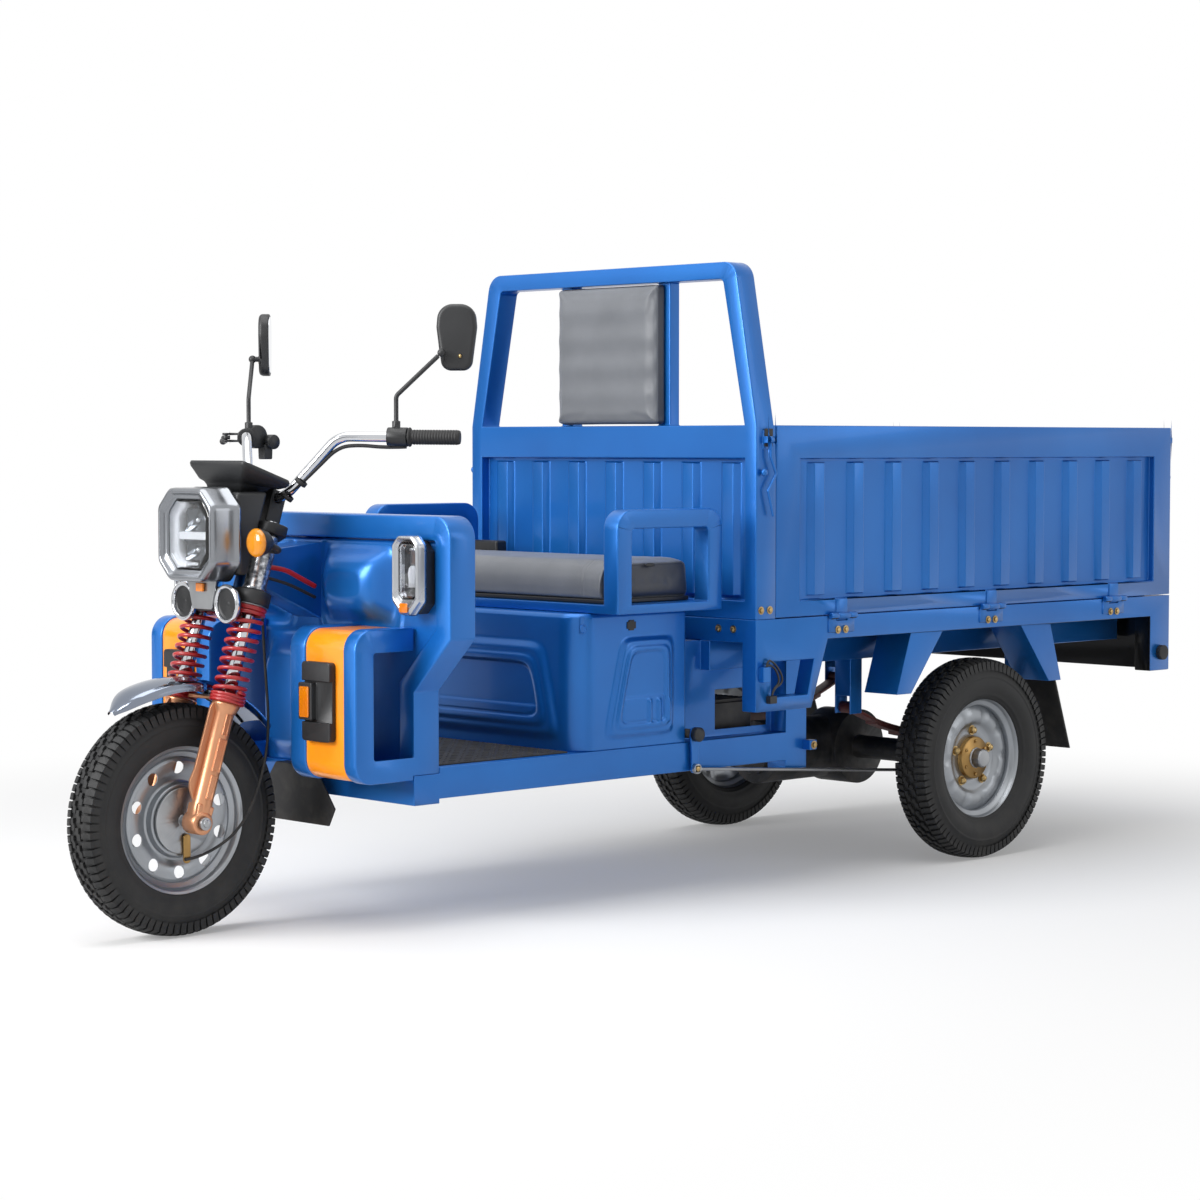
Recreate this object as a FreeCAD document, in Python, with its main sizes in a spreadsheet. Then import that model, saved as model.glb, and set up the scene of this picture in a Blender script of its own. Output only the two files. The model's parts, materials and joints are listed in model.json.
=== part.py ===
import FreeCAD, Part
import math
import os

import Sketcher
from FreeCAD import Placement, Rotation, Vector

# A three-wheeled cargo tricycle. +Z is up, the front wheel points along -Y and the rider's left is +X.
# Driving dimensions are millimetres, degrees or counts. A name that ends in _y is a distance behind
# the front axle, a name that ends in _z is a height above the ground.
DIMENSIONS = {
    # Layout and clearances
    "wheelbase": 2166, "track_margin": 72, "front_wheel_radius": 251, "rear_wheel_radius": 256,
    "floor_half_width": 370, "bed_half_width": 500, "bed_front_y": 1295, "bed_rear_y": 2940,
    "running_gap": 0.4, "seat_gap": 0.3, "overrun": 5,
    # Chassis: floor rails, beams, uprights and the rails under the bed
    "beam_bottom_z": 280, "beam_top_z": 345, "rail_width": 50, "rail_bottom_z": 290, "rail_top_z": 355,
    "rail_rear_y": 1615, "floor_sheet": 3, "mid_beam_y": 850, "mid_beam_depth": 50,
    "upright_depth": 74, "upright_width": 60, "upright_bottom_z": 267,
    "under_rail_set_in": 80, "under_rail_width": 60, "under_rail_height": 70,
    "under_rail_rear_y": 2910, "cross_depth": 50, "cross_height": 50,
    "side_sheet": 3, "side_sheet_front_y": 1236, "side_window_front_y": 1345, "side_window_rear_y": 1525,
    "side_window_bottom_z": 375, "side_window_top_z": 470,
    "hanger_front_y": 1826, "hanger_rear_y": 2506, "hanger_depth": 44, "hanger_half_width": 22,
    # Head tube and neck
    "fork_rake": 17.5, "stem_offset": 40, "stem_radius": 15, "head_low": 516, "head_high": 634,
    "head_radius": 28, "neck_half_width": 48, "neck_inset": 20, "neck_root_low_z": 640,
    "neck_root_high_z": 846, "down_tube_half_width": 30, "down_tube_depth": 50,
    # Front guard
    "guard_front_y": 364, "guard_depth": 72, "guard_half_width": 490, "guard_tube": 50, "guard_top_bar": 52,
    "guard_flare_low_z": 524, "guard_flare_high_z": 642, "guard_flare_shift": 21, "guard_top_z": 903,
    "guard_corner": 50, "guard_inner_corner": 8,
    # Bumper pods and their trims
    "pod_width": 224, "pod_front_y": 204, "pod_bottom_z": 335, "pod_top_z": 664, "pod_corner": 45,
    "pod_face": 50, "pod_window_corner": 6, "pod_side_sheet": 5, "pod_strip_outer": 42,
    "pod_strip_inner": 52, "pod_sheet": 6, "trim_recess": 3, "trim_sheet": 6,
    "insert_inner_set_in": 165, "insert_outer_set_in": 70, "insert_bottom_z": 423, "insert_top_z": 593,
    "insert_corner": 9, "insert_depth": 18, "insert_slot_depth": 8, "insert_slot_bottom_z": 464,
    "insert_slot_top_z": 552, "insert_frame_outer_set_in": 124, "insert_frame_depth": 24,
    "insert_frame_step": 4,
    "reflector_inner_set_in": 161, "reflector_outer_set_in": 130, "reflector_bottom_z": 474,
    "reflector_top_z": 540,
    "reflector_depth": 4,
    # Front panel
    "panel_inset": 6, "panel_sheet": 3, "panel_bulge_depth": 52, "panel_bulge_inner_x": 62,
    "panel_bulge_outer_x": 306, "panel_bulge_bottom_z": 668, "panel_bulge_top_z": 838,
    "panel_bulge_corner": 40, "panel_bulge_taper": 32, "belly_half_width": 138, "belly_bottom_z": 350,
    "belly_top_z": 634, "belly_depth": 58, "belly_corner": 40, "belly_taper": 25,
    # Side lamps
    "lamp_x": 395, "lamp_half_width": 43, "lamp_bottom_z": 691, "lamp_top_z": 862, "lamp_chamfer": 22,
    "lamp_front_y": 316, "lamp_bezel_depth": 26, "lamp_window_inset": 13, "lamp_window_bottom": 34,
    "lamp_case_inset": 4, "lamp_lens_depth": 7, "lamp_lens_sheet": 4, "marker_half_width": 13,
    "marker_bottom": 8, "marker_height": 20, "marker_depth": 3,
    # Floor mat, flaps and buffers
    "mat_margin": 22, "mat_front_y": 440, "mat_rear_y": 836, "mat_thickness": 4,
    "apron_top_half_width": 70, "apron_half_width": 140, "apron_foot_half_width": 118, "apron_tip_z": 255,
    "apron_bottom_z": 216, "apron_y": 334, "apron_sheet": 5, "apron_flange": 10,
    "flap_top_y": 2446, "flap_foot_y": 2510, "flap_foot_z": 258, "flap_sheet": 6, "flap_step": 2,
    "buffer_radius": 20, "buffer_length": 14, "buffer_y": 2899, "buffer_z": 492,
    # Seat box, batteries and controller
    "seat_box_margin": 2, "seat_box_front_y": 845, "seat_box_rear_y": 1194, "seat_box_corner": 60,
    "seat_box_top_z": 672, "seat_box_sheet": 4, "emboss_height": 9, "emboss_taper": 35,
    "emboss_border": 26, "emboss_front_share": 1.5, "emboss_side_share": 1.3,
    "emboss_sink": 7, "front_emboss_low_half": 318, "front_emboss_high_half": 262,
    "front_emboss_bottom_z": 384, "front_emboss_top_z": 606, "front_emboss_corner": 45,
    "side_emboss_front_y": 930, "side_emboss_rear_y": 1152, "side_emboss_lean": 52,
    "side_emboss_bottom_z": 384, "side_emboss_top_z": 612, "side_emboss_corner": 22,
    "louvre_first_y": 1062, "louvre_count": 3, "louvre_pitch": 30, "louvre_width": 12,
    "louvre_bottom_z": 412,
    "louvre_top_z": 470, "louvre_height": 5,
    "battery_clear": 23.5, "battery_columns": 3, "battery_width": 121, "battery_height": 176,
    "battery_gap": 6,
    "battery_front_y": 880, "controller_inner_set_in": 200, "controller_outer_set_in": 74,
    "controller_front_y": 1330,
    "controller_rear_y": 1500, "controller_height": 84, "controller_fin": 8, "controller_fin_count": 7,
    # Seat tray, arm loops and cushions
    "tray_half_width": 451, "tray_front_y": 894, "tray_rear_y": 1233, "tray_height": 21, "arm_width": 48,
    "arm_post": 46, "arm_bar": 43, "arm_top_z": 908, "arm_corner": 45, "arm_inner_corner": 10,
    "cushion_half_width": 398, "cushion_front_y": 897, "cushion_rear_y": 1188, "cushion_height": 100,
    "cushion_crown": 10, "cushion_nose": 42, "cushion_draw_in": 8, "cushion_end_round": 16,
    "cushion_nose_share": 0.45, "cushion_foot_share": 0.25,
    "backrest_half_width": 181, "backrest_front_y": 1281, "backrest_rear_y": 1322, "backrest_crown": 8,
    "backrest_channel": 5, "backrest_edge": 12, "backrest_channels": 4, "backrest_roll_share": 0.14,
    # Headboard
    "post_width": 38, "post_depth": 67, "crossbeam_bottom_z": 1022, "gate_top_z": 1100, "sill_height": 44,
    "hoop_half_width": 429, "hoop_top_z": 1482, "hoop_tube": 40, "hoop_depth": 60, "hoop_corner": 45,
    "hoop_inner_corner": 14, "back_post_outer_x": 190, "back_post_width": 40, "back_post_depth": 33,
    "headboard_panel_inset": 26, "headboard_ribs": 7,
    # Corrugated panels
    "rib_depth": 14, "rib_base": 62, "rib_crest": 36, "panel_thickness": 3, "rib_end": 10,
    # Bed frame
    "bed_rail_bottom_z": 591, "bed_rail_top_z": 646, "bed_rail_width": 48, "bed_floor_sheet": 5,
    "bed_floor_rise": 2,
    "step_bottom_z": 430, "step_foot_y": 1489, "step_head_y": 1547, "step_depth": 45,
    "step_window_front_y": 1348, "step_window_rear_y": 1498, "step_window_foot_y": 1476,
    "step_window_bottom_z": 462, "step_window_top_z": 546,
    "skirt_bottom_z": 443, "skirt_sheet": 4, "corner_leg_front_y": 2853, "corner_leg_depth": 50,
    "tail_lamp_inner_set_in": 170, "tail_lamp_outer_set_in": 50, "tail_lamp_bottom_z": 478,
    "tail_lamp_top_z": 548,
    "tail_lamp_depth": 13, "tail_lamp_corner": 8,
    # Gates and their hinges
    "gate_thickness": 38, "gate_lift": 3, "gate_gap": 1.5, "gate_top_rail": 78, "gate_bottom_rail": 38,
    "gate_front_stile": 84, "gate_rear_stile": 76, "gate_ribs": 10, "tailgate_ribs": 6,
    "gate_panel_inset": 17, "hinge_knuckle_radius": 8, "hinge_pin_radius": 4, "hinge_offset": 8.5,
    "hinge_width": 92, "hinge_centre_width": 40, "hinge_leaf": 4, "hinge_leaf_drop": 40,
    "hinge_leaf_clear": 12, "hinge_leaf_rise": 40, "hinge_end_gap": 0.5,
    # Hook latches
    "hook_plate": 3, "hook_plate_half": 16, "hook_plate_height": 44, "hook_pin_radius": 4,
    "hook_pin_offset": 13, "hook_eye_radius": 8, "hook_eye_length": 12, "hook_wire_radius": 3.5,
    "hook_y": 1330, "hook_below_top": 34, "hook_drop": 118, "hook_bow": 18, "hook_tail": 60, "hook_bend": 9,
    "hook_upper_share": 0.33, "hook_lower_share": 0.67,
    "hook_ear": 4, "rear_hook_pin_offset": 7.5, "rear_hook_eye_radius": 7.5, "rear_hook_wire_radius": 3,
    "rear_hook_drop": 150, "rear_hook_bow": 10, "rear_hook_tail": 46,
    # Rear fenders
    "fender_clear": 34, "fender_outer_set_in": 10, "fender_front_head_y": 1865, "fender_front_arch_y": 1989,
    "fender_front_foot_y": 1813, "fender_front_toe_y": 1868, "fender_rear_arch_y": 2302,
    "fender_rear_head_y": 2426, "fender_rear_toe_y": 2422, "fender_rear_heel_y": 2473,
    "fender_foot_z": 440, "fender_sheet": 4,
    # Wheels
    "rim_half_width": 33, "rim_flange_radius": 166, "rim_bead_radius": 152, "rim_well_radius": 138,
    "rim_sheet": 4, "rim_flange": 4, "rim_well_half": 12, "rim_ramp": 5, "front_tyre_half_width": 46,
    "rear_tyre_half_width": 50, "tyre_tread_half": 38, "tyre_wall": 9, "tyre_tread": 16,
    "tyre_shoulder": 12, "tyre_flank": 30, "tyre_flank_share": 0.44, "front_disc_x": 10, "disc_sheet": 4,
    "front_hub_radius": 62, "front_hub_half": 31, "front_hole_radius": 15, "front_hole_circle": 112,
    "front_hole_count": 10, "axle_radius": 8, "rear_disc_x": -6, "hub_end_gap": 1, "rear_hub_radius": 58,
    "rear_hub_inner": 44, "rear_hub_outer": 20, "rear_cap_radius": 30, "rear_cap_length": 26,
    "stub_radius": 14,
    # Fork, measured along the fork from the front axle
    "fork_half_spacing": 86, "stanchion_radius": 15, "stanchion_low": 90, "stanchion_high": 668,
    "cover_radius": 25, "cover_low": 514, "cover_high": 638, "spring_low": 282, "spring_high": 468,
    "spring_radius": 33, "spring_wire_radius": 4.5, "spring_turns": 9, "spring_quarters": 4,
    "collar_radius": 39, "collar_height": 10, "leg_width": 46, "leg_depth": 56, "leg_corner": 12,
    "leg_low": 16, "leg_high": 270, "leg_lug_radius": 25, "leg_panel_width": 24, "leg_panel_depth": 3,
    "leg_panel_height": 58, "leg_panel_gap": 12, "leg_panel_low": 48,
    "yoke_half_width": 118, "yoke_front": 28, "yoke_rear": 34, "yoke_corner": 26, "lower_yoke_low": 480,
    "lower_yoke_high": 512, "upper_yoke_low": 640, "upper_yoke_high": 664, "riser_half_width": 44,
    "riser_half_depth": 20, "riser_over_bar": 16, "axle_reach": 124, "axle_nut_radius": 14,
    "axle_nut_length": 10, "brake_plate_radius": 72, "brake_plate_x": 32, "brake_plate_sheet": 7,
    # Front fender, seen from the axle
    "front_fender_radius": 308, "front_fender_sheet": 2.5, "front_fender_half_width": 56,
    "front_fender_lip": 16, "front_fender_crown": 14, "front_fender_start": 42, "front_fender_sweep": 81,
    "fender_notch": 4, "bridge_half_depth": 12, "bridge_low": 262,
    # Handlebar and its fittings
    "bar_radius": 11, "bar_centre_half": 62, "bar_centre_y": 255, "bar_centre_z": 938, "bar_bend_x": 165,
    "bar_bend_y": 325, "bar_bend_z": 1072, "bar_end_x": 380, "bar_end_y": 486, "bar_end_z": 1070,
    "bar_bend_radius": 60, "grip_radius": 16, "grip_length": 112, "grip_flange": 4,
    "grip_flange_radius": 21,
    "switch_radius": 21, "switch_length": 44, "switch_gap": 2, "button_radius": 6, "button_length": 10,
    "button_proud": 5, "button_well": 8,
    "lever_radius": 5, "lever_gap": 1, "lever_reach_share": 0.95, "lever_rise_share": 0.3,
    "lever_dip_share": 0.8, "perch_root_share": 0.2, "perch_along_share": 0.7, "lever_stand_off": 46,
    "lever_drop": 8,
    "lever_ball_radius": 8, "lever_eye_radius": 9, "lever_eye_height": 9, "lever_pin_radius": 3,
    "stem_wire_radius": 5, "stem_base_x": 264, "stem_base_y": 406, "stem_elbow_z": 1160, "stem_ball_x": 337,
    "stem_ball_y": 473, "stem_ball_z": 1253, "stem_ball_radius": 9, "stem_bend": 16,
    "stem_boss_radius": 9, "stem_boss_height": 36,
    "mirror_half_width": 44, "mirror_half_height": 72, "mirror_depth": 24, "mirror_corner": 34,
    "mirror_toe_in": 42, "mirror_rise": 34, "mirror_shift": 30, "mirror_back_round": 9,
    "mirror_foot_share": 0.72, "mirror_brow_share": 0.9, "mirror_waist_share": 0.3,
    "mirror_foot_corner": 22,
    "mirror_stand_off": 14, "mirror_neck_radius": 6,
    # Headlamp and dashboard
    "headlamp_front_y": 32, "headlamp_half_width": 100, "headlamp_bottom_z": 760, "headlamp_top_z": 963,
    "headlamp_chamfer": 40, "headlamp_bezel_depth": 78, "headlamp_window_inset": 26,
    "headlamp_lens_depth": 12,
    "headlamp_lens_sheet": 5, "headlamp_case_inset": 10, "headlamp_foot_lift": 14,
    "dash_half_width": 100, "dash_front_y": 118, "dash_top_z": 1021, "dash_chin_y": 132, "dash_rear_y": 246,
    "dash_rear_z": 976, "dash_hood": 14, "dash_corner": 8,
    # Indicators and horns, placed on the fork
    "indicator_x": 142, "indicator_up": 604, "indicator_forward": 62, "indicator_radius": 31,
    "indicator_length": 34, "indicator_lens_length": 14, "indicator_lens_round": 8,
    "indicator_stalk_radius": 7, "indicator_stalk_bend": 9, "indicator_waist_share": 0.8,
    "indicator_waist_length_share": 0.6, "indicator_tail_share": 0.4, "indicator_root_share": 0.7,
    "horn_x": 78, "horn_up": 466, "horn_forward": 60, "horn_radius": 42,
    "horn_length": 16, "horn_mouth_radius": 33, "horn_mouth_depth": 6, "horn_neck_radius": 16,
    "horn_rim_share": 0.5, "horn_tab_half": 8, "horn_tab_sheet": 6, "horn_tab_front": 50,
    "horn_tab_top": 504,
    "horn_tab_height": 16,
    # Rear axle, leaf springs and brakes
    "axle_tube_radius": 30, "axle_tube_set_in": 92, "drum_radius": 92, "drum_outer_set_in": 52,
    "drum_inner_set_in": 97,
    "stub_overhang": 24, "differential_radius": 98, "differential_half": 62, "motor_radius": 82,
    "motor_length": 210, "motor_shift_x": -30, "motor_cap": 14, "motor_cap_share": 0.7, "spring_pad": 12,
    "leaf_thickness": 8,
    "leaf_half_width": 20, "leaf_count": 3, "leaf_eye_z": 398, "leaf_eye_radius": 15,
    "leaf_step_share": 0.26,
    "brake_shaft_radius": 11, "brake_shaft_y": 1214, "brake_shaft_z": 377, "brake_shaft_overhang": 22,
    "brake_arm_overhang": 7, "brake_arm_sheet": 6, "brake_arm_half": 11, "brake_arm_drop": 92,
    "brake_cap_radius": 17,
    "brake_cap_length": 9, "brake_pin_radius": 4, "brake_pin_length": 17, "arm_round_share": 0.9,
    "rod_radius": 4, "rod_rear_y": 2060, "rod_rear_z": 226,
    "rod_eye_radius": 12, "rod_eye_sheet": 9, "rod_slot_half": 7.2, "rod_rear_overhang": 2,
    # Front brake arm and cable
    "brake_pivot_back": 4, "brake_pivot_drop": 38, "front_arm_length": 54, "front_arm_half": 9,
    "front_arm_sheet": 5, "front_arm_pin_radius": 5, "cable_radius": 3,
    "cable_x": 64, "cable_low_y": 48, "cable_elbow_y": 150, "cable_elbow_z": 232, "cable_back_y": 214,
    "cable_back_z": 400, "cable_high_y": 197, "cable_high_z": 596, "cable_top_back": 52,
    "cable_top_up": 477,
    "cable_bend_share": 0.45,
}

DOCUMENT = FreeCAD.newDocument("cargo_tricycle")
SHEET = DOCUMENT.addObject("Spreadsheet::Sheet", "dim")
NODES = {}


class Size:
    """A number that remembers the spreadsheet expression it comes from."""

    def __init__(self, text, value):
        self.text = text
        self.value = float(value)

    def __float__(self):
        return self.value

    def __int__(self):
        return round(self.value)

    def __neg__(self):
        return Size(f"(-{self.text})", -self.value)

    def __add__(self, other):
        return Size(f"({self.text} + {text_of(other)})", self.value + float(other))

    def __radd__(self, other):
        return Size(f"({text_of(other)} + {self.text})", float(other) + self.value)

    def __sub__(self, other):
        return Size(f"({self.text} - {text_of(other)})", self.value - float(other))

    def __rsub__(self, other):
        return Size(f"({text_of(other)} - {self.text})", float(other) - self.value)

    def __mul__(self, other):
        return Size(f"({self.text} * {text_of(other)})", self.value * float(other))

    def __rmul__(self, other):
        return Size(f"({text_of(other)} * {self.text})", float(other) * self.value)

    def __truediv__(self, other):
        return Size(f"({self.text} / {text_of(other)})", self.value / float(other))


def text_of(number):
    return number.text if isinstance(number, Size) else repr(float(number))


def sine(angle):
    return Size(f"sin({angle.text} * 1 deg)", math.sin(math.radians(angle.value)))


def cosine(angle):
    return Size(f"cos({angle.text} * 1 deg)", math.cos(math.radians(angle.value)))


class Dimensions:
    """The sheet's cells as Size attributes."""

    def __init__(self, sheet, table):
        for row, (name, number) in enumerate(table.items(), start=1):
            sheet.set(f"A{row}", name)
            sheet.set(f"B{row}", str(number))
            sheet.setAlias(f"B{row}", name)
            setattr(self, name, Size(f"dim.{name}", number))


d = Dimensions(SHEET, DIMENSIONS)
DOCUMENT.recompute()

ZERO = d.overrun * 0
SIN_RAKE = sine(d.fork_rake)
COS_RAKE = cosine(d.fork_rake)
REAR_REACH = d.bed_rear_y + d.hinge_offset + d.hinge_knuckle_radius
FRONT_AXLE = (d.front_wheel_radius - REAR_REACH) / 2
GUARD_BACK_Y = d.guard_front_y + d.guard_depth
FLOOR_Z = d.rail_top_z + d.floor_sheet
PANEL_FRONT_Y = d.guard_front_y + d.panel_inset
TRAY_BOTTOM_Z = d.seat_box_top_z + d.running_gap
TRAY_TOP_Z = TRAY_BOTTOM_Z + d.tray_height
GATE_FRONT_Y = d.bed_front_y + d.post_depth
GATE_BOTTOM_Z = d.bed_rail_top_z + d.gate_lift
SILL_TOP_Z = d.bed_rail_top_z + d.sill_height
POD_INNER_X = d.floor_half_width - d.pod_width
UNDER_RAIL_INNER = d.floor_half_width - d.under_rail_set_in
FENDER_INNER_X = UNDER_RAIL_INNER + d.under_rail_width + d.fender_clear
HALF_TRACK = d.floor_half_width + d.track_margin
HOOK_Z = d.gate_top_z - d.hook_below_top
FORK_LEAN = Rotation(Vector(1, 0, 0), -d.fork_rake.value)


def along(distance):
    """A Y position from a distance behind the front axle."""
    return FRONT_AXLE + distance


def fork_point(back, up):
    """Y and Z of a point given square to the fork and along it, from the front axle."""
    y = FRONT_AXLE + back * COS_RAKE + up * SIN_RAKE
    return y, d.front_wheel_radius - back * SIN_RAKE + up * COS_RAKE


# Document objects with bound sizes

def bind(thing, prop, size):
    if isinstance(size, Size):
        thing.setExpression(prop, size.text)


def move(thing, x=0, y=0, z=0, turn=None):
    """Give an object its place, bound to the sheet, and a fixed turn."""
    thing.Placement = Placement(Vector(float(x), float(y), float(z)), turn or Rotation())
    for axis, size in zip("xyz", (x, y, z)):
        bind(thing, f"Placement.Base.{axis}", size)
    return thing


def move_on_fork(thing):
    """Place a piece that is drawn along the fork, with its origin on the front axle."""
    return move(thing, 0, FRONT_AXLE, d.front_wheel_radius, FORK_LEAN)


def box(x, y, z):
    """A block between three (low, high) pairs."""
    solid = DOCUMENT.addObject("Part::Box", "block")
    for prop, (low, high) in zip(("Length", "Width", "Height"), (x, y, z)):
        bind(solid, prop, high - low)
    return move(solid, x[0], y[0], z[0])


def rod(axis, centre, span, radius):
    """A cylinder along x, y or z: centre holds its other two coordinates in x, y, z order."""
    solid = DOCUMENT.addObject("Part::Cylinder", "rod")
    bind(solid, "Radius", radius)
    bind(solid, "Height", span[1] - span[0])
    first, second = centre
    if axis == "x":
        return move(solid, span[0], first, second, Rotation(Vector(0, 1, 0), 90))
    if axis == "y":
        return move(solid, first, span[0], second, Rotation(Vector(1, 0, 0), -90))
    return move(solid, first, second, span[0])


def ball(x, y, z, radius):
    solid = DOCUMENT.addObject("Part::Sphere", "ball")
    bind(solid, "Radius", radius)
    return move(solid, x, y, z)


def rod_between(start, end, radius):
    """A cylinder from one point to another."""
    solid = DOCUMENT.addObject("Part::Cylinder", "rod")
    run = end - start
    solid.Height = run.Length
    bind(solid, "Radius", radius)
    solid.Placement = Placement(start, Rotation(Vector(0, 0, 1), run))
    return solid


def join(*pieces, refine=True):
    solid = DOCUMENT.addObject("Part::MultiFuse", "joined")
    solid.Shapes = list(pieces)
    solid.Refine = refine
    return solid


def carve(base, *tools, refine=True):
    solid = DOCUMENT.addObject("Part::Cut", "carved")
    solid.Base = base
    solid.Tool = tools[0] if len(tools) == 1 else join(*tools)
    solid.Refine = refine
    return solid


def group(*pieces):
    solid = DOCUMENT.addObject("Part::Compound", "group")
    solid.Links = list(pieces)
    return solid


def mirrored(piece):
    """The same piece on the other side of the tricycle."""
    solid = DOCUMENT.addObject("Part::Mirroring", "mirrored")
    solid.Source = piece
    solid.Normal = Vector(1, 0, 0)
    return solid


def pair(piece):
    return group(piece, mirrored(piece))


def shape_object(shape):
    solid = DOCUMENT.addObject("Part::Feature", "shaped")
    solid.Shape = shape
    return solid


def node(label, piece):
    piece.Label = label
    NODES[label] = piece
    return piece


# Sketches and features of a body

def new_body():
    return DOCUMENT.addObject("PartDesign::Body", "body")


def sketch_on(body, plane, offset=0):
    sketch = body.newObject("Sketcher::SketchObject", "sketch")
    support = next(item for item in body.Origin.OriginFeatures if item.Role == plane + "_Plane")
    sketch.AttachmentSupport = (support, [""])
    sketch.MapMode = "FlatFace"
    sketch.AttachmentOffset = Placement(Vector(0, 0, float(offset)), Rotation())
    bind(sketch, "AttachmentOffset.Base.z", offset)
    return sketch


def constrain(sketch, size, *rule):
    index = sketch.addConstraint(Sketcher.Constraint(*rule, float(size)))
    bind(sketch, f"Constraints[{index}]", size)


def draw_circle(sketch, x, y, radius):
    circle = Part.Circle(Vector(float(x), float(y), 0), Vector(0, 0, 1), float(radius))
    index = sketch.addGeometry(circle)
    constrain(sketch, x, "DistanceX", -1, 1, index, 3)
    constrain(sketch, y, "DistanceY", -1, 1, index, 3)
    constrain(sketch, radius, "Radius", index)


def round_corner(before, corner, after, radius):
    """The tangent points and the middle of a rounded corner."""
    back = (before - corner).normalize()
    ahead = (after - corner).normalize()
    half_angle = back.getAngle(ahead) / 2
    reach = radius / math.tan(half_angle)
    middle = corner + (back + ahead).normalize() * (radius / math.sin(half_angle) - radius)
    return corner + back * reach, middle, corner + ahead * reach


def draw_outline(sketch, corners):
    """A closed outline of (x, y) corners, or (x, y, radius) where the corner is rounded."""
    count = len(corners)
    points = [Vector(float(corner[0]), float(corner[1]), 0) for corner in corners]
    starts = list(points)
    ends = [points[(index + 1) % count] for index in range(count)]
    arcs = {}
    for index, corner in enumerate(corners):
        if len(corner) > 2:
            enter, middle, leave = round_corner(
                points[index - 1], points[index], points[(index + 1) % count], float(corner[2]))
            ends[index - 1] = enter
            starts[index] = leave
            bend = (points[index] - points[index - 1]).cross(points[(index + 1) % count] - points[index])
            arcs[index] = Part.Arc(enter, middle, leave) if bend.z > 0 else Part.Arc(leave, middle, enter)
    lines = [sketch.addGeometry(Part.LineSegment(a, b)) for a, b in zip(starts, ends)]
    for index, corner in enumerate(corners):
        before, after = lines[index - 1], lines[index]
        holder = after
        if index in arcs:
            arc = sketch.addGeometry(arcs[index])
            holder = sketch.addGeometry(Part.Point(points[index]), True)
            first = sketch.Geometry[arc].StartPoint.distanceToPoint(ends[index - 1])
            second = sketch.Geometry[arc].StartPoint.distanceToPoint(starts[index])
            enter, leave = (1, 2) if first < second else (2, 1)
            sketch.addConstraint(Sketcher.Constraint("PointOnObject", holder, 1, before))
            sketch.addConstraint(Sketcher.Constraint("PointOnObject", holder, 1, after))
            sketch.addConstraint(Sketcher.Constraint("Tangent", before, 2, arc, enter))
            sketch.addConstraint(Sketcher.Constraint("Tangent", arc, leave, after, 1))
            constrain(sketch, corner[2], "Radius", arc)
        else:
            sketch.addConstraint(Sketcher.Constraint("Coincident", before, 2, after, 1))
        constrain(sketch, corner[0], "DistanceX", -1, 1, holder, 1)
        constrain(sketch, corner[1], "DistanceY", -1, 1, holder, 1)


def feature(body, kind, sketch):
    item = body.newObject("PartDesign::" + kind, kind.lower())
    item.Profile = sketch
    return item


def pad(body, plane, outlines, span, taper=None):
    """Add the outlines between two positions on the plane's own axis. The XZ plane faces -Y."""
    low, high = span
    sketch = sketch_on(body, plane, -high if plane == "XZ" else low)
    for outline in outlines:
        draw_outline(sketch, outline)
    item = feature(body, "Pad", sketch)
    bind(item, "Length", high - low)
    if taper is not None:
        bind(item, "TaperAngle", -taper)
    return item


def pocket(body, plane, outlines, span):
    """Cut the outlines out between two positions on the plane's own axis."""
    low, high = span
    sketch = sketch_on(body, plane, -low if plane == "XZ" else high)
    for outline in outlines:
        draw_outline(sketch, outline)
    item = feature(body, "Pocket", sketch)
    bind(item, "Length", high - low)
    return item


def turned(body, outline, plane="XY", axis="H_Axis", angle=None):
    """Turn an outline about a sketch axis: on XY, H_Axis is X and V_Axis is Y."""
    sketch = sketch_on(body, plane)
    draw_outline(sketch, outline)
    item = feature(body, "Revolution", sketch)
    item.ReferenceAxis = (sketch, [axis])
    item.Angle = 360
    if angle is not None:
        bind(item, "Angle", angle)
    return item


def row_of(body, item, length, count):
    """Repeat a feature in a line along its sketch's horizontal axis."""
    pattern = body.newObject("PartDesign::LinearPattern", "row")
    pattern.Originals = [item]
    pattern.Direction = (item.Profile[0], ["H_Axis"])
    bind(pattern, "Length", length)
    bind(pattern, "Occurrences", count)
    body.Tip = pattern


def ring_of(body, item, count):
    """Repeat a feature in a circle about its sketch's normal."""
    pattern = body.newObject("PartDesign::PolarPattern", "ring")
    pattern.Originals = [item]
    pattern.Axis = (item.Profile[0], ["N_Axis"])
    pattern.Angle = 360
    bind(pattern, "Occurrences", count)
    body.Tip = pattern


def rectangle(x, y, radius=None):
    (left, right), (low, high) = x, y
    corners = [(left, low), (right, low), (right, high), (left, high)]
    return corners if radius is None else [corner + (radius,) for corner in corners]


def octagon(x, y, chamfer):
    (left, right), (low, high) = x, y
    return [
        (left + chamfer, low), (right - chamfer, low), (right, low + chamfer), (right, high - chamfer),
        (right - chamfer, high), (left + chamfer, high), (left, high - chamfer), (left, low + chamfer),
    ]


def both_ways(half):
    return -half, half


# Pipes and springs, whose paths are lines and arcs

def bent_pipe(points, bend, radius):
    """A round tube through points, its corners bent to one radius."""
    edges = []
    start = points[0]
    for before, corner, after in zip(points, points[1:], points[2:]):
        enter, middle, leave = round_corner(before, corner, after, bend)
        edges.append(Part.LineSegment(start, enter).toShape())
        edges.append(Part.Arc(enter, middle, leave).toShape())
        start = leave
    edges.append(Part.LineSegment(start, points[-1]).toShape())
    return sweep(edges, points[0], points[1] - points[0], radius)


def sweep(edges, start, direction, radius):
    section = Part.Wire([Part.Circle(start, direction, radius).toShape()])
    return Part.Wire(edges).makePipeShell([section], True, False)


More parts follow.
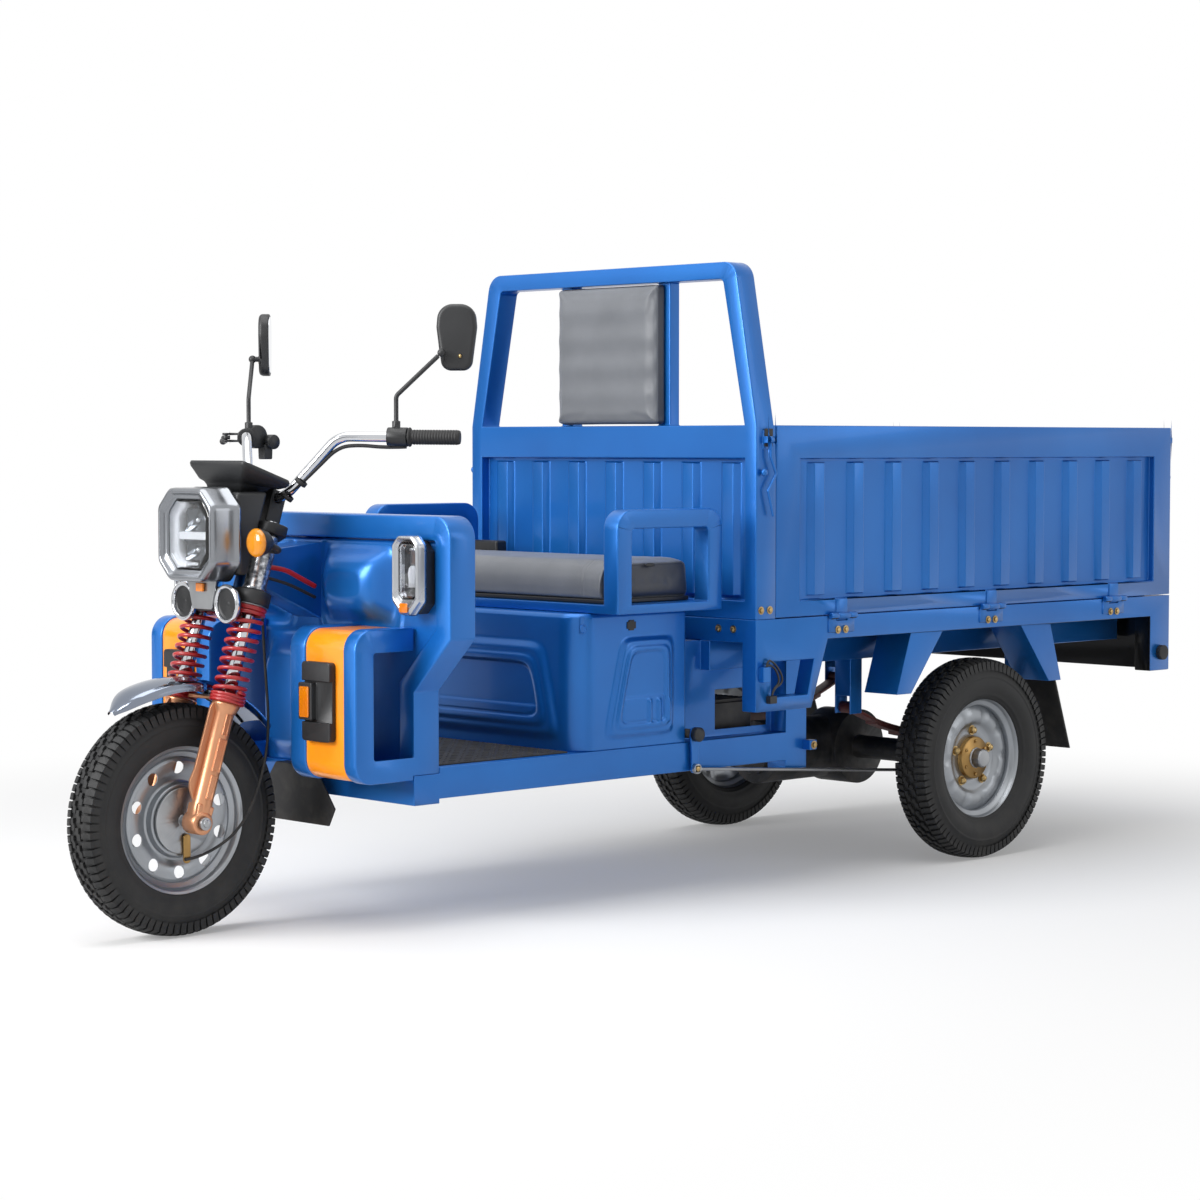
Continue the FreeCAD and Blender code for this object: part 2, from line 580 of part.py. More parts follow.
def biarc(start, start_way, end, end_way):
    """Two arcs that leave start and reach end along the given directions."""
    chord = end - start
    ways = start_way + end_way
    bend = 2 * (1 - start_way.dot(end_way))
    root = math.sqrt(chord.dot(ways) ** 2 + bend * chord.dot(chord))
    reach = (root - chord.dot(ways)) / bend
    joint = (start + end + (start_way - end_way) * reach) / 2
    joint_way = (joint - (start + start_way * reach)).normalize()
    return [Part.Arc(start, arc_middle(start, start_way, joint), joint).toShape(),
            Part.Arc(joint, arc_middle(joint, joint_way, end), end).toShape()]


def arc_middle(start, way, end):
    """The middle of the arc that leaves start along way and ends at end."""
    chord = end - start
    half_turn = way.getAngle(chord)
    side = (way * chord.Length - chord * math.cos(half_turn)).normalize()
    return start + chord / 2 + side * (chord.Length / 2 * math.tan(half_turn / 2))


def coil_spring(radius, wire, low, high, turns, quarters):
    """A coil along Z in quarter-turn biarcs. Prints its smallest gap to itself."""
    rise = (high - low) / turns
    steps = turns * quarters

    def place(step):
        angle = 2 * math.pi * step / quarters
        return Vector(radius * math.cos(angle), radius * math.sin(angle), low + rise * step / quarters)

    def way(step):
        angle = 2 * math.pi * step / quarters
        slope = rise / (2 * math.pi)
        return Vector(-radius * math.sin(angle), radius * math.cos(angle), slope).normalize()

    edges = []
    for step in range(steps):
        edges += biarc(place(step), way(step), place(step + 1), way(step + 1))
    gap = min(place(0).distanceToPoint(place(step)) for step in range(quarters - 1,
                                                                      quarters + 2)) - 2 * wire
    print(f"coil spring: {turns} turns, least gap to itself {gap:.2f} mm")
    return sweep(edges, place(0), way(0), wire)


# Chassis

CROSS_SHARES = (0, 0.27, 0.5, 0.79)


def build_chassis():
    inner_rail = d.floor_half_width - d.rail_width
    rear_frame_y = d.rail_rear_y - d.upright_depth
    under_rail_outer = UNDER_RAIL_INNER + d.under_rail_width
    under_rail_z = d.bed_rail_bottom_z - d.under_rail_height
    rail = box((inner_rail, d.floor_half_width), (along(GUARD_BACK_Y), along(d.rail_rear_y)),
               (d.rail_bottom_z, d.rail_top_z))
    upright = box((d.floor_half_width - d.upright_width, d.floor_half_width),
                  (along(rear_frame_y), along(d.rail_rear_y)), (d.upright_bottom_z, d.bed_rail_bottom_z))
    under_rail = box((UNDER_RAIL_INNER, under_rail_outer), (along(d.bed_front_y),
                                                            along(d.under_rail_rear_y)),
                     (under_rail_z, d.bed_rail_bottom_z))
    sheet = carve(
        box((inner_rail - d.side_sheet, inner_rail), (along(d.side_sheet_front_y), along(rear_frame_y)),
            (FLOOR_Z, d.bed_rail_bottom_z)),
        box((inner_rail - d.side_sheet - d.overrun, inner_rail + d.overrun),
            (along(d.side_window_front_y), along(d.side_window_rear_y)),
            (d.side_window_bottom_z, d.side_window_top_z)))
    pieces = [rail, upright, under_rail, sheet]
    middle = UNDER_RAIL_INNER + d.under_rail_width / 2
    hanger_half = d.hanger_half_width + d.hinge_leaf
    for hanger_y in (d.hanger_front_y, d.hanger_rear_y):
        pieces.append(carve(
            box((middle - hanger_half, middle + hanger_half),
                (along(hanger_y - d.hanger_depth / 2), along(hanger_y + d.hanger_depth / 2)),
                (d.leaf_eye_z - d.leaf_eye_radius, under_rail_z)),
            box((middle - d.hanger_half_width, middle + d.hanger_half_width),
                (along(hanger_y - d.hanger_depth), along(hanger_y + d.hanger_depth)),
                (d.leaf_eye_z - d.leaf_eye_radius * 2, d.leaf_eye_z + d.leaf_eye_radius * 2))))
        pieces.append(rod("x", (along(hanger_y), d.leaf_eye_z),
                          (middle - hanger_half, middle + hanger_half), d.axle_radius))
    pieces = [join(*pieces)]
    pieces.append(mirrored(pieces[0]))
    pieces.append(box(both_ways(d.floor_half_width), (along(d.guard_front_y), along(GUARD_BACK_Y)),
                      (d.beam_bottom_z, d.beam_top_z)))
    pieces.append(box(both_ways(d.floor_half_width), (along(GUARD_BACK_Y), along(d.rail_rear_y)),
                      (d.rail_top_z, FLOOR_Z)))
    for beam_y, depth in ((d.mid_beam_y, d.mid_beam_depth), (rear_frame_y, d.upright_depth)):
        pieces.append(box(both_ways(inner_rail), (along(beam_y), along(beam_y + depth)),
                          (d.rail_bottom_z, d.rail_top_z)))
    under_length = d.under_rail_rear_y - d.bed_front_y
    for share in CROSS_SHARES:
        cross_y = d.bed_front_y + under_length * share
        pieces.append(box(both_ways(under_rail_outer), (along(cross_y), along(cross_y + d.cross_depth)),
                          (d.bed_rail_bottom_z - d.cross_height, d.bed_rail_bottom_z)))
    pieces += build_neck()
    bore = head_rod(d.head_low - d.overrun, d.head_high + d.overrun, d.stem_radius + d.running_gap)
    shaft_bore = rod("x", (along(d.brake_shaft_y), d.brake_shaft_z),
                     both_ways(d.floor_half_width + d.overrun), d.brake_shaft_radius + d.running_gap)
    return carve(join(*pieces, refine=False), bore, shaft_bore, refine=False)


def head_rod(low, high, radius):
    """A cylinder on the steering axis, between two distances along the fork."""
    solid = DOCUMENT.addObject("Part::Cylinder", "head")
    bind(solid, "Radius", radius)
    bind(solid, "Height", high - low)
    y, z = fork_point(d.stem_offset, low)
    return move(solid, 0, y, z, FORK_LEAN)


def build_neck():
    neck = new_body()
    nose_low = fork_point(d.stem_offset, d.head_low + d.neck_inset)
    nose_high = fork_point(d.stem_offset, d.head_high - d.neck_inset)
    root_y = along(GUARD_BACK_Y)
    pad(neck, "YZ", [[nose_low, (root_y, d.neck_root_low_z), (root_y, d.neck_root_high_z), nose_high]],
        both_ways(d.neck_half_width))
    down_tube = box(both_ways(d.down_tube_half_width),
                    (along(GUARD_BACK_Y - d.down_tube_depth), along(GUARD_BACK_Y)),
                    (d.beam_top_z, d.guard_top_z - d.guard_top_bar))
    shaft_ear_x = d.floor_half_width - d.rail_width
    ear = box((shaft_ear_x - d.side_sheet, shaft_ear_x),
              (along(d.brake_shaft_y - d.brake_cap_radius), along(d.side_sheet_front_y)),
              (FLOOR_Z, d.brake_shaft_z + d.brake_cap_radius))
    return [neck, down_tube, head_rod(d.head_low, d.head_high, d.head_radius), ear, mirrored(ear)]


# Front guard with its two bumper pods

def guard_outline():
    low, wide = d.floor_half_width, d.guard_half_width
    left = [
        (low, d.beam_top_z), (low, d.guard_flare_low_z), (wide, d.guard_flare_high_z),
        (wide, d.guard_top_z, d.guard_corner),
    ]
    right = [(-corner[0],) + corner[1:] for corner in reversed(left)]
    return left + right


def guard_opening():
    tube, shift = d.guard_tube, d.guard_flare_shift
    low, wide = d.floor_half_width - tube, d.guard_half_width - tube
    left = [
        (low, d.beam_top_z), (low, d.guard_flare_low_z + shift), (wide, d.guard_flare_high_z + shift),
        (wide, d.guard_top_z - d.guard_top_bar, d.guard_inner_corner),
    ]
    right = [(-corner[0],) + corner[1:] for corner in reversed(left)]
    return left + right


def pod_section(outer_inset, inner_inset, inner_corner):
    """The U-shaped side view of a pod's wall, open towards the guard post."""
    back = along(d.guard_front_y)
    front = along(d.pod_front_y)
    low, high = d.pod_bottom_z, d.pod_top_z
    corner = d.pod_corner - outer_inset
    return [
        (back, low + outer_inset), (front + outer_inset, low + outer_inset, corner),
        (front + outer_inset, high - outer_inset, corner), (back, high - outer_inset),
        (back, high - inner_inset), (front + inner_inset, high - inner_inset, inner_corner),
        (front + inner_inset, low + inner_inset, inner_corner), (back, low + inner_inset),
    ]


def build_guard():
    frame = new_body()
    pad(frame, "XZ", [guard_outline() + list(reversed(guard_opening()))],
        (along(d.guard_front_y), along(GUARD_BACK_Y)))
    pod = new_body()
    outer_x = d.floor_half_width
    seat = d.trim_recess + d.trim_sheet
    wall = seat + d.pod_sheet
    wall_corner = d.pod_corner - wall
    pad(pod, "YZ", [pod_section(seat, wall, wall_corner)], (POD_INNER_X, outer_x))
    for span in ((POD_INNER_X, POD_INNER_X + d.pod_strip_inner), (outer_x - d.pod_strip_outer, outer_x)):
        pad(pod, "YZ", [pod_section(ZERO, wall, wall_corner)], span)
    for span in ((POD_INNER_X, POD_INNER_X + d.pod_side_sheet), (outer_x - d.pod_side_sheet, outer_x)):
        pad(pod, "YZ", [pod_section(ZERO, d.pod_face, d.pod_window_corner)], span)
    return join(frame, pod, mirrored(pod))


def build_trims():
    trim = new_body()
    seat = d.trim_recess + d.trim_sheet
    pad(trim, "YZ", [pod_section(d.trim_recess, seat, d.pod_corner - seat)],
        (POD_INNER_X + d.pod_strip_inner, d.floor_half_width - d.pod_strip_outer))
    return pair(trim)


def build_reflector_case():
    case = new_body()
    face = along(d.pod_front_y + d.trim_recess)
    x = ((d.floor_half_width - d.insert_inner_set_in), (d.floor_half_width - d.insert_outer_set_in))
    pad(case, "XZ", [rectangle(x, (d.insert_bottom_z, d.insert_top_z), d.insert_corner)],
        (face - d.insert_depth, face))
    slot_z = (d.insert_slot_bottom_z, d.insert_slot_top_z)
    pocket(case, "XZ", [rectangle(((d.floor_half_width - d.insert_inner_set_in) - d.overrun,
                                   (d.floor_half_width - d.insert_outer_set_in) + d.overrun), slot_z)],
           (face - d.insert_depth - d.overrun, face - d.insert_depth + d.insert_slot_depth))
    step = d.insert_frame_step
    pad(case, "XZ", [rectangle(((d.floor_half_width - d.insert_inner_set_in) - step,
                                (d.floor_half_width - d.insert_frame_outer_set_in)),
                               (slot_z[0] + step, slot_z[1] - step), step)],
        (face - d.insert_frame_depth, face - d.insert_depth + d.insert_slot_depth + d.overrun))
    return case


def build_reflector():
    reflector = new_body()
    face = along(d.pod_front_y + d.trim_recess) - d.insert_frame_depth
    pad(reflector, "XZ", [rectangle(((d.floor_half_width - d.reflector_inner_set_in),
                                     (d.floor_half_width - d.reflector_outer_set_in)),
                                    (d.reflector_bottom_z, d.reflector_top_z), d.insert_frame_step)],
        (face - d.reflector_depth, face))
    return reflector


# Front panel

def build_panel():
    panel = new_body()
    front = along(PANEL_FRONT_Y)
    pad(panel, "XZ", [guard_opening()], (front, front + d.panel_sheet))
    bulge_z = (d.panel_bulge_bottom_z, d.panel_bulge_top_z)
    for x in ((d.panel_bulge_inner_x, d.panel_bulge_outer_x), (-d.panel_bulge_outer_x,
                                                               -d.panel_bulge_inner_x)):
        pad(panel, "XZ", [rectangle(x, bulge_z, d.panel_bulge_corner)],
            (front - d.panel_bulge_depth, front), d.panel_bulge_taper)
    pad(panel, "XZ", [rectangle(both_ways(d.belly_half_width), (d.belly_bottom_z, d.belly_top_z),
                                d.belly_corner)],
        (front - d.belly_depth, front), d.belly_taper)
    pocket(panel, "XZ", [rectangle(both_ways(d.neck_half_width + d.seat_gap),
                                   (d.neck_root_low_z - d.overrun, d.guard_top_z))],
           (front - d.belly_depth - d.overrun, front + d.panel_sheet + d.overrun))
    return panel


# Side lamps

def lamp_window():
    inset = d.lamp_window_inset
    return octagon((d.lamp_x - d.lamp_half_width + inset, d.lamp_x + d.lamp_half_width - inset),
                   (d.lamp_bottom_z + d.lamp_window_bottom, d.lamp_top_z - inset),
                   d.lamp_chamfer - inset / 2)


def build_lamp_bezel():
    bezel = new_body()
    front = along(d.lamp_front_y)
    outer = octagon((d.lamp_x - d.lamp_half_width, d.lamp_x + d.lamp_half_width),
                    (d.lamp_bottom_z, d.lamp_top_z), d.lamp_chamfer)
    pad(bezel, "XZ", [outer, lamp_window()], (front, front + d.lamp_bezel_depth))
    return bezel


def build_lamp_case():
    case = new_body()
    inset = d.lamp_case_inset
    outline = octagon((d.lamp_x - d.lamp_half_width + inset, d.lamp_x + d.lamp_half_width - inset),
                      (d.lamp_bottom_z + inset,
                       d.guard_top_z - d.guard_top_bar - d.seat_gap), d.lamp_chamfer)
    pad(case, "XZ", [outline], (along(d.lamp_front_y) + d.lamp_bezel_depth, along(PANEL_FRONT_Y)))
    return case


def build_lamp_lens():
    lens = new_body()
    front = along(d.lamp_front_y) + d.lamp_lens_depth
    pad(lens, "XZ", [lamp_window()], (front, front + d.lamp_lens_sheet))
    return lens


def build_lamp_marker():
    marker = new_body()
    low = d.lamp_bottom_z + d.marker_bottom
    front = along(d.lamp_front_y)
    pad(marker, "XZ", [rectangle((d.lamp_x - d.marker_half_width, d.lamp_x + d.marker_half_width),
                                 (low, low + d.marker_height), d.marker_depth)],
        (front - d.marker_depth, front))
    return marker


# Floor mat and rubber pieces

def build_apron():
    apron = new_body()
    back = along(d.apron_y)
    left = [(d.apron_foot_half_width, d.apron_bottom_z), (d.apron_half_width, d.apron_tip_z),
            (d.apron_top_half_width, d.beam_top_z)]
    right = [(-x, z) for x, z in reversed(left)]
    pad(apron, "XZ", [left + right], (back - d.apron_sheet, back))
    flange = box(both_ways(d.apron_top_half_width), (back - d.apron_sheet, along(d.guard_front_y)),
                 (d.beam_top_z - d.apron_flange, d.beam_top_z))
    return join(apron, flange)


def build_flap():
    flap = new_body()
    top, foot, sheet = along(d.flap_top_y), along(d.flap_foot_y), d.flap_sheet
    pad(flap, "YZ", [[(top, d.fender_foot_z), (foot, d.flap_foot_z), (foot + sheet, d.flap_foot_z),
                      (top + sheet, d.fender_foot_z)]], (FENDER_INNER_X + d.flap_step,
                                                         d.bed_half_width - d.fender_outer_set_in))
    return flap


def build_rubber():
    buffer = rod("x", (along(d.buffer_y), d.buffer_z),
                 (d.bed_half_width, d.bed_half_width + d.buffer_length), d.buffer_radius)
    flap = build_flap()
    return group(build_apron(), flap, mirrored(flap), buffer, mirrored(buffer))


# Seat box, batteries and controller

def build_seat_box():
    shell = new_body()
    half = d.floor_half_width - d.seat_box_margin
    front, rear = along(d.seat_box_front_y), along(d.seat_box_rear_y)
    sheet = d.seat_box_sheet
    plan = [(-half, rear), (-half, front, d.seat_box_corner), (half, front, d.seat_box_corner),
            (half, rear)]
    pad(shell, "XY", [plan], (FLOOR_Z, d.seat_box_top_z))
    for half_low, half_high, low, high, inset, depth in front_emboss_levels():
        outline = [(-half_low, low, inset), (half_low, low, inset), (half_high, high, inset),
                   (-half_high, high, inset)]
        if depth.value > 0:
            pad(shell, "XZ", [outline], (front - depth, front), d.emboss_taper)
        else:
            pocket(shell, "XZ", [outline], (front - d.emboss_height, front - d.emboss_height - depth))
    emboss_side(shell, half)
    emboss_side(shell, -half)
    inner_corner = d.seat_box_corner - sheet
    hollow = [(-half + sheet, rear - sheet), (-half + sheet, front + sheet, inner_corner),
              (half - sheet, front + sheet, inner_corner), (half - sheet, rear - sheet)]
    pocket(shell, "XY", [hollow], (FLOOR_Z - d.overrun, d.seat_box_top_z - sheet))
    return shell


def front_emboss_levels():
    border = d.emboss_border
    raised = (d.front_emboss_low_half, d.front_emboss_high_half, d.front_emboss_bottom_z,
              d.front_emboss_top_z, d.front_emboss_corner, d.emboss_height)
    sunk = (d.front_emboss_low_half - border * d.emboss_front_share,
            d.front_emboss_high_half - border * d.emboss_front_share,
            d.front_emboss_bottom_z + border, d.front_emboss_top_z - border,
            d.front_emboss_corner - border, -d.emboss_sink)
    return raised, sunk


def emboss_side(shell, face):
    """A raised trapezoid with a sunk middle and three louvres on one side of the seat box."""
    way = 1 if face.value > 0 else -1
    front, rear = along(d.side_emboss_front_y), along(d.side_emboss_rear_y)
    low, high, border = d.side_emboss_bottom_z, d.side_emboss_top_z, d.emboss_border

    def span(inner, outer):
        return (face + inner, face + outer) if way > 0 else (face - outer, face - inner)

    raised = [(front, low, d.side_emboss_corner), (rear, low, d.side_emboss_corner),
              (rear, high, d.side_emboss_corner), (front + d.side_emboss_lean, high, d.side_emboss_corner)]
    corner = d.side_emboss_corner / 2
    sunk = [(front + border * d.emboss_side_share, low + border, corner),
            (rear - border, low + border, corner),
            (rear - border, high - border, corner),
            (front + d.side_emboss_lean + border, high - border, corner)]
    pad(shell, "YZ", [raised], span(0, d.emboss_height))
    pocket(shell, "YZ", [sunk], span(d.emboss_height - d.emboss_sink, d.emboss_height + d.overrun))
    floor = d.emboss_height - d.emboss_sink
    louvre = pad(shell, "YZ", [rectangle((along(d.louvre_first_y),
                                          along(d.louvre_first_y + d.louvre_width)),
                                         (d.louvre_bottom_z, d.louvre_top_z), d.louvre_height)],
                 span(floor, floor + d.louvre_height))
    row_of(shell, louvre, d.louvre_pitch * (d.louvre_count - 1), d.louvre_count)


def build_batteries():
    cells = []
    room = (d.floor_half_width - d.seat_box_margin - d.seat_box_sheet - d.battery_clear) * 2
    length = (room - d.battery_gap * (d.battery_columns - 1)) / d.battery_columns
    step_x = length + d.battery_gap
    step_y = d.battery_width + d.battery_gap
    for column in range(int(d.battery_columns)):
        for line in (0, 1):
            left = step_x * column - room / 2
            front = along(d.battery_front_y) + step_y * line
            cells.append(box((left, left + length), (front, front + d.battery_width),
                             (FLOOR_Z, FLOOR_Z + d.battery_height)))
    return group(*cells)


def build_controller():
    case = new_body()
    x = (d.floor_half_width - d.controller_inner_set_in, d.floor_half_width - d.controller_outer_set_in)
    y = (along(d.controller_front_y), along(d.controller_rear_y))
    top = FLOOR_Z + d.controller_height
    pad(case, "XY", [rectangle(x, y, d.controller_fin)], (FLOOR_Z, top))
    pitch = (d.controller_inner_set_in - d.controller_outer_set_in) / d.controller_fin_count
    slot_height = (top - d.controller_fin, top + d.overrun)
    slot = pocket(case, "XZ", [rectangle((x[0] + pitch / 2, x[0] + pitch), slot_height)],
                  (y[0] - d.overrun, y[1] + d.overrun))
    row_of(case, slot, pitch * (d.controller_fin_count - 1), d.controller_fin_count)
    return case


# Seat tray with arm loops, and the two cushions

def build_tray():
    tray = box(both_ways(d.tray_half_width), (along(d.tray_front_y), along(d.tray_rear_y)),
               (TRAY_BOTTOM_Z, TRAY_TOP_Z))
    loop = new_body()
    front, rear, post = along(d.tray_front_y), along(d.tray_rear_y), d.arm_post
    bar = d.arm_top_z - d.arm_bar
    outline = [
        (front, TRAY_TOP_Z), (front + post, TRAY_TOP_Z), (front + post, bar, d.arm_inner_corner),
        (rear - post, bar, d.arm_inner_corner), (rear - post, TRAY_TOP_Z), (rear, TRAY_TOP_Z),
        (rear, d.arm_top_z, d.arm_corner), (front, d.arm_top_z, d.arm_corner),
    ]
    pad(loop, "YZ", [outline], (d.tray_half_width - d.arm_width, d.tray_half_width))
    return join(tray, loop, mirrored(loop))


def arc_through(*points):
    return Part.Arc(*points).toShape()


def line_between(first, second):
    return Part.LineSegment(first, second).toShape()


def seat_section(x, draw_in):
    """The seat's side view at one station: flat base, rounded nose, crowned top, upright back."""
    front = float(along(d.cushion_front_y)) + draw_in
    rear = float(along(d.cushion_rear_y)) - draw_in / 2
    low = float(TRAY_TOP_Z + d.seat_gap)
    top = low + float(d.cushion_height) - draw_in
    nose, crown = float(d.cushion_nose), float(d.cushion_crown)
    foot = Vector(x, front + nose * float(d.cushion_foot_share), low)
    heel = Vector(x, rear, low)
    back_top = Vector(x, rear, top - crown)
    brow = Vector(x, front + nose, top - crown / 2)
    nose_middle = Vector(x, front, low + (top - low) * float(d.cushion_nose_share))
    crown_middle = Vector(x, (front + nose + rear) / 2, top)
    return Part.Wire([
        line_between(foot, heel), line_between(heel, back_top), arc_through(back_top, crown_middle, brow),
        arc_through(brow, nose_middle, foot)])


def build_seat_cushion():
    """A bench cushion whose ends are drawn in."""
    half = float(d.cushion_half_width)
    end, draw = float(d.cushion_end_round), float(d.cushion_draw_in)
    stations = ((-half, draw), (-half + end, 0), (half - end, 0), (half, draw))
    sections = [seat_section(x, draw_in) for x, draw_in in stations]
    return shape_object(Part.makeLoft(sections, True, True))


def backrest_section(z, half, sink):
    """The backrest's plan at one height: flat board side, crowned front."""
    rear = float(along(d.backrest_rear_y))
    front = float(along(d.backrest_front_y)) + sink
    edge, crown = float(d.backrest_edge), float(d.backrest_crown)
    corners = [Vector(-half, rear, z), Vector(half, rear, z), Vector(half, front + crown + edge, z),
               Vector(half - edge, front + crown, z), Vector(-half + edge, front + crown, z),
               Vector(-half, front + crown + edge, z)]
    edges = [line_between(a, b) for a, b in zip(corners[:3], corners[1:4])]
    edges.append(arc_through(corners[3], Vector(0, front, z), corners[4]))
    edges += [line_between(corners[4], corners[5]), line_between(corners[5], corners[0])]
    return Part.Wire(edges)


def build_backrest():
    """A back pad with soft horizontal channels between swelling rolls."""
    low = float(d.gate_top_z + d.seat_gap)
    high = float(d.hoop_top_z - d.hoop_tube - d.seat_gap)
    half, sink = float(d.backrest_half_width), float(d.backrest_channel)
    rolls = int(d.backrest_channels)
    edge = float(d.backrest_edge)
    height = (high - low) / rolls
    sections = [backrest_section(low, half - edge / 2, sink + edge)]
    for roll in range(rolls):
        edge_share = float(d.backrest_roll_share)
        for share, depth in ((edge_share, sink / 2), (1 / 2, 0), (1 - edge_share, sink / 2)):
            sections.append(backrest_section(low + height * (roll + share), half, depth))
        if roll < rolls - 1:
            sections.append(backrest_section(low + height * (roll + 1), half - sink / 2, sink))
    sections.append(backrest_section(high, half - edge / 2, sink + edge))
    return shape_object(Part.makeLoft(sections, True, True))


# Corrugated sheets, gates and headboard

def corrugated(body, x, z, face, ribs):
    """A sheet between two x and two z positions, with trapezoid ribs standing out towards -Y."""
    pad(body, "XZ", [rectangle(x, z)], (face, face + d.panel_thickness))
    pitch = (x[1] - x[0]) / ribs
    middle = x[0] + pitch / 2
    base, crest = d.rib_base / 2, d.rib_crest / 2
    rib = pad(body, "XY", [[(middle - base, face), (middle - crest, face - d.rib_depth),
                            (middle + crest, face - d.rib_depth), (middle + base, face)]],
              (z[0] + d.rib_end, z[1] - d.rib_end))
    row_of(body, rib, pitch * (ribs - 1), ribs)


def build_headboard():
    half, front = d.bed_half_width, along(d.bed_front_y)
    inner = half - d.post_width
    rear = front + d.post_depth
    post = box((inner, half), (front, rear), (d.bed_rail_top_z, d.gate_top_z))
    beam = box(both_ways(inner), (front, rear), (d.crossbeam_bottom_z, d.gate_top_z))
    sill = box(both_ways(inner), (front, rear), (d.bed_rail_top_z, SILL_TOP_Z))
    hoop = new_body()
    top, tube = d.hoop_top_z, d.hoop_tube
    left = [(half, d.gate_top_z), (d.hoop_half_width, top, d.hoop_corner)]
    inside = [(half - tube, d.gate_top_z), (d.hoop_half_width - tube, top - tube, d.hoop_inner_corner)]
    outline = left + [(-c[0],) + c[1:] for c in reversed(left)]
    outline += [(-c[0],) + c[1:] for c in inside] + list(reversed(inside))
    pad(hoop, "XZ", [outline], (front, front + d.hoop_depth))
    back_post = box((d.back_post_outer_x - d.back_post_width, d.back_post_outer_x),
                    (along(d.backrest_rear_y), along(d.backrest_rear_y) + d.back_post_depth),
                    (d.gate_top_z, top - tube))
    panel = new_body()
    corrugated(panel, both_ways(inner), (SILL_TOP_Z, d.crossbeam_bottom_z),
               front + d.headboard_panel_inset, d.headboard_ribs)
    latch = build_hook_plate()
    return join(post, mirrored(post), beam, sill, hoop, back_post, mirrored(back_post), panel,
                latch, mirrored(latch))


def build_hook_plate():
    """A plate with two ears and a pin on the outside of a corner post."""
    x, y, z = d.bed_half_width, along(d.hook_y), HOOK_Z
    half = d.hook_plate_half
    plate = box((x, x + d.hook_plate), (y - half, y + half),
                (z - d.hook_plate_height / 2, z + d.hook_plate_height / 2))
    pieces = [plate, rod("y", (x + d.hook_pin_offset, z), (y - half, y + half), d.hook_pin_radius)]
    for ear in (y - half, y + half - d.hook_ear):
        pieces.append(box((x, x + d.hook_pin_offset + d.hook_pin_radius), (ear, ear + d.hook_ear),
                          (z - d.hook_pin_radius * 2, z + d.hook_pin_radius * 2)))
    return join(*pieces)


def build_front_hook():
    """A bent wire hook that hangs from the corner post's pin."""
    x, y, z = float(d.bed_half_width + d.hook_pin_offset), float(along(d.hook_y)), float(HOOK_Z)
    eye = carve(rod("y", (d.bed_half_width + d.hook_pin_offset, HOOK_Z),
                    (along(d.hook_y) - d.hook_eye_length / 2, along(d.hook_y) + d.hook_eye_length / 2),
                    d.hook_eye_radius),
                rod("y", (d.bed_half_width + d.hook_pin_offset, HOOK_Z),
                    (along(d.hook_y) - d.hook_eye_length, along(d.hook_y) + d.hook_eye_length),
                    d.hook_pin_radius + d.running_gap))
    start = float(d.hook_pin_radius + d.hook_eye_radius) / 2 + float(d.running_gap)
    drop, bow, tail = float(d.hook_drop), float(d.hook_bow), float(d.hook_tail)
    upper, lower = drop * float(d.hook_upper_share), drop * float(d.hook_lower_share)
    points = [Vector(x, y, z - start), Vector(x, y, z - upper), Vector(x, y + bow, z - lower),
              Vector(x, y - bow / 2, z - drop), Vector(x, y + bow / 2, z - drop - tail)]
    wire = shape_object(bent_pipe(points, float(d.hook_bend), float(d.hook_wire_radius)))
    return join(eye, wire)


def gate_body(length, ribs, front_stile, rear_stile):
    """A framed corrugated gate: local x along it, outside at y = 0 facing -Y."""
    frame = new_body()
    low, high = GATE_BOTTOM_Z, d.gate_top_z
    x = (front_stile, length - rear_stile)
    z = (low + d.gate_bottom_rail, high - d.gate_top_rail)
    pad(frame, "XZ", [rectangle((ZERO, length), (low, high)), rectangle(x, z)], (ZERO, d.gate_thickness))
    corrugated(frame, x, z, d.gate_panel_inset, ribs)
    pieces = [frame]
    for share in HINGE_SHARES:
        middle = length * share
        half = d.hinge_centre_width / 2
        pieces.append(rod("x", (-d.hinge_offset, d.bed_rail_top_z), (middle - half, middle + half),
                          d.hinge_knuckle_radius))
        pieces.append(box((middle - half, middle + half), (-d.hinge_leaf, ZERO),
                          (d.bed_rail_top_z, d.bed_rail_top_z + d.hinge_leaf_rise)))
    bore = rod("x", (-d.hinge_offset, d.bed_rail_top_z), (ZERO - d.overrun, length + d.overrun),
               d.hinge_pin_radius + d.running_gap)
    return pieces, bore


HINGE_SHARES = (0.145, 0.508, 0.836)


def build_side_gate():
    length = d.bed_rear_y - GATE_FRONT_Y - d.gate_gap
    pieces, bore = gate_body(length, d.gate_ribs, d.gate_front_stile, d.gate_rear_stile)
    middle = d.gate_thickness / 2
    z = HOOK_Z
    half = d.hook_plate_half
    pieces.append(rod("y", (length + d.rear_hook_pin_offset, z), (middle - half, middle + half),
                      d.hook_pin_radius))
    for ear in (middle - half, middle + half - d.hook_ear):
        pieces.append(box((length, length + d.rear_hook_pin_offset + d.hook_pin_radius),
                          (ear, ear + d.hook_ear),
                          (z - d.hook_pin_radius * 2, z + d.hook_pin_radius * 2)))
    gate = carve(join(*pieces), bore)
    return move(gate, d.bed_half_width, along(GATE_FRONT_Y + d.gate_gap), 0, Rotation(Vector(0, 0, 1), 90))


def build_tailgate():
    half = d.bed_half_width - d.gate_thickness - d.gate_gap
    pieces, bore = gate_body(half * 2, d.tailgate_ribs, d.gate_rear_stile, d.gate_rear_stile)
    return move(carve(join(*pieces), bore), half, along(d.bed_rear_y), 0, Rotation(Vector(0, 0, 1), 180))


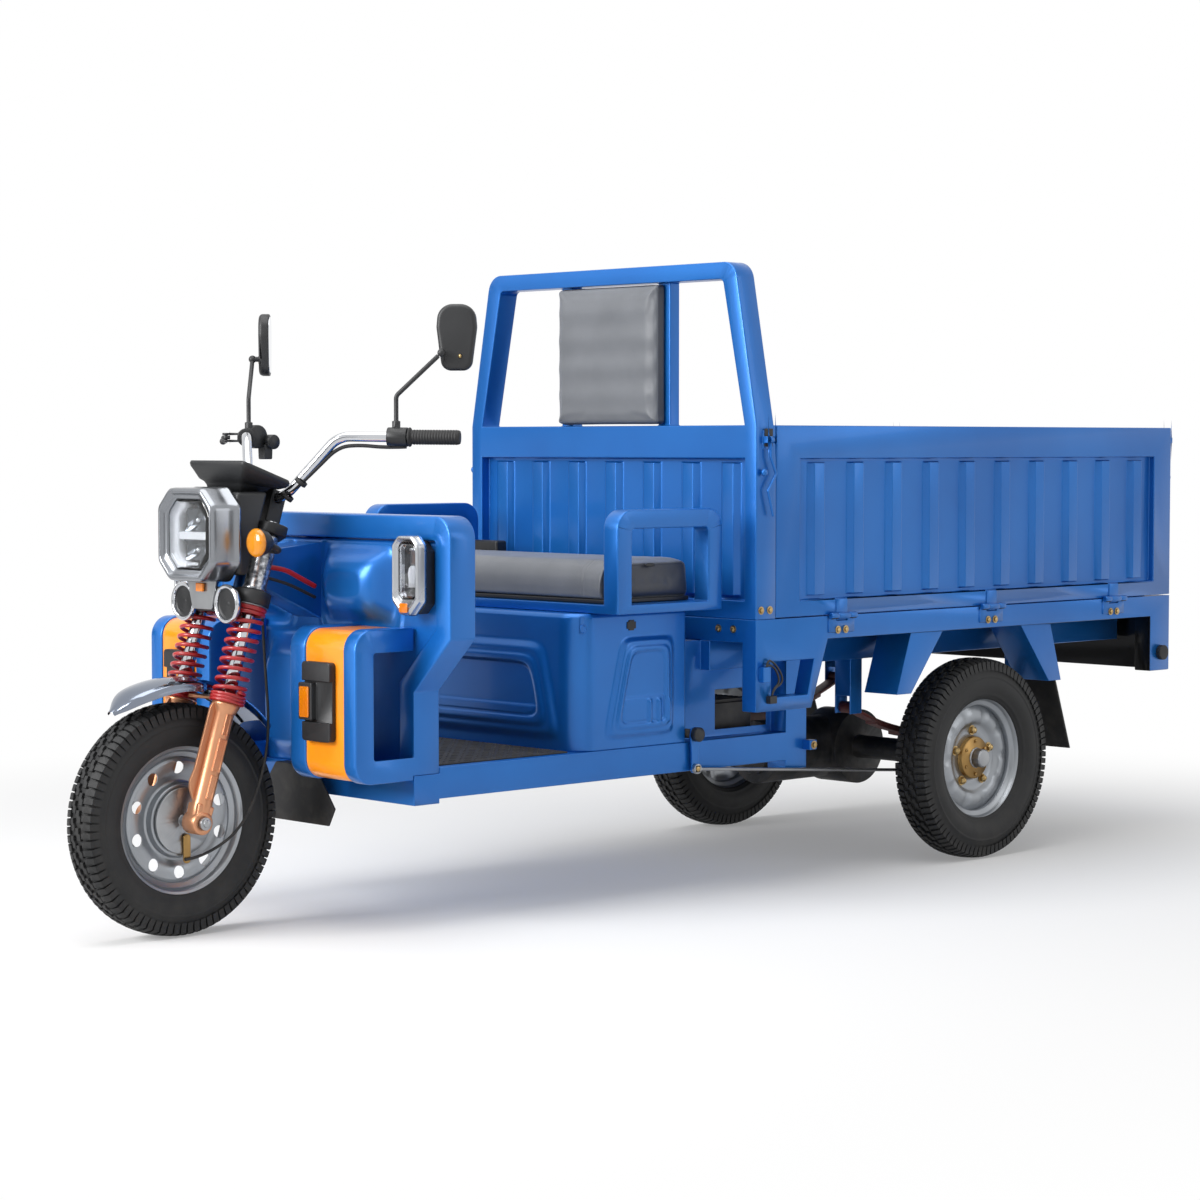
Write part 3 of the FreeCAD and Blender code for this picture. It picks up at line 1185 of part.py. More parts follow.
def build_rear_hook():
    """A slim hook that hangs from the pin on the end of a side gate."""
    x = d.bed_half_width - d.gate_thickness / 2
    y, z = along(d.bed_rear_y) + d.rear_hook_pin_offset, HOOK_Z
    half = d.hook_eye_length / 2
    eye = carve(rod("x", (y, z), (x - half, x + half), d.rear_hook_eye_radius),
                rod("x", (y, z), (x - half * 2, x + half * 2), d.hook_pin_radius + d.running_gap))
    start = float(d.hook_pin_radius + d.rear_hook_eye_radius) / 2 + float(d.running_gap)
    drop, bow, tail = float(d.rear_hook_drop), float(d.rear_hook_bow), float(d.rear_hook_tail)
    centre = Vector(float(x), float(y), float(z))
    upper, lower = drop * float(d.hook_upper_share), drop * float(d.hook_lower_share)
    points = [centre + Vector(0, 0, -start), centre + Vector(0, 0, -upper),
              centre + Vector(bow, 0, -lower), centre + Vector(-bow / 2, 0, -drop),
              centre + Vector(bow / 2, 0, -drop - tail)]
    wire = shape_object(bent_pipe(points, float(d.hook_bend), float(d.rear_hook_wire_radius)))
    return join(eye, wire)


# Bed frame with floor, steps, skirt and the fixed hinge leaves

def hinge_leaf_set(length):
    """Fixed leaves, end knuckles and pins in a gate's own frame."""
    pieces = []
    z = d.bed_rail_top_z
    for share in HINGE_SHARES:
        middle = length * share
        half, centre_half = d.hinge_width / 2, d.hinge_centre_width / 2 + d.hinge_end_gap
        leaf = (-d.hinge_leaf, ZERO)
        pieces.append(box((middle - half, middle + half), leaf, (z - d.hinge_leaf_drop,
                                                                 z - d.hinge_leaf_clear)))
        pieces.append(rod("x", (-d.hinge_offset, z), (middle - half, middle + half), d.hinge_pin_radius))
        for span in ((middle - half, middle - centre_half), (middle + centre_half, middle + half)):
            pieces.append(rod("x", (-d.hinge_offset, z), span, d.hinge_knuckle_radius))
            pieces.append(box(span, leaf, (z - d.hinge_leaf_clear, z)))
    return join(*pieces)


def build_bed_frame():
    half, front, rear = d.bed_half_width, along(d.bed_front_y), along(d.bed_rear_y)
    low, high, width = d.bed_rail_bottom_z, d.bed_rail_top_z, d.bed_rail_width
    side = box((half - width, half), (front, rear), (low, high))
    front_rail = box(both_ways(half), (front, front + d.post_depth), (low, high))
    rear_rail = box(both_ways(half), (rear - width, rear), (low, high))
    floor = box(both_ways(half - width), (front + d.post_depth, rear - width),
                (high - d.bed_floor_sheet, high + d.bed_floor_rise))
    skirt = box(both_ways(half), (rear - d.skirt_sheet, rear), (d.skirt_bottom_z, low))
    leg = box((half - d.corner_leg_depth, half), (along(d.corner_leg_front_y), rear),
              (d.skirt_bottom_z, low))
    step = new_body()
    outline = [(front, d.step_bottom_z), (along(d.step_foot_y), d.step_bottom_z),
               (along(d.step_head_y), low),
               (front, low)]
    window = [(along(d.step_window_front_y), d.step_window_bottom_z),
              (along(d.step_window_foot_y), d.step_window_bottom_z),
              (along(d.step_window_rear_y), d.step_window_top_z),
              (along(d.step_window_front_y), d.step_window_top_z)]
    pad(step, "YZ", [outline, window], (half - d.step_depth, half))
    joists = []
    for share in CROSS_SHARES[1:]:
        joist_y = along(d.bed_front_y + (d.under_rail_rear_y - d.bed_front_y) * share)
        joists.append(box(both_ways(half - width), (joist_y, joist_y + d.cross_depth),
                          (low, high - d.bed_floor_sheet)))
    side_length = d.bed_rear_y - GATE_FRONT_Y - d.gate_gap
    leaves = move(hinge_leaf_set(side_length), half, along(GATE_FRONT_Y + d.gate_gap), 0,
                  Rotation(Vector(0, 0, 1), 90))
    tail_half = half - d.gate_thickness - d.gate_gap
    tail_leaves = move(hinge_leaf_set(tail_half * 2), tail_half, rear, 0, Rotation(Vector(0, 0, 1), 180))
    return join(side, mirrored(side), front_rail, rear_rail, floor, skirt, leg, mirrored(leg), step,
                mirrored(step), leaves, mirrored(leaves), tail_leaves, *joists)


def build_tail_lamp():
    lamp = new_body()
    rear = along(d.bed_rear_y)
    pad(lamp, "XZ", [rectangle((d.bed_half_width - d.tail_lamp_inner_set_in,
                                d.bed_half_width - d.tail_lamp_outer_set_in),
                               (d.tail_lamp_bottom_z, d.tail_lamp_top_z), d.tail_lamp_corner)],
        (rear, rear + d.tail_lamp_depth))
    return lamp


def build_fender():
    """Sheet brackets before and behind a rear wheel, hollow towards the tyre."""
    low, high, sheet = d.fender_foot_z, d.bed_rail_bottom_z, d.fender_sheet
    outlines = (
        [(along(d.fender_front_foot_y), low), (along(d.fender_front_toe_y), low),
         (along(d.fender_front_arch_y), high), (along(d.fender_front_head_y), high)],
        [(along(d.fender_rear_toe_y), low), (along(d.fender_rear_heel_y), low),
         (along(d.fender_rear_head_y), high), (along(d.fender_rear_arch_y), high)],
    )
    wedges = []
    for outline in outlines:
        wedge = new_body()
        pad(wedge, "YZ", [outline], (FENDER_INNER_X, d.bed_half_width - d.fender_outer_set_in))
        (a, za), (b, zb), (c, zc), (e, ze) = outline
        hollow = [(a + sheet, za + sheet), (b - sheet, zb + sheet), (c - sheet * 2, zc - sheet),
                  (e + sheet, ze - sheet)]
        pocket(wedge, "YZ", [hollow], (FENDER_INNER_X - d.overrun,
                                       d.bed_half_width - d.fender_outer_set_in - sheet))
        wedges.append(wedge)
    return wedges


# Wheels, drawn with the wheel centre at the origin and the axle along X

def rim_outline():
    half, flange, bead = d.rim_half_width, d.rim_flange_radius, d.rim_bead_radius
    well, sheet, ramp = d.rim_well_radius, d.rim_sheet, d.rim_ramp
    lip = half - d.rim_flange
    outer = [(lip, flange), (lip, bead), (d.rim_well_half + ramp, bead), (d.rim_well_half, well)]
    inner = [(half, flange), (half, bead - sheet), (d.rim_well_half + ramp + sheet, bead - sheet),
             (d.rim_well_half + sheet, well - sheet)]
    across = [(-x, r) for x, r in reversed(outer)]
    back = [(-x, r) for x, r in inner]
    return outer + across + back + list(reversed(inner))


def tyre_outline(half, outer):
    bead, foot = d.rim_bead_radius, d.rim_half_width - d.rim_flange
    flank = bead + (outer - bead) * d.tyre_flank_share
    crown, wall = d.tyre_tread_half, d.tyre_wall
    side = [(foot, bead), (half, flank, d.tyre_flank), (crown, outer, d.tyre_shoulder)]
    inside = [(foot - wall, bead), (half - wall, flank, d.tyre_flank - wall),
              (crown - wall, outer - d.tyre_tread, d.tyre_shoulder)]
    other = [(-c[0],) + c[1:] for c in reversed(side)]
    return side + other + [(-c[0],) + c[1:] for c in inside] + list(reversed(inside))


def build_tyre(half, outer):
    tyre = new_body()
    turned(tyre, tyre_outline(half, outer))
    return tyre


def build_front_rim():
    rim = new_body()
    turned(rim, rim_outline())
    disc, sheet, hub = d.front_disc_x, d.disc_sheet, d.front_hub_half
    bore = d.axle_radius + d.running_gap
    turned(rim, [(-hub, bore), (hub, bore), (hub, d.front_hub_radius), (disc + sheet, d.front_hub_radius),
                 (disc + sheet, d.rim_well_radius - sheet / 2), (disc, d.rim_well_radius - sheet / 2),
                 (disc, d.front_hub_radius), (-hub, d.front_hub_radius)])
    return pierce(rim, d.front_hole_circle, d.front_hole_radius, d.front_hole_count,
                  (disc - d.overrun, disc + sheet + d.overrun))


def pierce(body, circle, radius, count, span):
    """Round holes through the wheel disc."""
    sketch = sketch_on(body, "YZ", span[1])
    draw_circle(sketch, ZERO, circle, radius)
    hole = feature(body, "Pocket", sketch)
    bind(hole, "Length", span[1] - span[0])
    ring_of(body, hole, count)
    return body


def build_rear_rim():
    rim = new_body()
    turned(rim, rim_outline())
    disc, sheet = d.rear_disc_x, d.disc_sheet
    bore = d.stub_radius + d.running_gap
    bore_end = d.stub_overhang + d.hub_end_gap
    inner, outer, cap = -d.rear_hub_inner, d.rear_hub_outer, d.rear_hub_outer + d.rear_cap_length
    turned(rim, [(inner, bore), (bore_end, bore), (bore_end, ZERO), (cap, ZERO), (cap, d.rear_cap_radius),
                 (outer, d.rear_cap_radius),
                 (outer, d.rear_hub_radius), (disc + sheet, d.rear_hub_radius),
                 (disc + sheet, d.rim_well_radius - sheet / 2), (disc, d.rim_well_radius - sheet / 2),
                 (disc, d.rear_hub_radius), (inner, d.rear_hub_radius)])
    return rim


def place_front_wheel(piece):
    return move(piece, 0, FRONT_AXLE, d.front_wheel_radius)


def place_rear_wheel(piece):
    return move(piece, HALF_TRACK, along(d.wheelbase), d.rear_wheel_radius)


# Fork, drawn upright with the axle at the origin

def build_yokes():
    plates = new_body()
    half, corner = d.yoke_half_width, d.yoke_corner
    front, rear = -d.yoke_front, d.stem_offset + d.yoke_rear
    outline = [(-half, front, corner), (half, front, corner), (half, d.yoke_front, corner),
               (d.yoke_rear, rear, corner), (-d.yoke_rear, rear, corner), (-half, d.yoke_front, corner)]
    pad(plates, "XY", [outline], (d.lower_yoke_low, d.lower_yoke_high))
    upper = new_body()
    pad(upper, "XY", [outline], (d.upper_yoke_low, d.upper_yoke_high))
    stem = rod("z", (ZERO, d.stem_offset), (d.lower_yoke_low, d.upper_yoke_high), d.stem_radius)
    bar_back, bar_up = bar_on_fork()
    riser = box(both_ways(d.riser_half_width), (bar_back - d.riser_half_depth,
                                                bar_back + d.riser_half_depth),
                (d.upper_yoke_high, bar_up + d.riser_over_bar))
    tubes = []
    for x in both_ways(d.fork_half_spacing):
        tubes.append(rod("z", (x, ZERO), (d.lower_yoke_low - d.overrun, d.lower_yoke_high + d.overrun),
                         d.stanchion_radius))
        tubes.append(rod("z", (x, ZERO), (d.upper_yoke_low - d.overrun, d.upper_yoke_high + d.overrun),
                         d.stanchion_radius))
    bar = rod("x", (bar_back, bar_up), both_ways(d.bar_centre_half), d.bar_radius)
    return move_on_fork(carve(join(plates, upper, stem, riser), bar, *tubes))


def bar_on_fork():
    """The middle of the handlebar in the fork's frame: square to it and along it."""
    y, z = d.bar_centre_y, d.bar_centre_z - d.front_wheel_radius
    return y * COS_RAKE - z * SIN_RAKE, y * SIN_RAKE + z * COS_RAKE


def build_fork_tubes():
    x, zero = d.fork_half_spacing, ZERO
    tube = rod("z", (x, zero), (d.stanchion_low, d.stanchion_high), d.stanchion_radius)
    cover = rod("z", (x, zero), (d.cover_low, d.cover_high), d.cover_radius)
    collar = rod("z", (x, zero), (d.spring_high, d.spring_high + d.collar_height), d.collar_radius)
    leg = join(tube, cover, collar)
    return move_on_fork(group(leg, mirrored(leg)))


def build_springs():
    wire = float(d.spring_wire_radius)
    low, high = float(d.spring_low) + wire, float(d.spring_high) - wire
    shape = coil_spring(float(d.spring_radius), wire, low, high, int(d.spring_turns),
                        int(d.spring_quarters))
    left = shape_object(shape)
    move(left, d.fork_half_spacing)
    return move_on_fork(group(left, mirrored(left)))


def build_legs():
    leg = new_body()
    x, half = d.fork_half_spacing, d.leg_width / 2
    deep = d.leg_depth / 2
    outer = (x - half, x + half)
    pad(leg, "XY", [rectangle(outer, both_ways(deep), d.leg_corner)], (d.leg_low, d.leg_high))
    step = d.leg_panel_height + d.leg_panel_gap
    for index in (0, 1, 2):
        low = d.leg_panel_low + step * index
        pocket(leg, "YZ", [rectangle(both_ways(d.leg_panel_width / 2), (low, low + d.leg_panel_height),
                                     d.leg_panel_depth)],
               (outer[1] - d.leg_panel_depth, outer[1] + d.overrun))
    lug = rod("x", (ZERO, ZERO), outer, d.leg_lug_radius)
    collar = rod("z", (x, ZERO), (d.leg_high, d.spring_low), d.collar_radius)
    bore = rod("z", (x, ZERO), (d.stanchion_low - d.axle_reach / 2, d.spring_low + d.overrun),
               d.stanchion_radius + d.running_gap)
    axle_bore = rod("x", (ZERO, ZERO), (outer[0] - d.overrun, outer[1] + d.overrun), d.axle_radius)
    return move_on_fork(pair(carve(join(leg, lug, collar), bore, axle_bore)))


def build_front_axle():
    zero = ZERO
    axle = rod("x", (zero, zero), both_ways(d.axle_reach), d.axle_radius)
    nut_x = d.fork_half_spacing + d.leg_width / 2
    nut = rod("x", (zero, zero), (nut_x, nut_x + d.axle_nut_length), d.axle_nut_radius)
    inner = d.fork_half_spacing - d.leg_width / 2
    plate = rod("x", (zero, zero), (d.brake_plate_x, d.brake_plate_x + d.brake_plate_sheet),
                d.brake_plate_radius)
    spacer = rod("x", (zero, zero), (d.brake_plate_x, inner), d.axle_nut_radius)
    far_spacer = rod("x", (zero, zero), (-inner, -d.front_hub_half - d.running_gap), d.axle_nut_radius)
    pivot = carve(
        join(axle, nut, mirrored(nut), plate, spacer, far_spacer),
        rod("x", (d.brake_pivot_back, -d.brake_pivot_drop),
            (d.brake_plate_x - d.overrun, d.brake_plate_x + d.brake_plate_sheet + d.overrun),
            d.front_arm_pin_radius + d.running_gap))
    return move(pivot, 0, FRONT_AXLE, d.front_wheel_radius)


def build_front_brake_arm():
    """A short lever on the brake plate, hanging down to its cable."""
    arm = new_body()
    back, drop, half = d.brake_pivot_back, -d.brake_pivot_drop, d.front_arm_half
    length = d.front_arm_length
    outline = [(back - half, drop - length, half * d.arm_round_share),
               (back + half, drop - length, half * d.arm_round_share),
               (back + half, drop + half, half * d.arm_round_share), (back - half, drop + half,
                                                                      half * d.arm_round_share)]
    face = d.brake_plate_x + d.brake_plate_sheet + d.running_gap
    pad(arm, "YZ", [outline], (face, face + d.front_arm_sheet))
    pin = rod("x", (back, drop), (d.brake_plate_x, face + d.front_arm_sheet), d.front_arm_pin_radius)
    return move(join(arm, pin), 0, FRONT_AXLE, d.front_wheel_radius)


def cable_points():
    """The cable's route: along the brake arm, round behind the wheel and up to the lower yoke."""
    near = d.brake_plate_x + d.brake_plate_sheet + d.front_arm_sheet + d.running_gap * 2 + d.cable_radius
    tip = d.front_wheel_radius - d.brake_pivot_drop - d.front_arm_length + d.front_arm_half
    top_y, top_z = fork_point(d.cable_top_back, d.cable_top_up)
    return [vector(near, d.brake_pivot_back - d.front_arm_half, tip), vector(near, d.cable_low_y, tip),
            vector(d.cable_x, d.cable_elbow_y, d.cable_elbow_z), vector(d.cable_x, d.cable_back_y,
                                                                        d.cable_back_z),
            vector(d.cable_x, d.cable_high_y, d.cable_high_z), Vector(float(d.cable_x), float(top_y),
                                                                      float(top_z))]


def build_brake_cable():
    """The front brake's cable, held by the brake arm and the lower yoke. Prints how sharply it bends."""
    points = cable_points()
    edges = []
    start = points[0]
    length = 0
    radii = []
    for before, corner, after in zip(points, points[1:], points[2:]):
        run = min(before.distanceToPoint(corner), corner.distanceToPoint(after))
        turn = (corner - before).getAngle(after - corner)
        radius = float(d.cable_bend_share) * run / math.tan(turn / 2)
        enter, middle, leave = round_corner(before, corner, after, radius)
        edges.append(line_between(start, enter))
        edges.append(arc_through(enter, middle, leave))
        length += start.distanceToPoint(enter) + radius * turn
        radii.append(round(radius))
        start = leave
    edges.append(line_between(start, points[-1]))
    length += start.distanceToPoint(points[-1])
    shape = sweep(edges, points[0], points[1] - points[0], float(d.cable_radius))
    share = shape.Volume / (math.pi * float(d.cable_radius) ** 2 * length)
    print(f"brake cable: bend radii {radii} mm, volume is {share:.4f} of section times length")
    return shape_object(shape)


def build_front_fender():
    fender = new_body()
    half, outer, sheet = d.front_fender_half_width, d.front_fender_radius, d.front_fender_sheet
    shoulder = outer - d.front_fender_crown
    lip = shoulder - d.front_fender_lip
    turned(fender, [
        (half, lip), (half, shoulder), (half / 2, outer), (-half / 2, outer), (-half, shoulder), (-half,
                                                                                                  lip),
        (-half + sheet, lip), (-half + sheet, shoulder - sheet / 2), (-half / 2, outer - sheet),
        (half / 2, outer - sheet), (half - sheet, shoulder - sheet / 2), (half - sheet, lip)],
        angle=d.front_fender_sweep)
    move(fender, 0, FRONT_AXLE, d.front_wheel_radius, Rotation(Vector(1, 0, 0), d.front_fender_start.value))
    notch = rod("z", (d.fork_half_spacing, ZERO), (d.leg_low, d.spring_high),
                d.collar_radius + d.fender_notch)
    notches = move_on_fork(group(notch, mirrored(notch)))
    reach = d.fork_half_spacing - d.leg_width / 2
    depth = both_ways(d.bridge_half_depth)
    strap = box(both_ways(reach), depth, (d.bridge_low, d.leg_high))
    block = box(both_ways(half / 2), depth, (d.bridge_low, outer - sheet / 2))
    return join(carve(fender, notches), move_on_fork(join(strap, block)))


# Handlebar and what is clamped to it

def vector(x, y, z):
    return Vector(float(x), float(along(y)), float(z))


def bar_points():
    return (vector(d.bar_centre_half, d.bar_centre_y, d.bar_centre_z),
            vector(d.bar_bend_x, d.bar_bend_y, d.bar_bend_z), vector(d.bar_end_x, d.bar_end_y, d.bar_end_z))


def across(point):
    return Vector(-point.x, point.y, point.z)


def build_handlebar():
    low, bend, end = bar_points()
    points = [across(end), across(bend), across(low), low, bend, end]
    return shape_object(bent_pipe(points, float(d.bar_bend_radius), float(d.bar_radius)))


def bar_place(distance):
    """A point on the left grip's run, measured back from the bar's end."""
    low, bend, end = bar_points()
    return end + (bend - end).normalize() * float(distance)


def build_grip(bore):
    outer = bar_place(-d.grip_flange)
    inner = bar_place(d.grip_length)
    flange = bar_place(d.grip_length - d.grip_flange)
    body = carve(join(rod_between(outer, inner, d.grip_radius),
                      rod_between(flange, inner, d.grip_flange_radius)),
                 rod_between(bar_place(-d.running_gap), bar_place(d.grip_length + d.overrun), bore))
    return body


def build_left_controls():
    """Switch housing, lever perch and mirror stem."""
    housing = rod_between(bar_place(d.grip_length + d.switch_gap),
                          bar_place(d.grip_length + d.switch_gap + d.switch_length), d.switch_radius)
    base = vector(d.stem_base_x, d.stem_base_y, d.bar_end_z)
    elbow = vector(d.stem_base_x, d.stem_base_y, d.stem_elbow_z)
    end = vector(d.stem_ball_x, d.stem_ball_y, d.stem_ball_z)
    boss_top = base + Vector(0, 0, float(d.stem_boss_height))
    boss = rod_between(base, boss_top, d.stem_boss_radius)
    reach = end - (end - elbow).normalize() * float(d.stem_ball_radius + d.running_gap)
    stem = shape_object(bent_pipe([base, elbow, reach], float(d.stem_bend), float(d.stem_wire_radius)))
    return housing, [boss, stem]


def bar_bore():
    return rod_between(bar_place(0), bar_place(d.grip_length + d.switch_length * 2), d.bar_radius)


def button_axis():
    """Centre of the horn button's mouth on the left housing, and the way it faces."""
    low, bend, end = bar_points()
    way = (end - bend).normalize()
    face = Vector(-way.y, way.x, 0).normalize()
    middle = bar_place(d.grip_length + d.switch_gap + d.switch_length / 2)
    return middle + face * float(d.switch_radius), face


def build_controls():
    housing, fittings = build_left_controls()
    mouth, face = button_axis()
    well = rod_between(mouth - face * float(d.button_well),
                       mouth + face * float(d.overrun), d.button_radius + d.running_gap)
    left = carve(join(housing, *fittings), bar_bore(), well)
    plain, right_fittings = build_left_controls()
    left_perch, pin = lever_perch()
    right = carve(join(plain, left_perch, pin, *right_fittings), bar_bore())
    return group(left, mirrored(right))


def build_horn_button():
    mouth, face = button_axis()
    inner = mouth - face * float(d.button_length - d.button_proud)
    return rod_between(inner, mouth + face * float(d.button_proud), d.button_radius)


def lever_frame():
    """The brake lever's pivot, drawn on the left: its place, the way along the bar and the way ahead."""
    low, bend, end = bar_points()
    way = (end - bend).normalize()
    ahead = Vector(way.y, -way.x, 0).normalize()
    middle = bar_place(d.grip_length + d.switch_gap + d.switch_length * d.perch_along_share)
    return middle + ahead * float(d.lever_stand_off), way, ahead


def lever_perch():
    pivot, way, ahead = lever_frame()
    root = pivot - ahead * float(d.lever_stand_off)
    up = Vector(0, 0, float(d.lever_eye_height) / 2 + float(d.lever_gap))
    thick = Vector(0, 0, float(d.lever_radius))
    plates = [rod_between(pivot + up, pivot + up + thick, d.lever_eye_radius),
              rod_between(pivot - up - thick, pivot - up, d.lever_eye_radius)]
    arms = []
    for level in (up + thick / 2, -up - thick / 2):
        arms.append(rod_between(root + level,
                                pivot + level - ahead * float(d.lever_eye_radius * d.perch_root_share),
                                d.lever_radius / 2))
    pin = rod_between(pivot - up - thick, pivot + up + thick, d.lever_pin_radius)
    return join(*plates, *arms), pin


def build_brake_lever():
    """A curved lever with a ball end, in front of the right grip."""
    pivot, way, ahead = lever_frame()
    half = Vector(0, 0, float(d.lever_eye_height) / 2)
    eye = rod_between(pivot - half, pivot + half, d.lever_eye_radius)
    reach = float(d.grip_length) * float(d.lever_reach_share)
    drop = Vector(0, 0, -float(d.lever_drop))
    side = ahead * float(d.lever_ball_radius)
    rise, dip = float(d.lever_rise_share), float(d.lever_dip_share)
    points = [pivot, pivot + way * reach * rise + side, pivot + way * reach * dip + drop,
              pivot + way * reach + drop + side]
    wire = shape_object(bent_pipe(points, float(d.lever_stand_off), float(d.lever_radius)))
    tip = points[-1]
    knob = ball(Size(repr(tip.x), tip.x), Size(repr(tip.y), tip.y), Size(repr(tip.z), tip.z),
                d.lever_ball_radius)
    lever = carve(join(eye, wire, knob), rod_between(pivot - half * 2, pivot + half * 2,
                                                     d.lever_pin_radius + d.running_gap))
    return mirrored(lever)


def build_mirror():
    """A rounded mirror head on the stem's ball, toed in towards the rider."""
    head = new_body()
    half, tall, foot = d.mirror_half_width, d.mirror_half_height, d.mirror_half_width * d.mirror_foot_share
    corner = d.mirror_corner
    brow, waist = half * d.mirror_brow_share, tall * d.mirror_waist_share
    outline = [(-foot, -tall, d.mirror_foot_corner), (foot, -tall, d.mirror_foot_corner),
               (half, waist, corner), (brow, tall, corner), (-brow, tall, corner), (-half, waist, corner)]
    slab = pad(head, "XZ", [outline], (-d.mirror_depth, ZERO))
    DOCUMENT.recompute()
    back = min(slab.Shape.Faces, key=lambda face: face.CenterOfMass.y)
    names = [f"Edge{index + 1}" for index, edge in enumerate(slab.Shape.Edges)
             if any(edge.isSame(other) for other in back.Edges)]
    fillet = head.newObject("PartDesign::Fillet", "fillet")
    fillet.Base = (slab, names)
    bind(fillet, "Radius", d.mirror_back_round)
    turn = Rotation(Vector(0, 0, 1), d.mirror_toe_in.value)
    centre = vector(d.stem_ball_x, d.stem_ball_y, d.stem_ball_z)
    offset = Vector(float(d.mirror_shift), float(d.mirror_stand_off + d.mirror_depth), float(d.mirror_rise))
    head.Placement = Placement(centre + turn.multVec(offset), turn)
    neck = rod_between(centre, centre + turn.multVec(Vector(0,
                                                            float(d.mirror_stand_off
                                                                  + d.mirror_neck_radius), 0)),
                       d.mirror_neck_radius)
    knob = ball(d.stem_ball_x, along(d.stem_ball_y), d.stem_ball_z, d.stem_ball_radius)
    return join(head, neck, knob)


# Headlamp, dashboard, indicators and horns

def headlamp_window():
    inset = d.headlamp_window_inset
    half = d.headlamp_half_width - inset
    return octagon(both_ways(half), (d.headlamp_bottom_z + inset, d.headlamp_top_z - inset),
                   d.headlamp_chamfer - inset / 2)


def build_headlamp_bezel():
    bezel = new_body()
    front = along(d.headlamp_front_y)
    outer = octagon(both_ways(d.headlamp_half_width), (d.headlamp_bottom_z, d.headlamp_top_z),
                    d.headlamp_chamfer)
    pad(bezel, "XZ", [outer, headlamp_window()], (front, front + d.headlamp_bezel_depth))
    return bezel


def build_headlamp_lens():
    lens = new_body()
    front = along(d.headlamp_front_y) + d.headlamp_lens_depth
    pad(lens, "XZ", [headlamp_window()], (front, front + d.headlamp_lens_sheet))
    return lens


def build_headlamp_case():
    """The black case behind the bezel. Its sloped back lies on the yokes."""
    case = new_body()
    front = along(d.headlamp_front_y) + d.headlamp_bezel_depth
    low, high = d.headlamp_bottom_z + d.headlamp_foot_lift, d.headlamp_top_z - d.headlamp_case_inset

    def back(z):
        return FRONT_AXLE + (z - d.front_wheel_radius) * SIN_RAKE / COS_RAKE - (d.yoke_front
                                                                                + d.seat_gap) / COS_RAKE

    half = d.headlamp_half_width - d.headlamp_case_inset
    pad(case, "YZ", [[(front, low), (back(low), low), (back(high), high), (front, high)]], both_ways(half))
    return case


def build_dashboard():
    dash = new_body()
    low = d.headlamp_top_z - d.headlamp_case_inset
    front, chin, rear = along(d.dash_front_y), along(d.dash_chin_y), along(d.dash_rear_y)
    outline = [(chin, low), (along(d.bar_centre_y) - d.bar_radius * 5, low),
               (rear, d.dash_rear_z - d.dash_hood),
               (rear, d.dash_rear_z), (front + d.dash_hood * 2, d.dash_top_z, d.dash_corner), (front,
                                                                                               d.dash_top_z),
               (front, d.dash_top_z - d.dash_hood)]
    pad(dash, "YZ", [outline], both_ways(d.dash_half_width))
    return dash


def on_fork_forward(piece, x, forward, up):
    """Place a piece that is drawn about Y, facing -Y, in front of the fork."""
    y, z = fork_point(-forward, up)
    return move(piece, x, y, z)


def build_indicator():
    case = new_body()
    radius, length, lens = d.indicator_radius, d.indicator_length, d.indicator_lens_length
    turned(case, [(ZERO, ZERO), (radius, ZERO), (radius * d.indicator_waist_share,
                                                 length * d.indicator_waist_length_share),
                  (radius * d.indicator_tail_share, length),
                  (ZERO, length)], axis="V_Axis")
    on_fork_forward(case, d.indicator_x, d.indicator_forward, d.indicator_up)
    y, z = fork_point(-d.indicator_forward, d.indicator_up)
    tube_y, tube_z = fork_point(ZERO, d.indicator_up)
    start = Vector(float(d.indicator_x), float(y + length * d.indicator_root_share), float(z))
    side = float(d.fork_half_spacing + d.cover_radius + d.seat_gap)
    end = Vector(side, float(tube_y), float(tube_z))
    stalk = shape_object(bent_pipe(
        [start, Vector(start.x, end.y, end.z), end],
        float(d.indicator_stalk_bend), float(d.indicator_stalk_radius)))
    glass = new_body()
    turned(glass, [(ZERO, -lens), (radius, -lens, d.indicator_lens_round), (radius, ZERO), (ZERO, ZERO)],
           axis="V_Axis")
    on_fork_forward(glass, d.indicator_x, d.indicator_forward, d.indicator_up)
    return join(case, stalk), glass


def build_horn():
    """A dish horn on a bent tab from the lower yoke."""
    dish = new_body()
    radius, length, mouth = d.horn_radius, d.horn_length, d.horn_mouth_radius
    turned(dish, [(ZERO, d.horn_mouth_depth), (mouth, d.horn_mouth_depth), (mouth, ZERO), (radius, ZERO),
                  (radius, length * d.horn_rim_share), (d.horn_neck_radius, length), (ZERO,
                                                                                      length)], axis="V_Axis")
    on_fork_forward(dish, d.horn_x, d.horn_forward, d.horn_up)
    x = (d.horn_x - d.horn_tab_half, d.horn_x + d.horn_tab_half)
    front = -d.horn_tab_front
    plate = box(x, (front, front + d.horn_tab_sheet), (d.horn_up, d.horn_tab_top))
    tab = box(x, (front, -d.yoke_front - d.seat_gap), (d.horn_tab_top - d.horn_tab_height, d.horn_tab_top))
    return join(dish, move_on_fork(join(plate, tab)))


# Rear axle, leaf springs and brake linkage

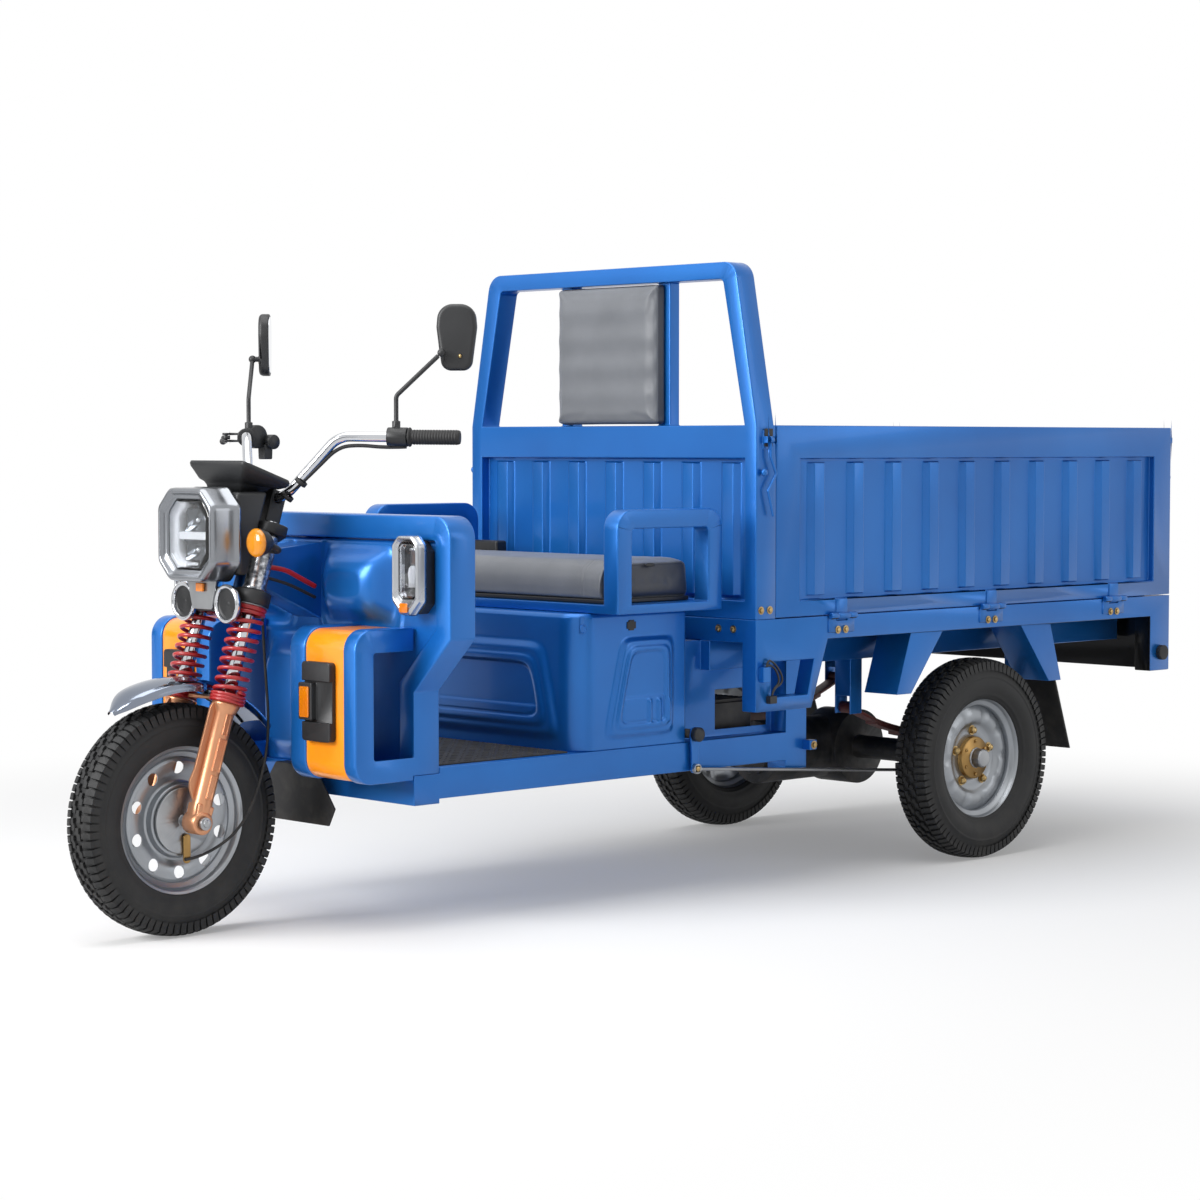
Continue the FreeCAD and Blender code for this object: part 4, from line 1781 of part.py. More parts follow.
def build_rear_axle():
    y, z = along(d.wheelbase), d.rear_wheel_radius
    tube = rod("x", (y, z), both_ways((HALF_TRACK - d.axle_tube_set_in)), d.axle_tube_radius)
    drum = rod("x", (y, z), ((HALF_TRACK - d.drum_inner_set_in), (HALF_TRACK - d.drum_outer_set_in)),
               d.drum_radius)
    stub = rod("x", (y, z), ((HALF_TRACK - d.drum_outer_set_in) - d.overrun, HALF_TRACK + d.stub_overhang),
               d.stub_radius)
    middle = UNDER_RAIL_INNER + d.under_rail_width / 2
    seat = box((middle - d.leaf_half_width, middle + d.leaf_half_width),
               (y - d.axle_tube_radius, y + d.axle_tube_radius), (z, z + d.axle_tube_radius + d.spring_pad))
    casing = rod("x", (y, z), both_ways(d.differential_half), d.differential_radius)
    motor_x = d.motor_shift_x
    motor_end = y - d.differential_radius - d.motor_length
    motor = rod("y", (motor_x, z), (motor_end, y), d.motor_radius)
    cap = rod("y", (motor_x, z), (motor_end - d.motor_cap, motor_end), d.motor_radius * d.motor_cap_share)
    return join(tube, drum, mirrored(drum), stub, mirrored(stub), seat, mirrored(seat), casing, motor, cap)


def leaf_shape(rise, half_span, low):
    """One curved leaf: its middle at height low, its ends higher by rise."""
    thick = float(d.leaf_thickness)
    middle = (float(along(d.hanger_front_y)) + float(along(d.hanger_rear_y))) / 2
    x = float(UNDER_RAIL_INNER + d.under_rail_width / 2 - d.leaf_half_width)

    def arc(bottom):
        return Vector(x, middle - half_span, bottom + rise), Vector(x, middle, bottom), \
            Vector(x, middle + half_span, bottom + rise)

    lower, upper = arc(low), arc(low + thick)
    face = Part.Face(Part.Wire([
        arc_through(*lower), line_between(lower[2], upper[2]), arc_through(*reversed(upper)),
        line_between(upper[0], lower[0])]))
    return face.extrude(Vector(2 * float(d.leaf_half_width), 0, 0))


def build_leaf_spring():
    """A stack of curved leaves that hangs from two eyes and carries the axle."""
    half = float(d.hanger_rear_y - d.hanger_front_y) / 2
    base = float(d.rear_wheel_radius + d.axle_tube_radius + d.spring_pad + d.running_gap)
    count = int(d.leaf_count)
    top = base + float(d.leaf_thickness) * (count - 1)
    rise = float(d.leaf_eye_z) - top - float(d.leaf_thickness) / 2
    leaves = []
    for index in range(count):
        share = 1 - float(d.leaf_step_share) * index
        low = top - float(d.leaf_thickness) * index
        leaves.append(shape_object(leaf_shape(rise * share * share, half * share, low)))
    middle = UNDER_RAIL_INNER + d.under_rail_width / 2
    span = (middle - d.leaf_half_width, middle + d.leaf_half_width)
    tools = []
    for hanger_y in (d.hanger_front_y, d.hanger_rear_y):
        leaves.append(rod("x", (along(hanger_y), d.leaf_eye_z), span, d.leaf_eye_radius))
        tools.append(rod("x", (along(hanger_y), d.leaf_eye_z), (span[0] - d.overrun, span[1] + d.overrun),
                         d.axle_radius + d.running_gap))
    return carve(join(*leaves), *tools)


def build_brake_shaft():
    """A cross-shaft behind the seat box with a hanging arm and a cap at each end."""
    y, z = along(d.brake_shaft_y), d.brake_shaft_z
    shaft = rod("x", (y, z), both_ways((d.floor_half_width + d.brake_shaft_overhang)), d.brake_shaft_radius)
    arm = new_body()
    half, drop = d.brake_arm_half, d.brake_arm_drop
    pad(arm, "YZ", [[(y - half, z - drop, half * d.arm_round_share), (y + half, z - drop,
                                                                      half * d.arm_round_share), (y + half,
                                                                                                  z + half),
                     (y - half, z + half)]], ((d.floor_half_width + d.brake_arm_overhang),
                                              (d.floor_half_width
                                               + d.brake_arm_overhang) + d.brake_arm_sheet))
    cap = rod("x", (y, z), ((d.floor_half_width + d.brake_shaft_overhang),
                            (d.floor_half_width
                             + d.brake_shaft_overhang) + d.brake_cap_length), d.brake_cap_radius)
    pin_z = z - drop + half
    pin = rod("x", (y, pin_z), ((d.floor_half_width + d.brake_arm_overhang),
                                (d.floor_half_width
                                 + d.brake_arm_overhang) + d.brake_pin_length), d.brake_pin_radius)
    return join(shaft, arm, mirrored(arm), cap, mirrored(cap), pin, mirrored(pin))


def build_brake_rods():
    """Pull rods from the hanging arms back to the rear drums."""
    y, z = along(d.brake_shaft_y), d.brake_shaft_z - d.brake_arm_drop + d.brake_arm_half
    x = (d.floor_half_width + d.brake_arm_overhang) + d.brake_arm_sheet + d.seat_gap
    eye = rod("x", (y, z), (x, x + d.rod_eye_sheet), d.rod_eye_radius)
    middle = float(x) + float(d.rod_eye_sheet) / 2
    start = Vector(middle, float(y), float(z))
    end = vector(d.floor_half_width + d.rod_rear_overhang, d.rod_rear_y, d.rod_rear_z)
    bar = rod_between(start, end, d.rod_radius)
    slot = box((x - d.overrun, x + d.rod_eye_sheet + d.overrun),
               (y - d.rod_slot_half, y + d.rod_slot_half), (z - d.rod_slot_half, z + d.rod_slot_half))
    return pair(carve(join(eye, bar), slot))


def build_all():
    node("chassis_frame", build_chassis())
    node("front_guard", build_guard())
    node("front_panel", build_panel())
    node("bumper_trims", build_trims())
    case, lamp_case = build_reflector_case(), build_lamp_case()
    node("lamp_cases", group(case, mirrored(case), lamp_case, mirrored(lamp_case)))
    reflector, marker = build_reflector(), build_lamp_marker()
    node("amber_markers", group(reflector, mirrored(reflector), marker, mirrored(marker)))
    node("side_lamp_bezels", pair(build_lamp_bezel()))
    node("side_lamp_lenses", pair(build_lamp_lens()))
    node("floor_mat", box(both_ways(d.floor_half_width - d.mat_margin),
                          (along(d.mat_front_y), along(d.mat_rear_y)),
                          (FLOOR_Z, FLOOR_Z + d.mat_thickness)))
    node("rubber_flaps", build_rubber())
    node("seat_box", build_seat_box())
    node("battery_pack", build_batteries())
    node("controller", build_controller())
    node("seat_tray", build_tray())
    node("seat_cushion", build_seat_cushion())
    node("backrest_cushion", build_backrest())
    node("headboard", build_headboard())
    node("bed_frame", build_bed_frame())
    wedges = build_fender()
    node("rear_fenders", group(*wedges, *[mirrored(wedge) for wedge in wedges]))
    node("tail_lamps", pair(build_tail_lamp()))
    gate = node("gate_left", build_side_gate())
    node("gate_right", mirrored(gate))
    node("tailgate", build_tailgate())
    hook = node("hook_front_left", build_front_hook())
    node("hook_front_right", mirrored(hook))
    hook = node("hook_rear_left", build_rear_hook())
    node("hook_rear_right", mirrored(hook))
    node("front_rim", place_front_wheel(build_front_rim()))
    node("front_tyre", place_front_wheel(build_tyre(d.front_tyre_half_width, d.front_wheel_radius)))
    rim = node("rear_rim_left", place_rear_wheel(build_rear_rim()))
    tyre = node("rear_tyre_left", place_rear_wheel(build_tyre(d.rear_tyre_half_width, d.rear_wheel_radius)))
    node("rear_rim_right", mirrored(rim))
    node("rear_tyre_right", mirrored(tyre))
    node("fork_yokes", build_yokes())
    node("fork_tubes", build_fork_tubes())
    node("fork_springs", build_springs())
    node("fork_legs", build_legs())
    node("front_axle", build_front_axle())
    node("front_brake_arm", build_front_brake_arm())
    node("front_brake_cable", build_brake_cable())
    node("front_fender", build_front_fender())
    node("handlebar", build_handlebar())
    node("left_grip", build_grip(d.bar_radius))
    node("throttle_grip", mirrored(build_grip(d.bar_radius + d.running_gap)))
    node("bar_controls", build_controls())
    node("horn_button", build_horn_button())
    node("brake_lever", build_brake_lever())
    mirror = node("mirror_left", build_mirror())
    node("mirror_right", mirrored(mirror))
    node("headlamp_case", build_headlamp_case())
    node("headlamp_bezel", build_headlamp_bezel())
    node("headlamp_lens", build_headlamp_lens())
    node("dashboard", build_dashboard())
    stalk, glass = build_indicator()
    node("indicator_stalks", pair(stalk))
    node("indicator_lenses", pair(glass))
    node("horns", pair(build_horn()))
    node("rear_axle", build_rear_axle())
    node("leaf_springs", pair(build_leaf_spring()))
    node("brake_shaft", build_brake_shaft())
    node("brake_rods", build_brake_rods())


def check_and_write():
    DOCUMENT.recompute()
    failed = [item.Label for item in DOCUMENT.Objects if "Invalid" in item.State or "Error" in item.State]
    for label, piece in NODES.items():
        if piece.Shape.isNull() or not piece.Shape.isValid() or not piece.Shape.Solids:
            failed.append(label)
    if failed:
        raise RuntimeError("these objects failed: " + ", ".join(failed))
    os.makedirs("parts", exist_ok=True)
    for label, piece in NODES.items():
        piece.Shape.exportStep(f"parts/{label}.step")
        print(f"{label}: {len(piece.Shape.Solids)} solids, {piece.Shape.Volume / 1000:.0f} cm3")


build_all()
check_and_write()
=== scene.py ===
# %% [markdown]
# # An electric cargo tricycle
# One front wheel on a sprung fork, two driven rear wheels, a bench seat and a steel cargo bed with three
# folding gates. The solid model gives every size and every joint. This lesson dresses it: each piece is
# loaded, rounded or rebuilt where the solid is plain, and given the finish of the real thing.

# %% Load the solid model
import json
import math

import bmesh
import bpy
from mathutils import Matrix, Vector
from mathutils.bvhtree import BVHTree


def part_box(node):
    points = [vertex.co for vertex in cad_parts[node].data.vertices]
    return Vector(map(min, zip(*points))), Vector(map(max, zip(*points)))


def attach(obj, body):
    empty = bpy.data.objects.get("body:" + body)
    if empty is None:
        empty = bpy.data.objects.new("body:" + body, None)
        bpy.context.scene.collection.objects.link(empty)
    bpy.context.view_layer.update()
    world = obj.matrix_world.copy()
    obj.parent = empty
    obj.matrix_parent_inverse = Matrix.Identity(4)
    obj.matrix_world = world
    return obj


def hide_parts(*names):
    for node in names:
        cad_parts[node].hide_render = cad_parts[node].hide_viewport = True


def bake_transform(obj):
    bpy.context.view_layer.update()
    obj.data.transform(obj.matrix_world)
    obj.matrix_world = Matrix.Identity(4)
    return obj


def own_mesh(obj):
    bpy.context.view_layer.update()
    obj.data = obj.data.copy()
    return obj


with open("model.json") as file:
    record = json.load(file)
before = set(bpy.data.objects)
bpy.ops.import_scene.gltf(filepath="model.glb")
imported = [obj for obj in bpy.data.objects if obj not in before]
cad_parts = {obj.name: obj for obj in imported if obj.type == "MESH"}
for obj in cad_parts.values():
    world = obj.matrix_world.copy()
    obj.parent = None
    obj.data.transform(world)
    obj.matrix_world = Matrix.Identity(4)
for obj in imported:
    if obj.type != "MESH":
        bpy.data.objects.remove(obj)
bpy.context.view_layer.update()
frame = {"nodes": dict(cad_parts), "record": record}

scene = bpy.context.scene
AXLE_Y = (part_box("front_tyre")[0].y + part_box("front_tyre")[1].y) / 2
print("front axle at y", AXLE_Y)

# %% [markdown]
# Sizes in this lesson are given in millimetres, as they were measured: x to the rider's left, y behind the
# front axle and z above the ground. `at` turns such a place into the model's frame. The fork leans back, so
# `on_fork` takes a place given square to the fork and along it. `linked` puts a new object into the scene.

# %% Places
MM = 0.001
RAKE = math.radians(17.5)
WHEEL_Z = 251
ORIGIN = Vector((0, 0, 0))
ACROSS, BACKWARD, UPWARD = Vector((1, 0, 0)), Vector((0, 1, 0)), Vector((0, 0, 1))


def linked(name, data):
    piece = bpy.data.objects.new(name, data)
    scene.collection.objects.link(piece)
    return piece


def at(x, y, z):
    return Vector((x * MM, AXLE_Y + y * MM, z * MM))


def on_fork(x, back, up):
    y = back * math.cos(RAKE) + up * math.sin(RAKE)
    z = WHEEL_Z - back * math.sin(RAKE) + up * math.cos(RAKE)
    return at(x, y, z)


FORK_AXIS = Vector((0, math.sin(RAKE), math.cos(RAKE)))
print("top of the fork:", [round(v, 3) for v in on_fork(0, 0, 664)])

# %% [markdown]
# The photograph was taken from the rider's left front, a little above the lamps, with a long lens. A long
# lens keeps the far wheel nearly as large as the near one, so the distance matters as much as the angle.

# %% Camera
camera = linked("camera", bpy.data.cameras.new("camera"))
yaw, pitch = math.radians(46.167), math.radians(3.08)
forward = Vector((-math.sin(yaw) * math.cos(pitch), math.cos(yaw) * math.cos(pitch), -math.sin(pitch)))
camera.location = (5.0956, -4.97355, 1.0551)
camera.rotation_euler = forward.to_track_quat("-Z", "Y").to_euler()
camera.data.sensor_width = 36
camera.data.lens = 86.74
scene.camera = camera
print("camera lens", camera.data.lens, "mm")

# %% [markdown]
# A white sweep, a large soft lamp overhead and a weaker one at each side. The background is white only to
# the camera and to mirror-like surfaces. Everything else is lit at a plain level, so that a colour
# comes out about as it is written. The floor turns to plain white away from the object and keeps its shadow
# near it.

# %% Studio
scene.view_settings.view_transform = "Standard"
world = bpy.data.worlds.new("studio")
scene.world = world
world.use_nodes = True
AMBIENT = 0.36
FLOOR_REACH = 30
LIT_PLACE = Vector((0, 0, 0.6))


def flat_sheet(name, wide, high):
    """A level rectangle about the origin. The sizes are half its sides."""
    mesh = bpy.data.meshes.new(name)
    mesh.from_pydata([(-wide, -high, 0), (wide, -high, 0), (wide, high, 0), (-wide, high, 0)], [],
                     [(0, 1, 2, 3)])
    return linked(name, mesh)


def facing(place):
    """The turn that lets a lamp or a card at a place look at the object."""
    return (LIT_PLACE - Vector(place)).to_track_quat("-Z", "Y").to_euler()


def seen_directly(tree):
    """A factor that is 1 for what the camera, a mirror or a glass sees."""
    path = tree.nodes.new("ShaderNodeLightPath")
    total = path.outputs["Is Camera Ray"]
    for name in ("Is Glossy Ray", "Is Transmission Ray"):
        step = tree.nodes.new("ShaderNodeMath")
        step.operation = "MAXIMUM"
        tree.links.new(total, step.inputs[0])
        tree.links.new(path.outputs[name], step.inputs[1])
        total = step.outputs[0]
    return total


def build_world(tree):
    tree.nodes.clear()
    soft = tree.nodes.new("ShaderNodeBackground")
    soft.inputs["Color"].default_value = (1, 1, 1, 1)
    soft.inputs["Strength"].default_value = AMBIENT
    white = tree.nodes.new("ShaderNodeBackground")
    white.inputs["Color"].default_value = (1, 1, 1, 1)
    mix = tree.nodes.new("ShaderNodeMixShader")
    output = tree.nodes.new("ShaderNodeOutputWorld")
    tree.links.new(seen_directly(tree), mix.inputs[0])
    tree.links.new(soft.outputs[0], mix.inputs[1])
    tree.links.new(white.outputs[0], mix.inputs[2])
    tree.links.new(mix.outputs[0], output.inputs[0])


def build_floor():
    floor = flat_sheet("floor", FLOOR_REACH, FLOOR_REACH)
    paper = bpy.data.materials.new("white paper")
    paper.use_nodes = True
    tree = paper.node_tree
    tree.nodes.clear()
    lit = tree.nodes.new("ShaderNodeBsdfDiffuse")
    lit.inputs["Color"].default_value = (0.86, 0.86, 0.86, 1)
    glow = tree.nodes.new("ShaderNodeEmission")
    place = tree.nodes.new("ShaderNodeTexCoord")
    distance = tree.nodes.new("ShaderNodeVectorMath")
    distance.operation = "LENGTH"
    fade = tree.nodes.new("ShaderNodeMapRange")
    fade.interpolation_type = "SMOOTHSTEP"
    fade.inputs["From Min"].default_value = 1.1
    fade.inputs["From Max"].default_value = 3.4
    fade.inputs["To Min"].default_value = 0.24
    share = tree.nodes.new("ShaderNodeMath")
    share.operation = "MULTIPLY"
    mix = tree.nodes.new("ShaderNodeMixShader")
    output = tree.nodes.new("ShaderNodeOutputMaterial")
    tree.links.new(place.outputs["Object"], distance.inputs[0])
    tree.links.new(distance.outputs["Value"], fade.inputs["Value"])
    tree.links.new(fade.outputs[0], share.inputs[0])
    tree.links.new(seen_directly(tree), share.inputs[1])
    tree.links.new(share.outputs[0], mix.inputs[0])
    tree.links.new(lit.outputs[0], mix.inputs[1])
    tree.links.new(glow.outputs[0], mix.inputs[2])
    tree.links.new(mix.outputs[0], output.inputs[0])
    floor.data.materials.append(paper)


def soft_lamp(name, place, size, power):
    light = bpy.data.lights.new(name, "AREA")
    light.shape = "RECTANGLE"
    light.size, light.size_y = size
    light.energy = power
    lamp = linked(name, light)
    lamp.location = place
    lamp.rotation_euler = facing(place)


def dark_card(name, place, size):
    """A black sheet that only mirrors see, so that bright metal has something dark to show."""
    card = flat_sheet(name, size[0] / 2, size[1] / 2)
    card.location = place
    card.rotation_euler = facing(place)
    black = bpy.data.materials.new(name)
    black.use_nodes = True
    black.node_tree.nodes["Principled BSDF"].inputs["Base Color"].default_value = (0.01, 0.01, 0.012, 1)
    card.data.materials.append(black)
    card.visible_camera = card.visible_diffuse = card.visible_shadow = card.visible_transmission = False


build_world(world.node_tree)
build_floor()
soft_lamp("overhead", (0.2, -1.2, 4.6), (4.0, 4.0), 130)
soft_lamp("front side", (-0.8, -6.0, 2.8), (2.6, 2.6), 330)
soft_lamp("left side", (5.2, 2.4, 2.2), (2.4, 2.4), 24)
dark_card("dark card left", (5.6, 0.4, 0.9), (2.6, 1.1))
dark_card("dark card front", (1.6, -6.4, 0.7), (2.2, 1.0))
dark_card("dark card right", (-5.0, -2.6, 1.0), (3.0, 1.4))
print("studio: three soft lamps and three dark cards, ambient", AMBIENT)

# %% [markdown]
# Effects that several finishes share are node groups. `tone` lets a colour and a roughness drift slowly over
# the surface, as paint and castings do. `grain` is a fine unevenness for bump. `edge wear and highlight`
# reads a mark that the rounding step leaves on edges and shows a lighter colour there in patches: partly
# wear, and partly a painted highlight, such as the lighter blue on the paint. `road dust` gathers low on the
# object.

# %% Shared shader groups


def new_group(name, inputs, outputs):
    group = bpy.data.node_groups.new(name, "ShaderNodeTree")
    kinds = {"colour": "NodeSocketColor", "value": "NodeSocketFloat"}
    for label, kind, start in inputs:
        socket = group.interface.new_socket(label, in_out="INPUT", socket_type=kinds[kind])
        socket.default_value = start
    for label, kind in outputs:
        group.interface.new_socket(label, in_out="OUTPUT", socket_type=kinds[kind])
    return group, group.nodes.new("NodeGroupInput"), group.nodes.new("NodeGroupOutput")


def maths(tree, operation, first, second):
    node = tree.nodes.new("ShaderNodeMath")
    node.operation = operation
    for socket, item in zip(node.inputs, (first, second)):
        if isinstance(item, (int, float)):
            socket.default_value = item
        else:
            tree.links.new(item, socket)
    return node.outputs[0]


def mixed(tree, share, first, second):
    """A mix of two colours. The mix node's colour sockets are known by number."""
    node = tree.nodes.new("ShaderNodeMix")
    node.data_type = "RGBA"
    for number, item in ((0, share), (6, first), (7, second)):
        tree.links.new(item, node.inputs[number])
    return node.outputs[2]


def noise(tree, scale, detail=3.0):
    place = tree.nodes.new("ShaderNodeTexCoord")
    node = tree.nodes.new("ShaderNodeTexNoise")
    node.inputs["Detail"].default_value = detail
    tree.links.new(place.outputs["Object"], node.inputs["Vector"])
    if isinstance(scale, (int, float)):
        node.inputs["Scale"].default_value = scale
    else:
        tree.links.new(scale, node.inputs["Scale"])
    return node.outputs["Fac"]


def spread(tree, value, low, high):
    """A value between two levels as a share from 0 to 1."""
    node = tree.nodes.new("ShaderNodeMapRange")
    node.inputs["From Min"].default_value = low
    node.inputs["From Max"].default_value = high
    tree.links.new(value, node.inputs["Value"])
    return node.outputs[0]


def tone_group():
    group, given, made = new_group(
        "tone", [("Colour", "colour", (0.5, 0.5, 0.5, 1)), ("Other", "colour", (0.4, 0.4, 0.4, 1)),
                 ("Scale", "value", 6.0), ("Roughness", "value", 0.5), ("Drift", "value", 0.1)],
        [("Colour", "colour"), ("Roughness", "value")])
    cloud = noise(group, given.outputs["Scale"])
    share = spread(group, cloud, 0.35, 0.65)
    shade = mixed(group, share, given.outputs["Colour"], given.outputs["Other"])
    group.links.new(shade, made.inputs["Colour"])
    around = maths(group, "SUBTRACT", cloud, 0.5)
    drift = maths(group, "MULTIPLY", around, given.outputs["Drift"])
    group.links.new(maths(group, "ADD", given.outputs["Roughness"], drift), made.inputs["Roughness"])
    return group


def grain_group():
    group, given, made = new_group(
        "grain", [("Scale", "value", 300.0), ("Cells", "value", 0.0)], [("Height", "value")])
    fine = noise(group, given.outputs["Scale"], 4.0)
    place = group.nodes.new("ShaderNodeTexCoord")
    cells = group.nodes.new("ShaderNodeTexVoronoi")
    cells.feature = "DISTANCE_TO_EDGE"
    group.links.new(place.outputs["Object"], cells.inputs["Vector"])
    group.links.new(given.outputs["Scale"], cells.inputs["Scale"])
    creases = spread(group, cells.outputs["Distance"], 0.0, 0.12)
    weighed = maths(group, "MULTIPLY", creases, given.outputs["Cells"])
    group.links.new(maths(group, "ADD", fine, weighed), made.inputs["Height"])
    return group


# Lighter edges in patches: partly real wear, partly a painted highlight on the rounded edges.
def edge_wear_and_highlight_group():
    group, given, made = new_group(
        "worn edge", [("Colour", "colour", (0.5, 0.5, 0.5, 1)), ("Bare", "colour", (0.7, 0.7, 0.7, 1)),
                      ("Amount", "value", 0.5)], [("Colour", "colour")])
    mark = group.nodes.new("ShaderNodeAttribute")
    mark.attribute_name = "edge"
    patches = spread(group, noise(group, 14.0, 5.0), 0.45, 0.7)
    mask = maths(group, "MULTIPLY", maths(group, "MULTIPLY", mark.outputs["Fac"], patches),
                 given.outputs["Amount"])
    shade = mixed(group, mask, given.outputs["Colour"], given.outputs["Bare"])
    group.links.new(shade, made.inputs["Colour"])
    return group


def dust_group():
    group, given, made = new_group(
        "road dust", [("Colour", "colour", (0.5, 0.5, 0.5, 1)), ("Dust", "colour", (0.3, 0.27, 0.23, 1)),
                      ("Amount", "value", 0.3)], [("Colour", "colour")])
    place = group.nodes.new("ShaderNodeTexCoord")
    parts = group.nodes.new("ShaderNodeSeparateXYZ")
    group.links.new(place.outputs["Object"], parts.inputs[0])
    low = spread(group, parts.outputs["Z"], 0.55, 0.05)
    patches = spread(group, noise(group, 22.0, 6.0), 0.4, 0.75)
    mask = maths(group, "MULTIPLY", maths(group, "MULTIPLY", low, patches), given.outputs["Amount"])
    shade = mixed(group, mask, given.outputs["Colour"], given.outputs["Dust"])
    group.links.new(shade, made.inputs["Colour"])
    return group


TONE, GRAIN, EDGE_WEAR_AND_HIGHLIGHT, DUST = tone_group(), grain_group(), edge_wear_and_highlight_group(), dust_group()
print("shader groups:", [group.name for group in (TONE, GRAIN, EDGE_WEAR_AND_HIGHLIGHT, DUST)])

# %% [markdown]
# One helper makes every opaque finish. Colours are written as they look on a screen and turned into the
# linear values that the shader wants. A second, nearby colour drifts in and out through `tone`. Lighter
# edges (partly wear, partly a painted highlight), dust and grain are added only where a finish asks for them.

# %% A helper for finishes


def linear(*levels):
    def one(level):
        share = level / 255
        return share / 12.92 if share <= 0.04045 else ((share + 0.055) / 1.055) ** 2.4
    return tuple(one(level) for level in levels) + (1.0,)


def place_group(tree, group, **values):
    node = tree.nodes.new("ShaderNodeGroup")
    node.node_tree = group
    for name, value in values.items():
        node.inputs[name].default_value = value
    return node


def painted_shade_in_panel(tree, shade, colour):
    """Another colour, a painted shade, where a piece's points say that they are inside a panel."""
    inside_by = tree.nodes.new("ShaderNodeAttribute")
    inside_by.attribute_name = "panel"
    mask = spread(tree, inside_by.outputs["Fac"], -0.4, 0.4)
    mix = tree.nodes.new("ShaderNodeMix")
    mix.data_type = "RGBA"
    mix.inputs[7].default_value = linear(*colour)
    tree.links.new(mask, mix.inputs[0])
    tree.links.new(shade, mix.inputs[6])
    return mix.outputs[2]


def finish(name, slot, colour, other, roughness=0.45, drift=0.12, scale=5.0, metallic=0.0, grain=0.0,
           grain_scale=300.0, cells=0.0, bare=None, worn=0.0, dust=0.0, panel=None, **plain):
    """A finish on the shader's own sockets, with shared groups for what changes over the surface."""
    made = bpy.data.materials.new(name)
    made.use_nodes = True
    tree = made.node_tree
    shader = tree.nodes["Principled BSDF"]
    shader.inputs["Metallic"].default_value = metallic
    for socket, value in plain.items():
        shader.inputs[socket.replace("_", " ").title().replace("Ior", "IOR")].default_value = value
    tone = place_group(tree, TONE, Colour=linear(*colour), Other=linear(*other), Scale=scale,
                       Roughness=roughness, Drift=drift)
    shade = tone.outputs["Colour"]
    tree.links.new(tone.outputs["Roughness"], shader.inputs["Roughness"])
    # The panel colour is painted shade, laid where a piece marks its shaded panel.
    if panel:
        shade = painted_shade_in_panel(tree, shade, panel)
    if worn:
        edge = place_group(tree, EDGE_WEAR_AND_HIGHLIGHT, Bare=linear(*bare), Amount=worn)
        tree.links.new(shade, edge.inputs["Colour"])
        shade = edge.outputs["Colour"]
    if dust:
        soil = place_group(tree, DUST, Amount=dust)
        tree.links.new(shade, soil.inputs["Colour"])
        shade = soil.outputs["Colour"]
    tree.links.new(shade, shader.inputs["Base Color"])
    if grain:
        fine = place_group(tree, GRAIN, Scale=grain_scale, Cells=cells)
        bump = tree.nodes.new("ShaderNodeBump")
        bump.inputs["Strength"].default_value = grain
        bump.inputs["Distance"].default_value = MM
        tree.links.new(fine.outputs["Height"], bump.inputs["Height"])
        tree.links.new(bump.outputs["Normal"], shader.inputs["Normal"])
    return made

# %% [markdown]
# The finishes of this object. The blue is a metallic car paint under clear coat. Plastic parts are moulded
# with a slight grain, rims are silver lacquer, the fork legs are bronze lacquer, springs are powder coated.

# %% Finishes
BLUES, GREYS = ((20, 108, 190), (17, 99, 178)), ((108, 111, 116), (99, 102, 107))
# The paint's lighter blue on its rounded edges is a painted highlight, not bare steel.
PAINT = dict(roughness=0.34, drift=0.10, scale=3.0, metallic=0.45, grain=0.03, grain_scale=900,
             bare=(110, 172, 232), worn=0.35, coat_weight=0.25, coat_roughness=0.10)
VINYL = dict(roughness=0.44, drift=0.14, scale=9.0, grain=0.16, grain_scale=520, cells=0.8, sheen_weight=0.12)
BLUE = finish("blue paint", "blue_paint", *BLUES, **PAINT)
# The bed's paint also turns black on its underside faces, as painted shade.
BLUE_WITH_PAINTED_SHADE = finish("coated blue paint", "blue_paint", *BLUES, panel=(9, 9, 10), **PAINT)
ORANGE = finish("orange plastic", "orange_plastic", (247, 148, 18), (240, 138, 12), 0.3, 0.08, 8.0,
                grain=0.03, grain_scale=500, coat_weight=0.4, coat_roughness=0.1)
BLACK = finish("black plastic", "black_plastic", (24, 25, 27), (32, 33, 35), 0.46, 0.14, 9.0, grain=0.12,
               grain_scale=700, bare=(70, 72, 75), worn=0.25)
RUBBER = finish("black rubber", "black_rubber", (20, 20, 21), (29, 29, 30), 0.62, 0.14, 7.0, grain=0.15,
                grain_scale=420, dust=0.25)
TYRE = finish("tyre rubber", "tyre_rubber", (15, 16, 18), (21, 22, 24), 0.66, 0.2, 11.0, grain=0.12,
              grain_scale=380, dust=0.05, bare=(38, 38, 40), worn=0.3)
LEATHER = finish("grey leather", "grey_leather", *GREYS, **VINYL)
# The cushions' cover turns darker grey on their sides, as painted shade.
COVER_WITH_PAINTED_SHADE = finish("seat cover", "grey_leather", *GREYS, panel=(58, 61, 68), **VINYL)
SILVER = finish("silver trim", "silver_trim", (190, 193, 197), (180, 183, 188), 0.27, 0.1, 6.0, metallic=0.95,
                grain=0.02, grain_scale=800, coat_weight=0.3)
SATIN = finish("satin silver", "silver_trim", (142, 145, 150), (132, 135, 140), 0.26, 0.1, 6.0, metallic=0.95,
               grain=0.02, grain_scale=800, coat_weight=0.2)
RIM = finish("silver rim", "silver_rim", (158, 162, 167), (146, 150, 155), 0.34, 0.14, 7.0, metallic=0.85,
             grain=0.05, grain_scale=500, dust=0.12, bare=(200, 203, 206), worn=0.3)
CHROME = finish("chrome", "chrome", (205, 207, 211), (196, 198, 202), 0.09, 0.08, 5.0, metallic=1.0,
                grain=0.01, grain_scale=200)
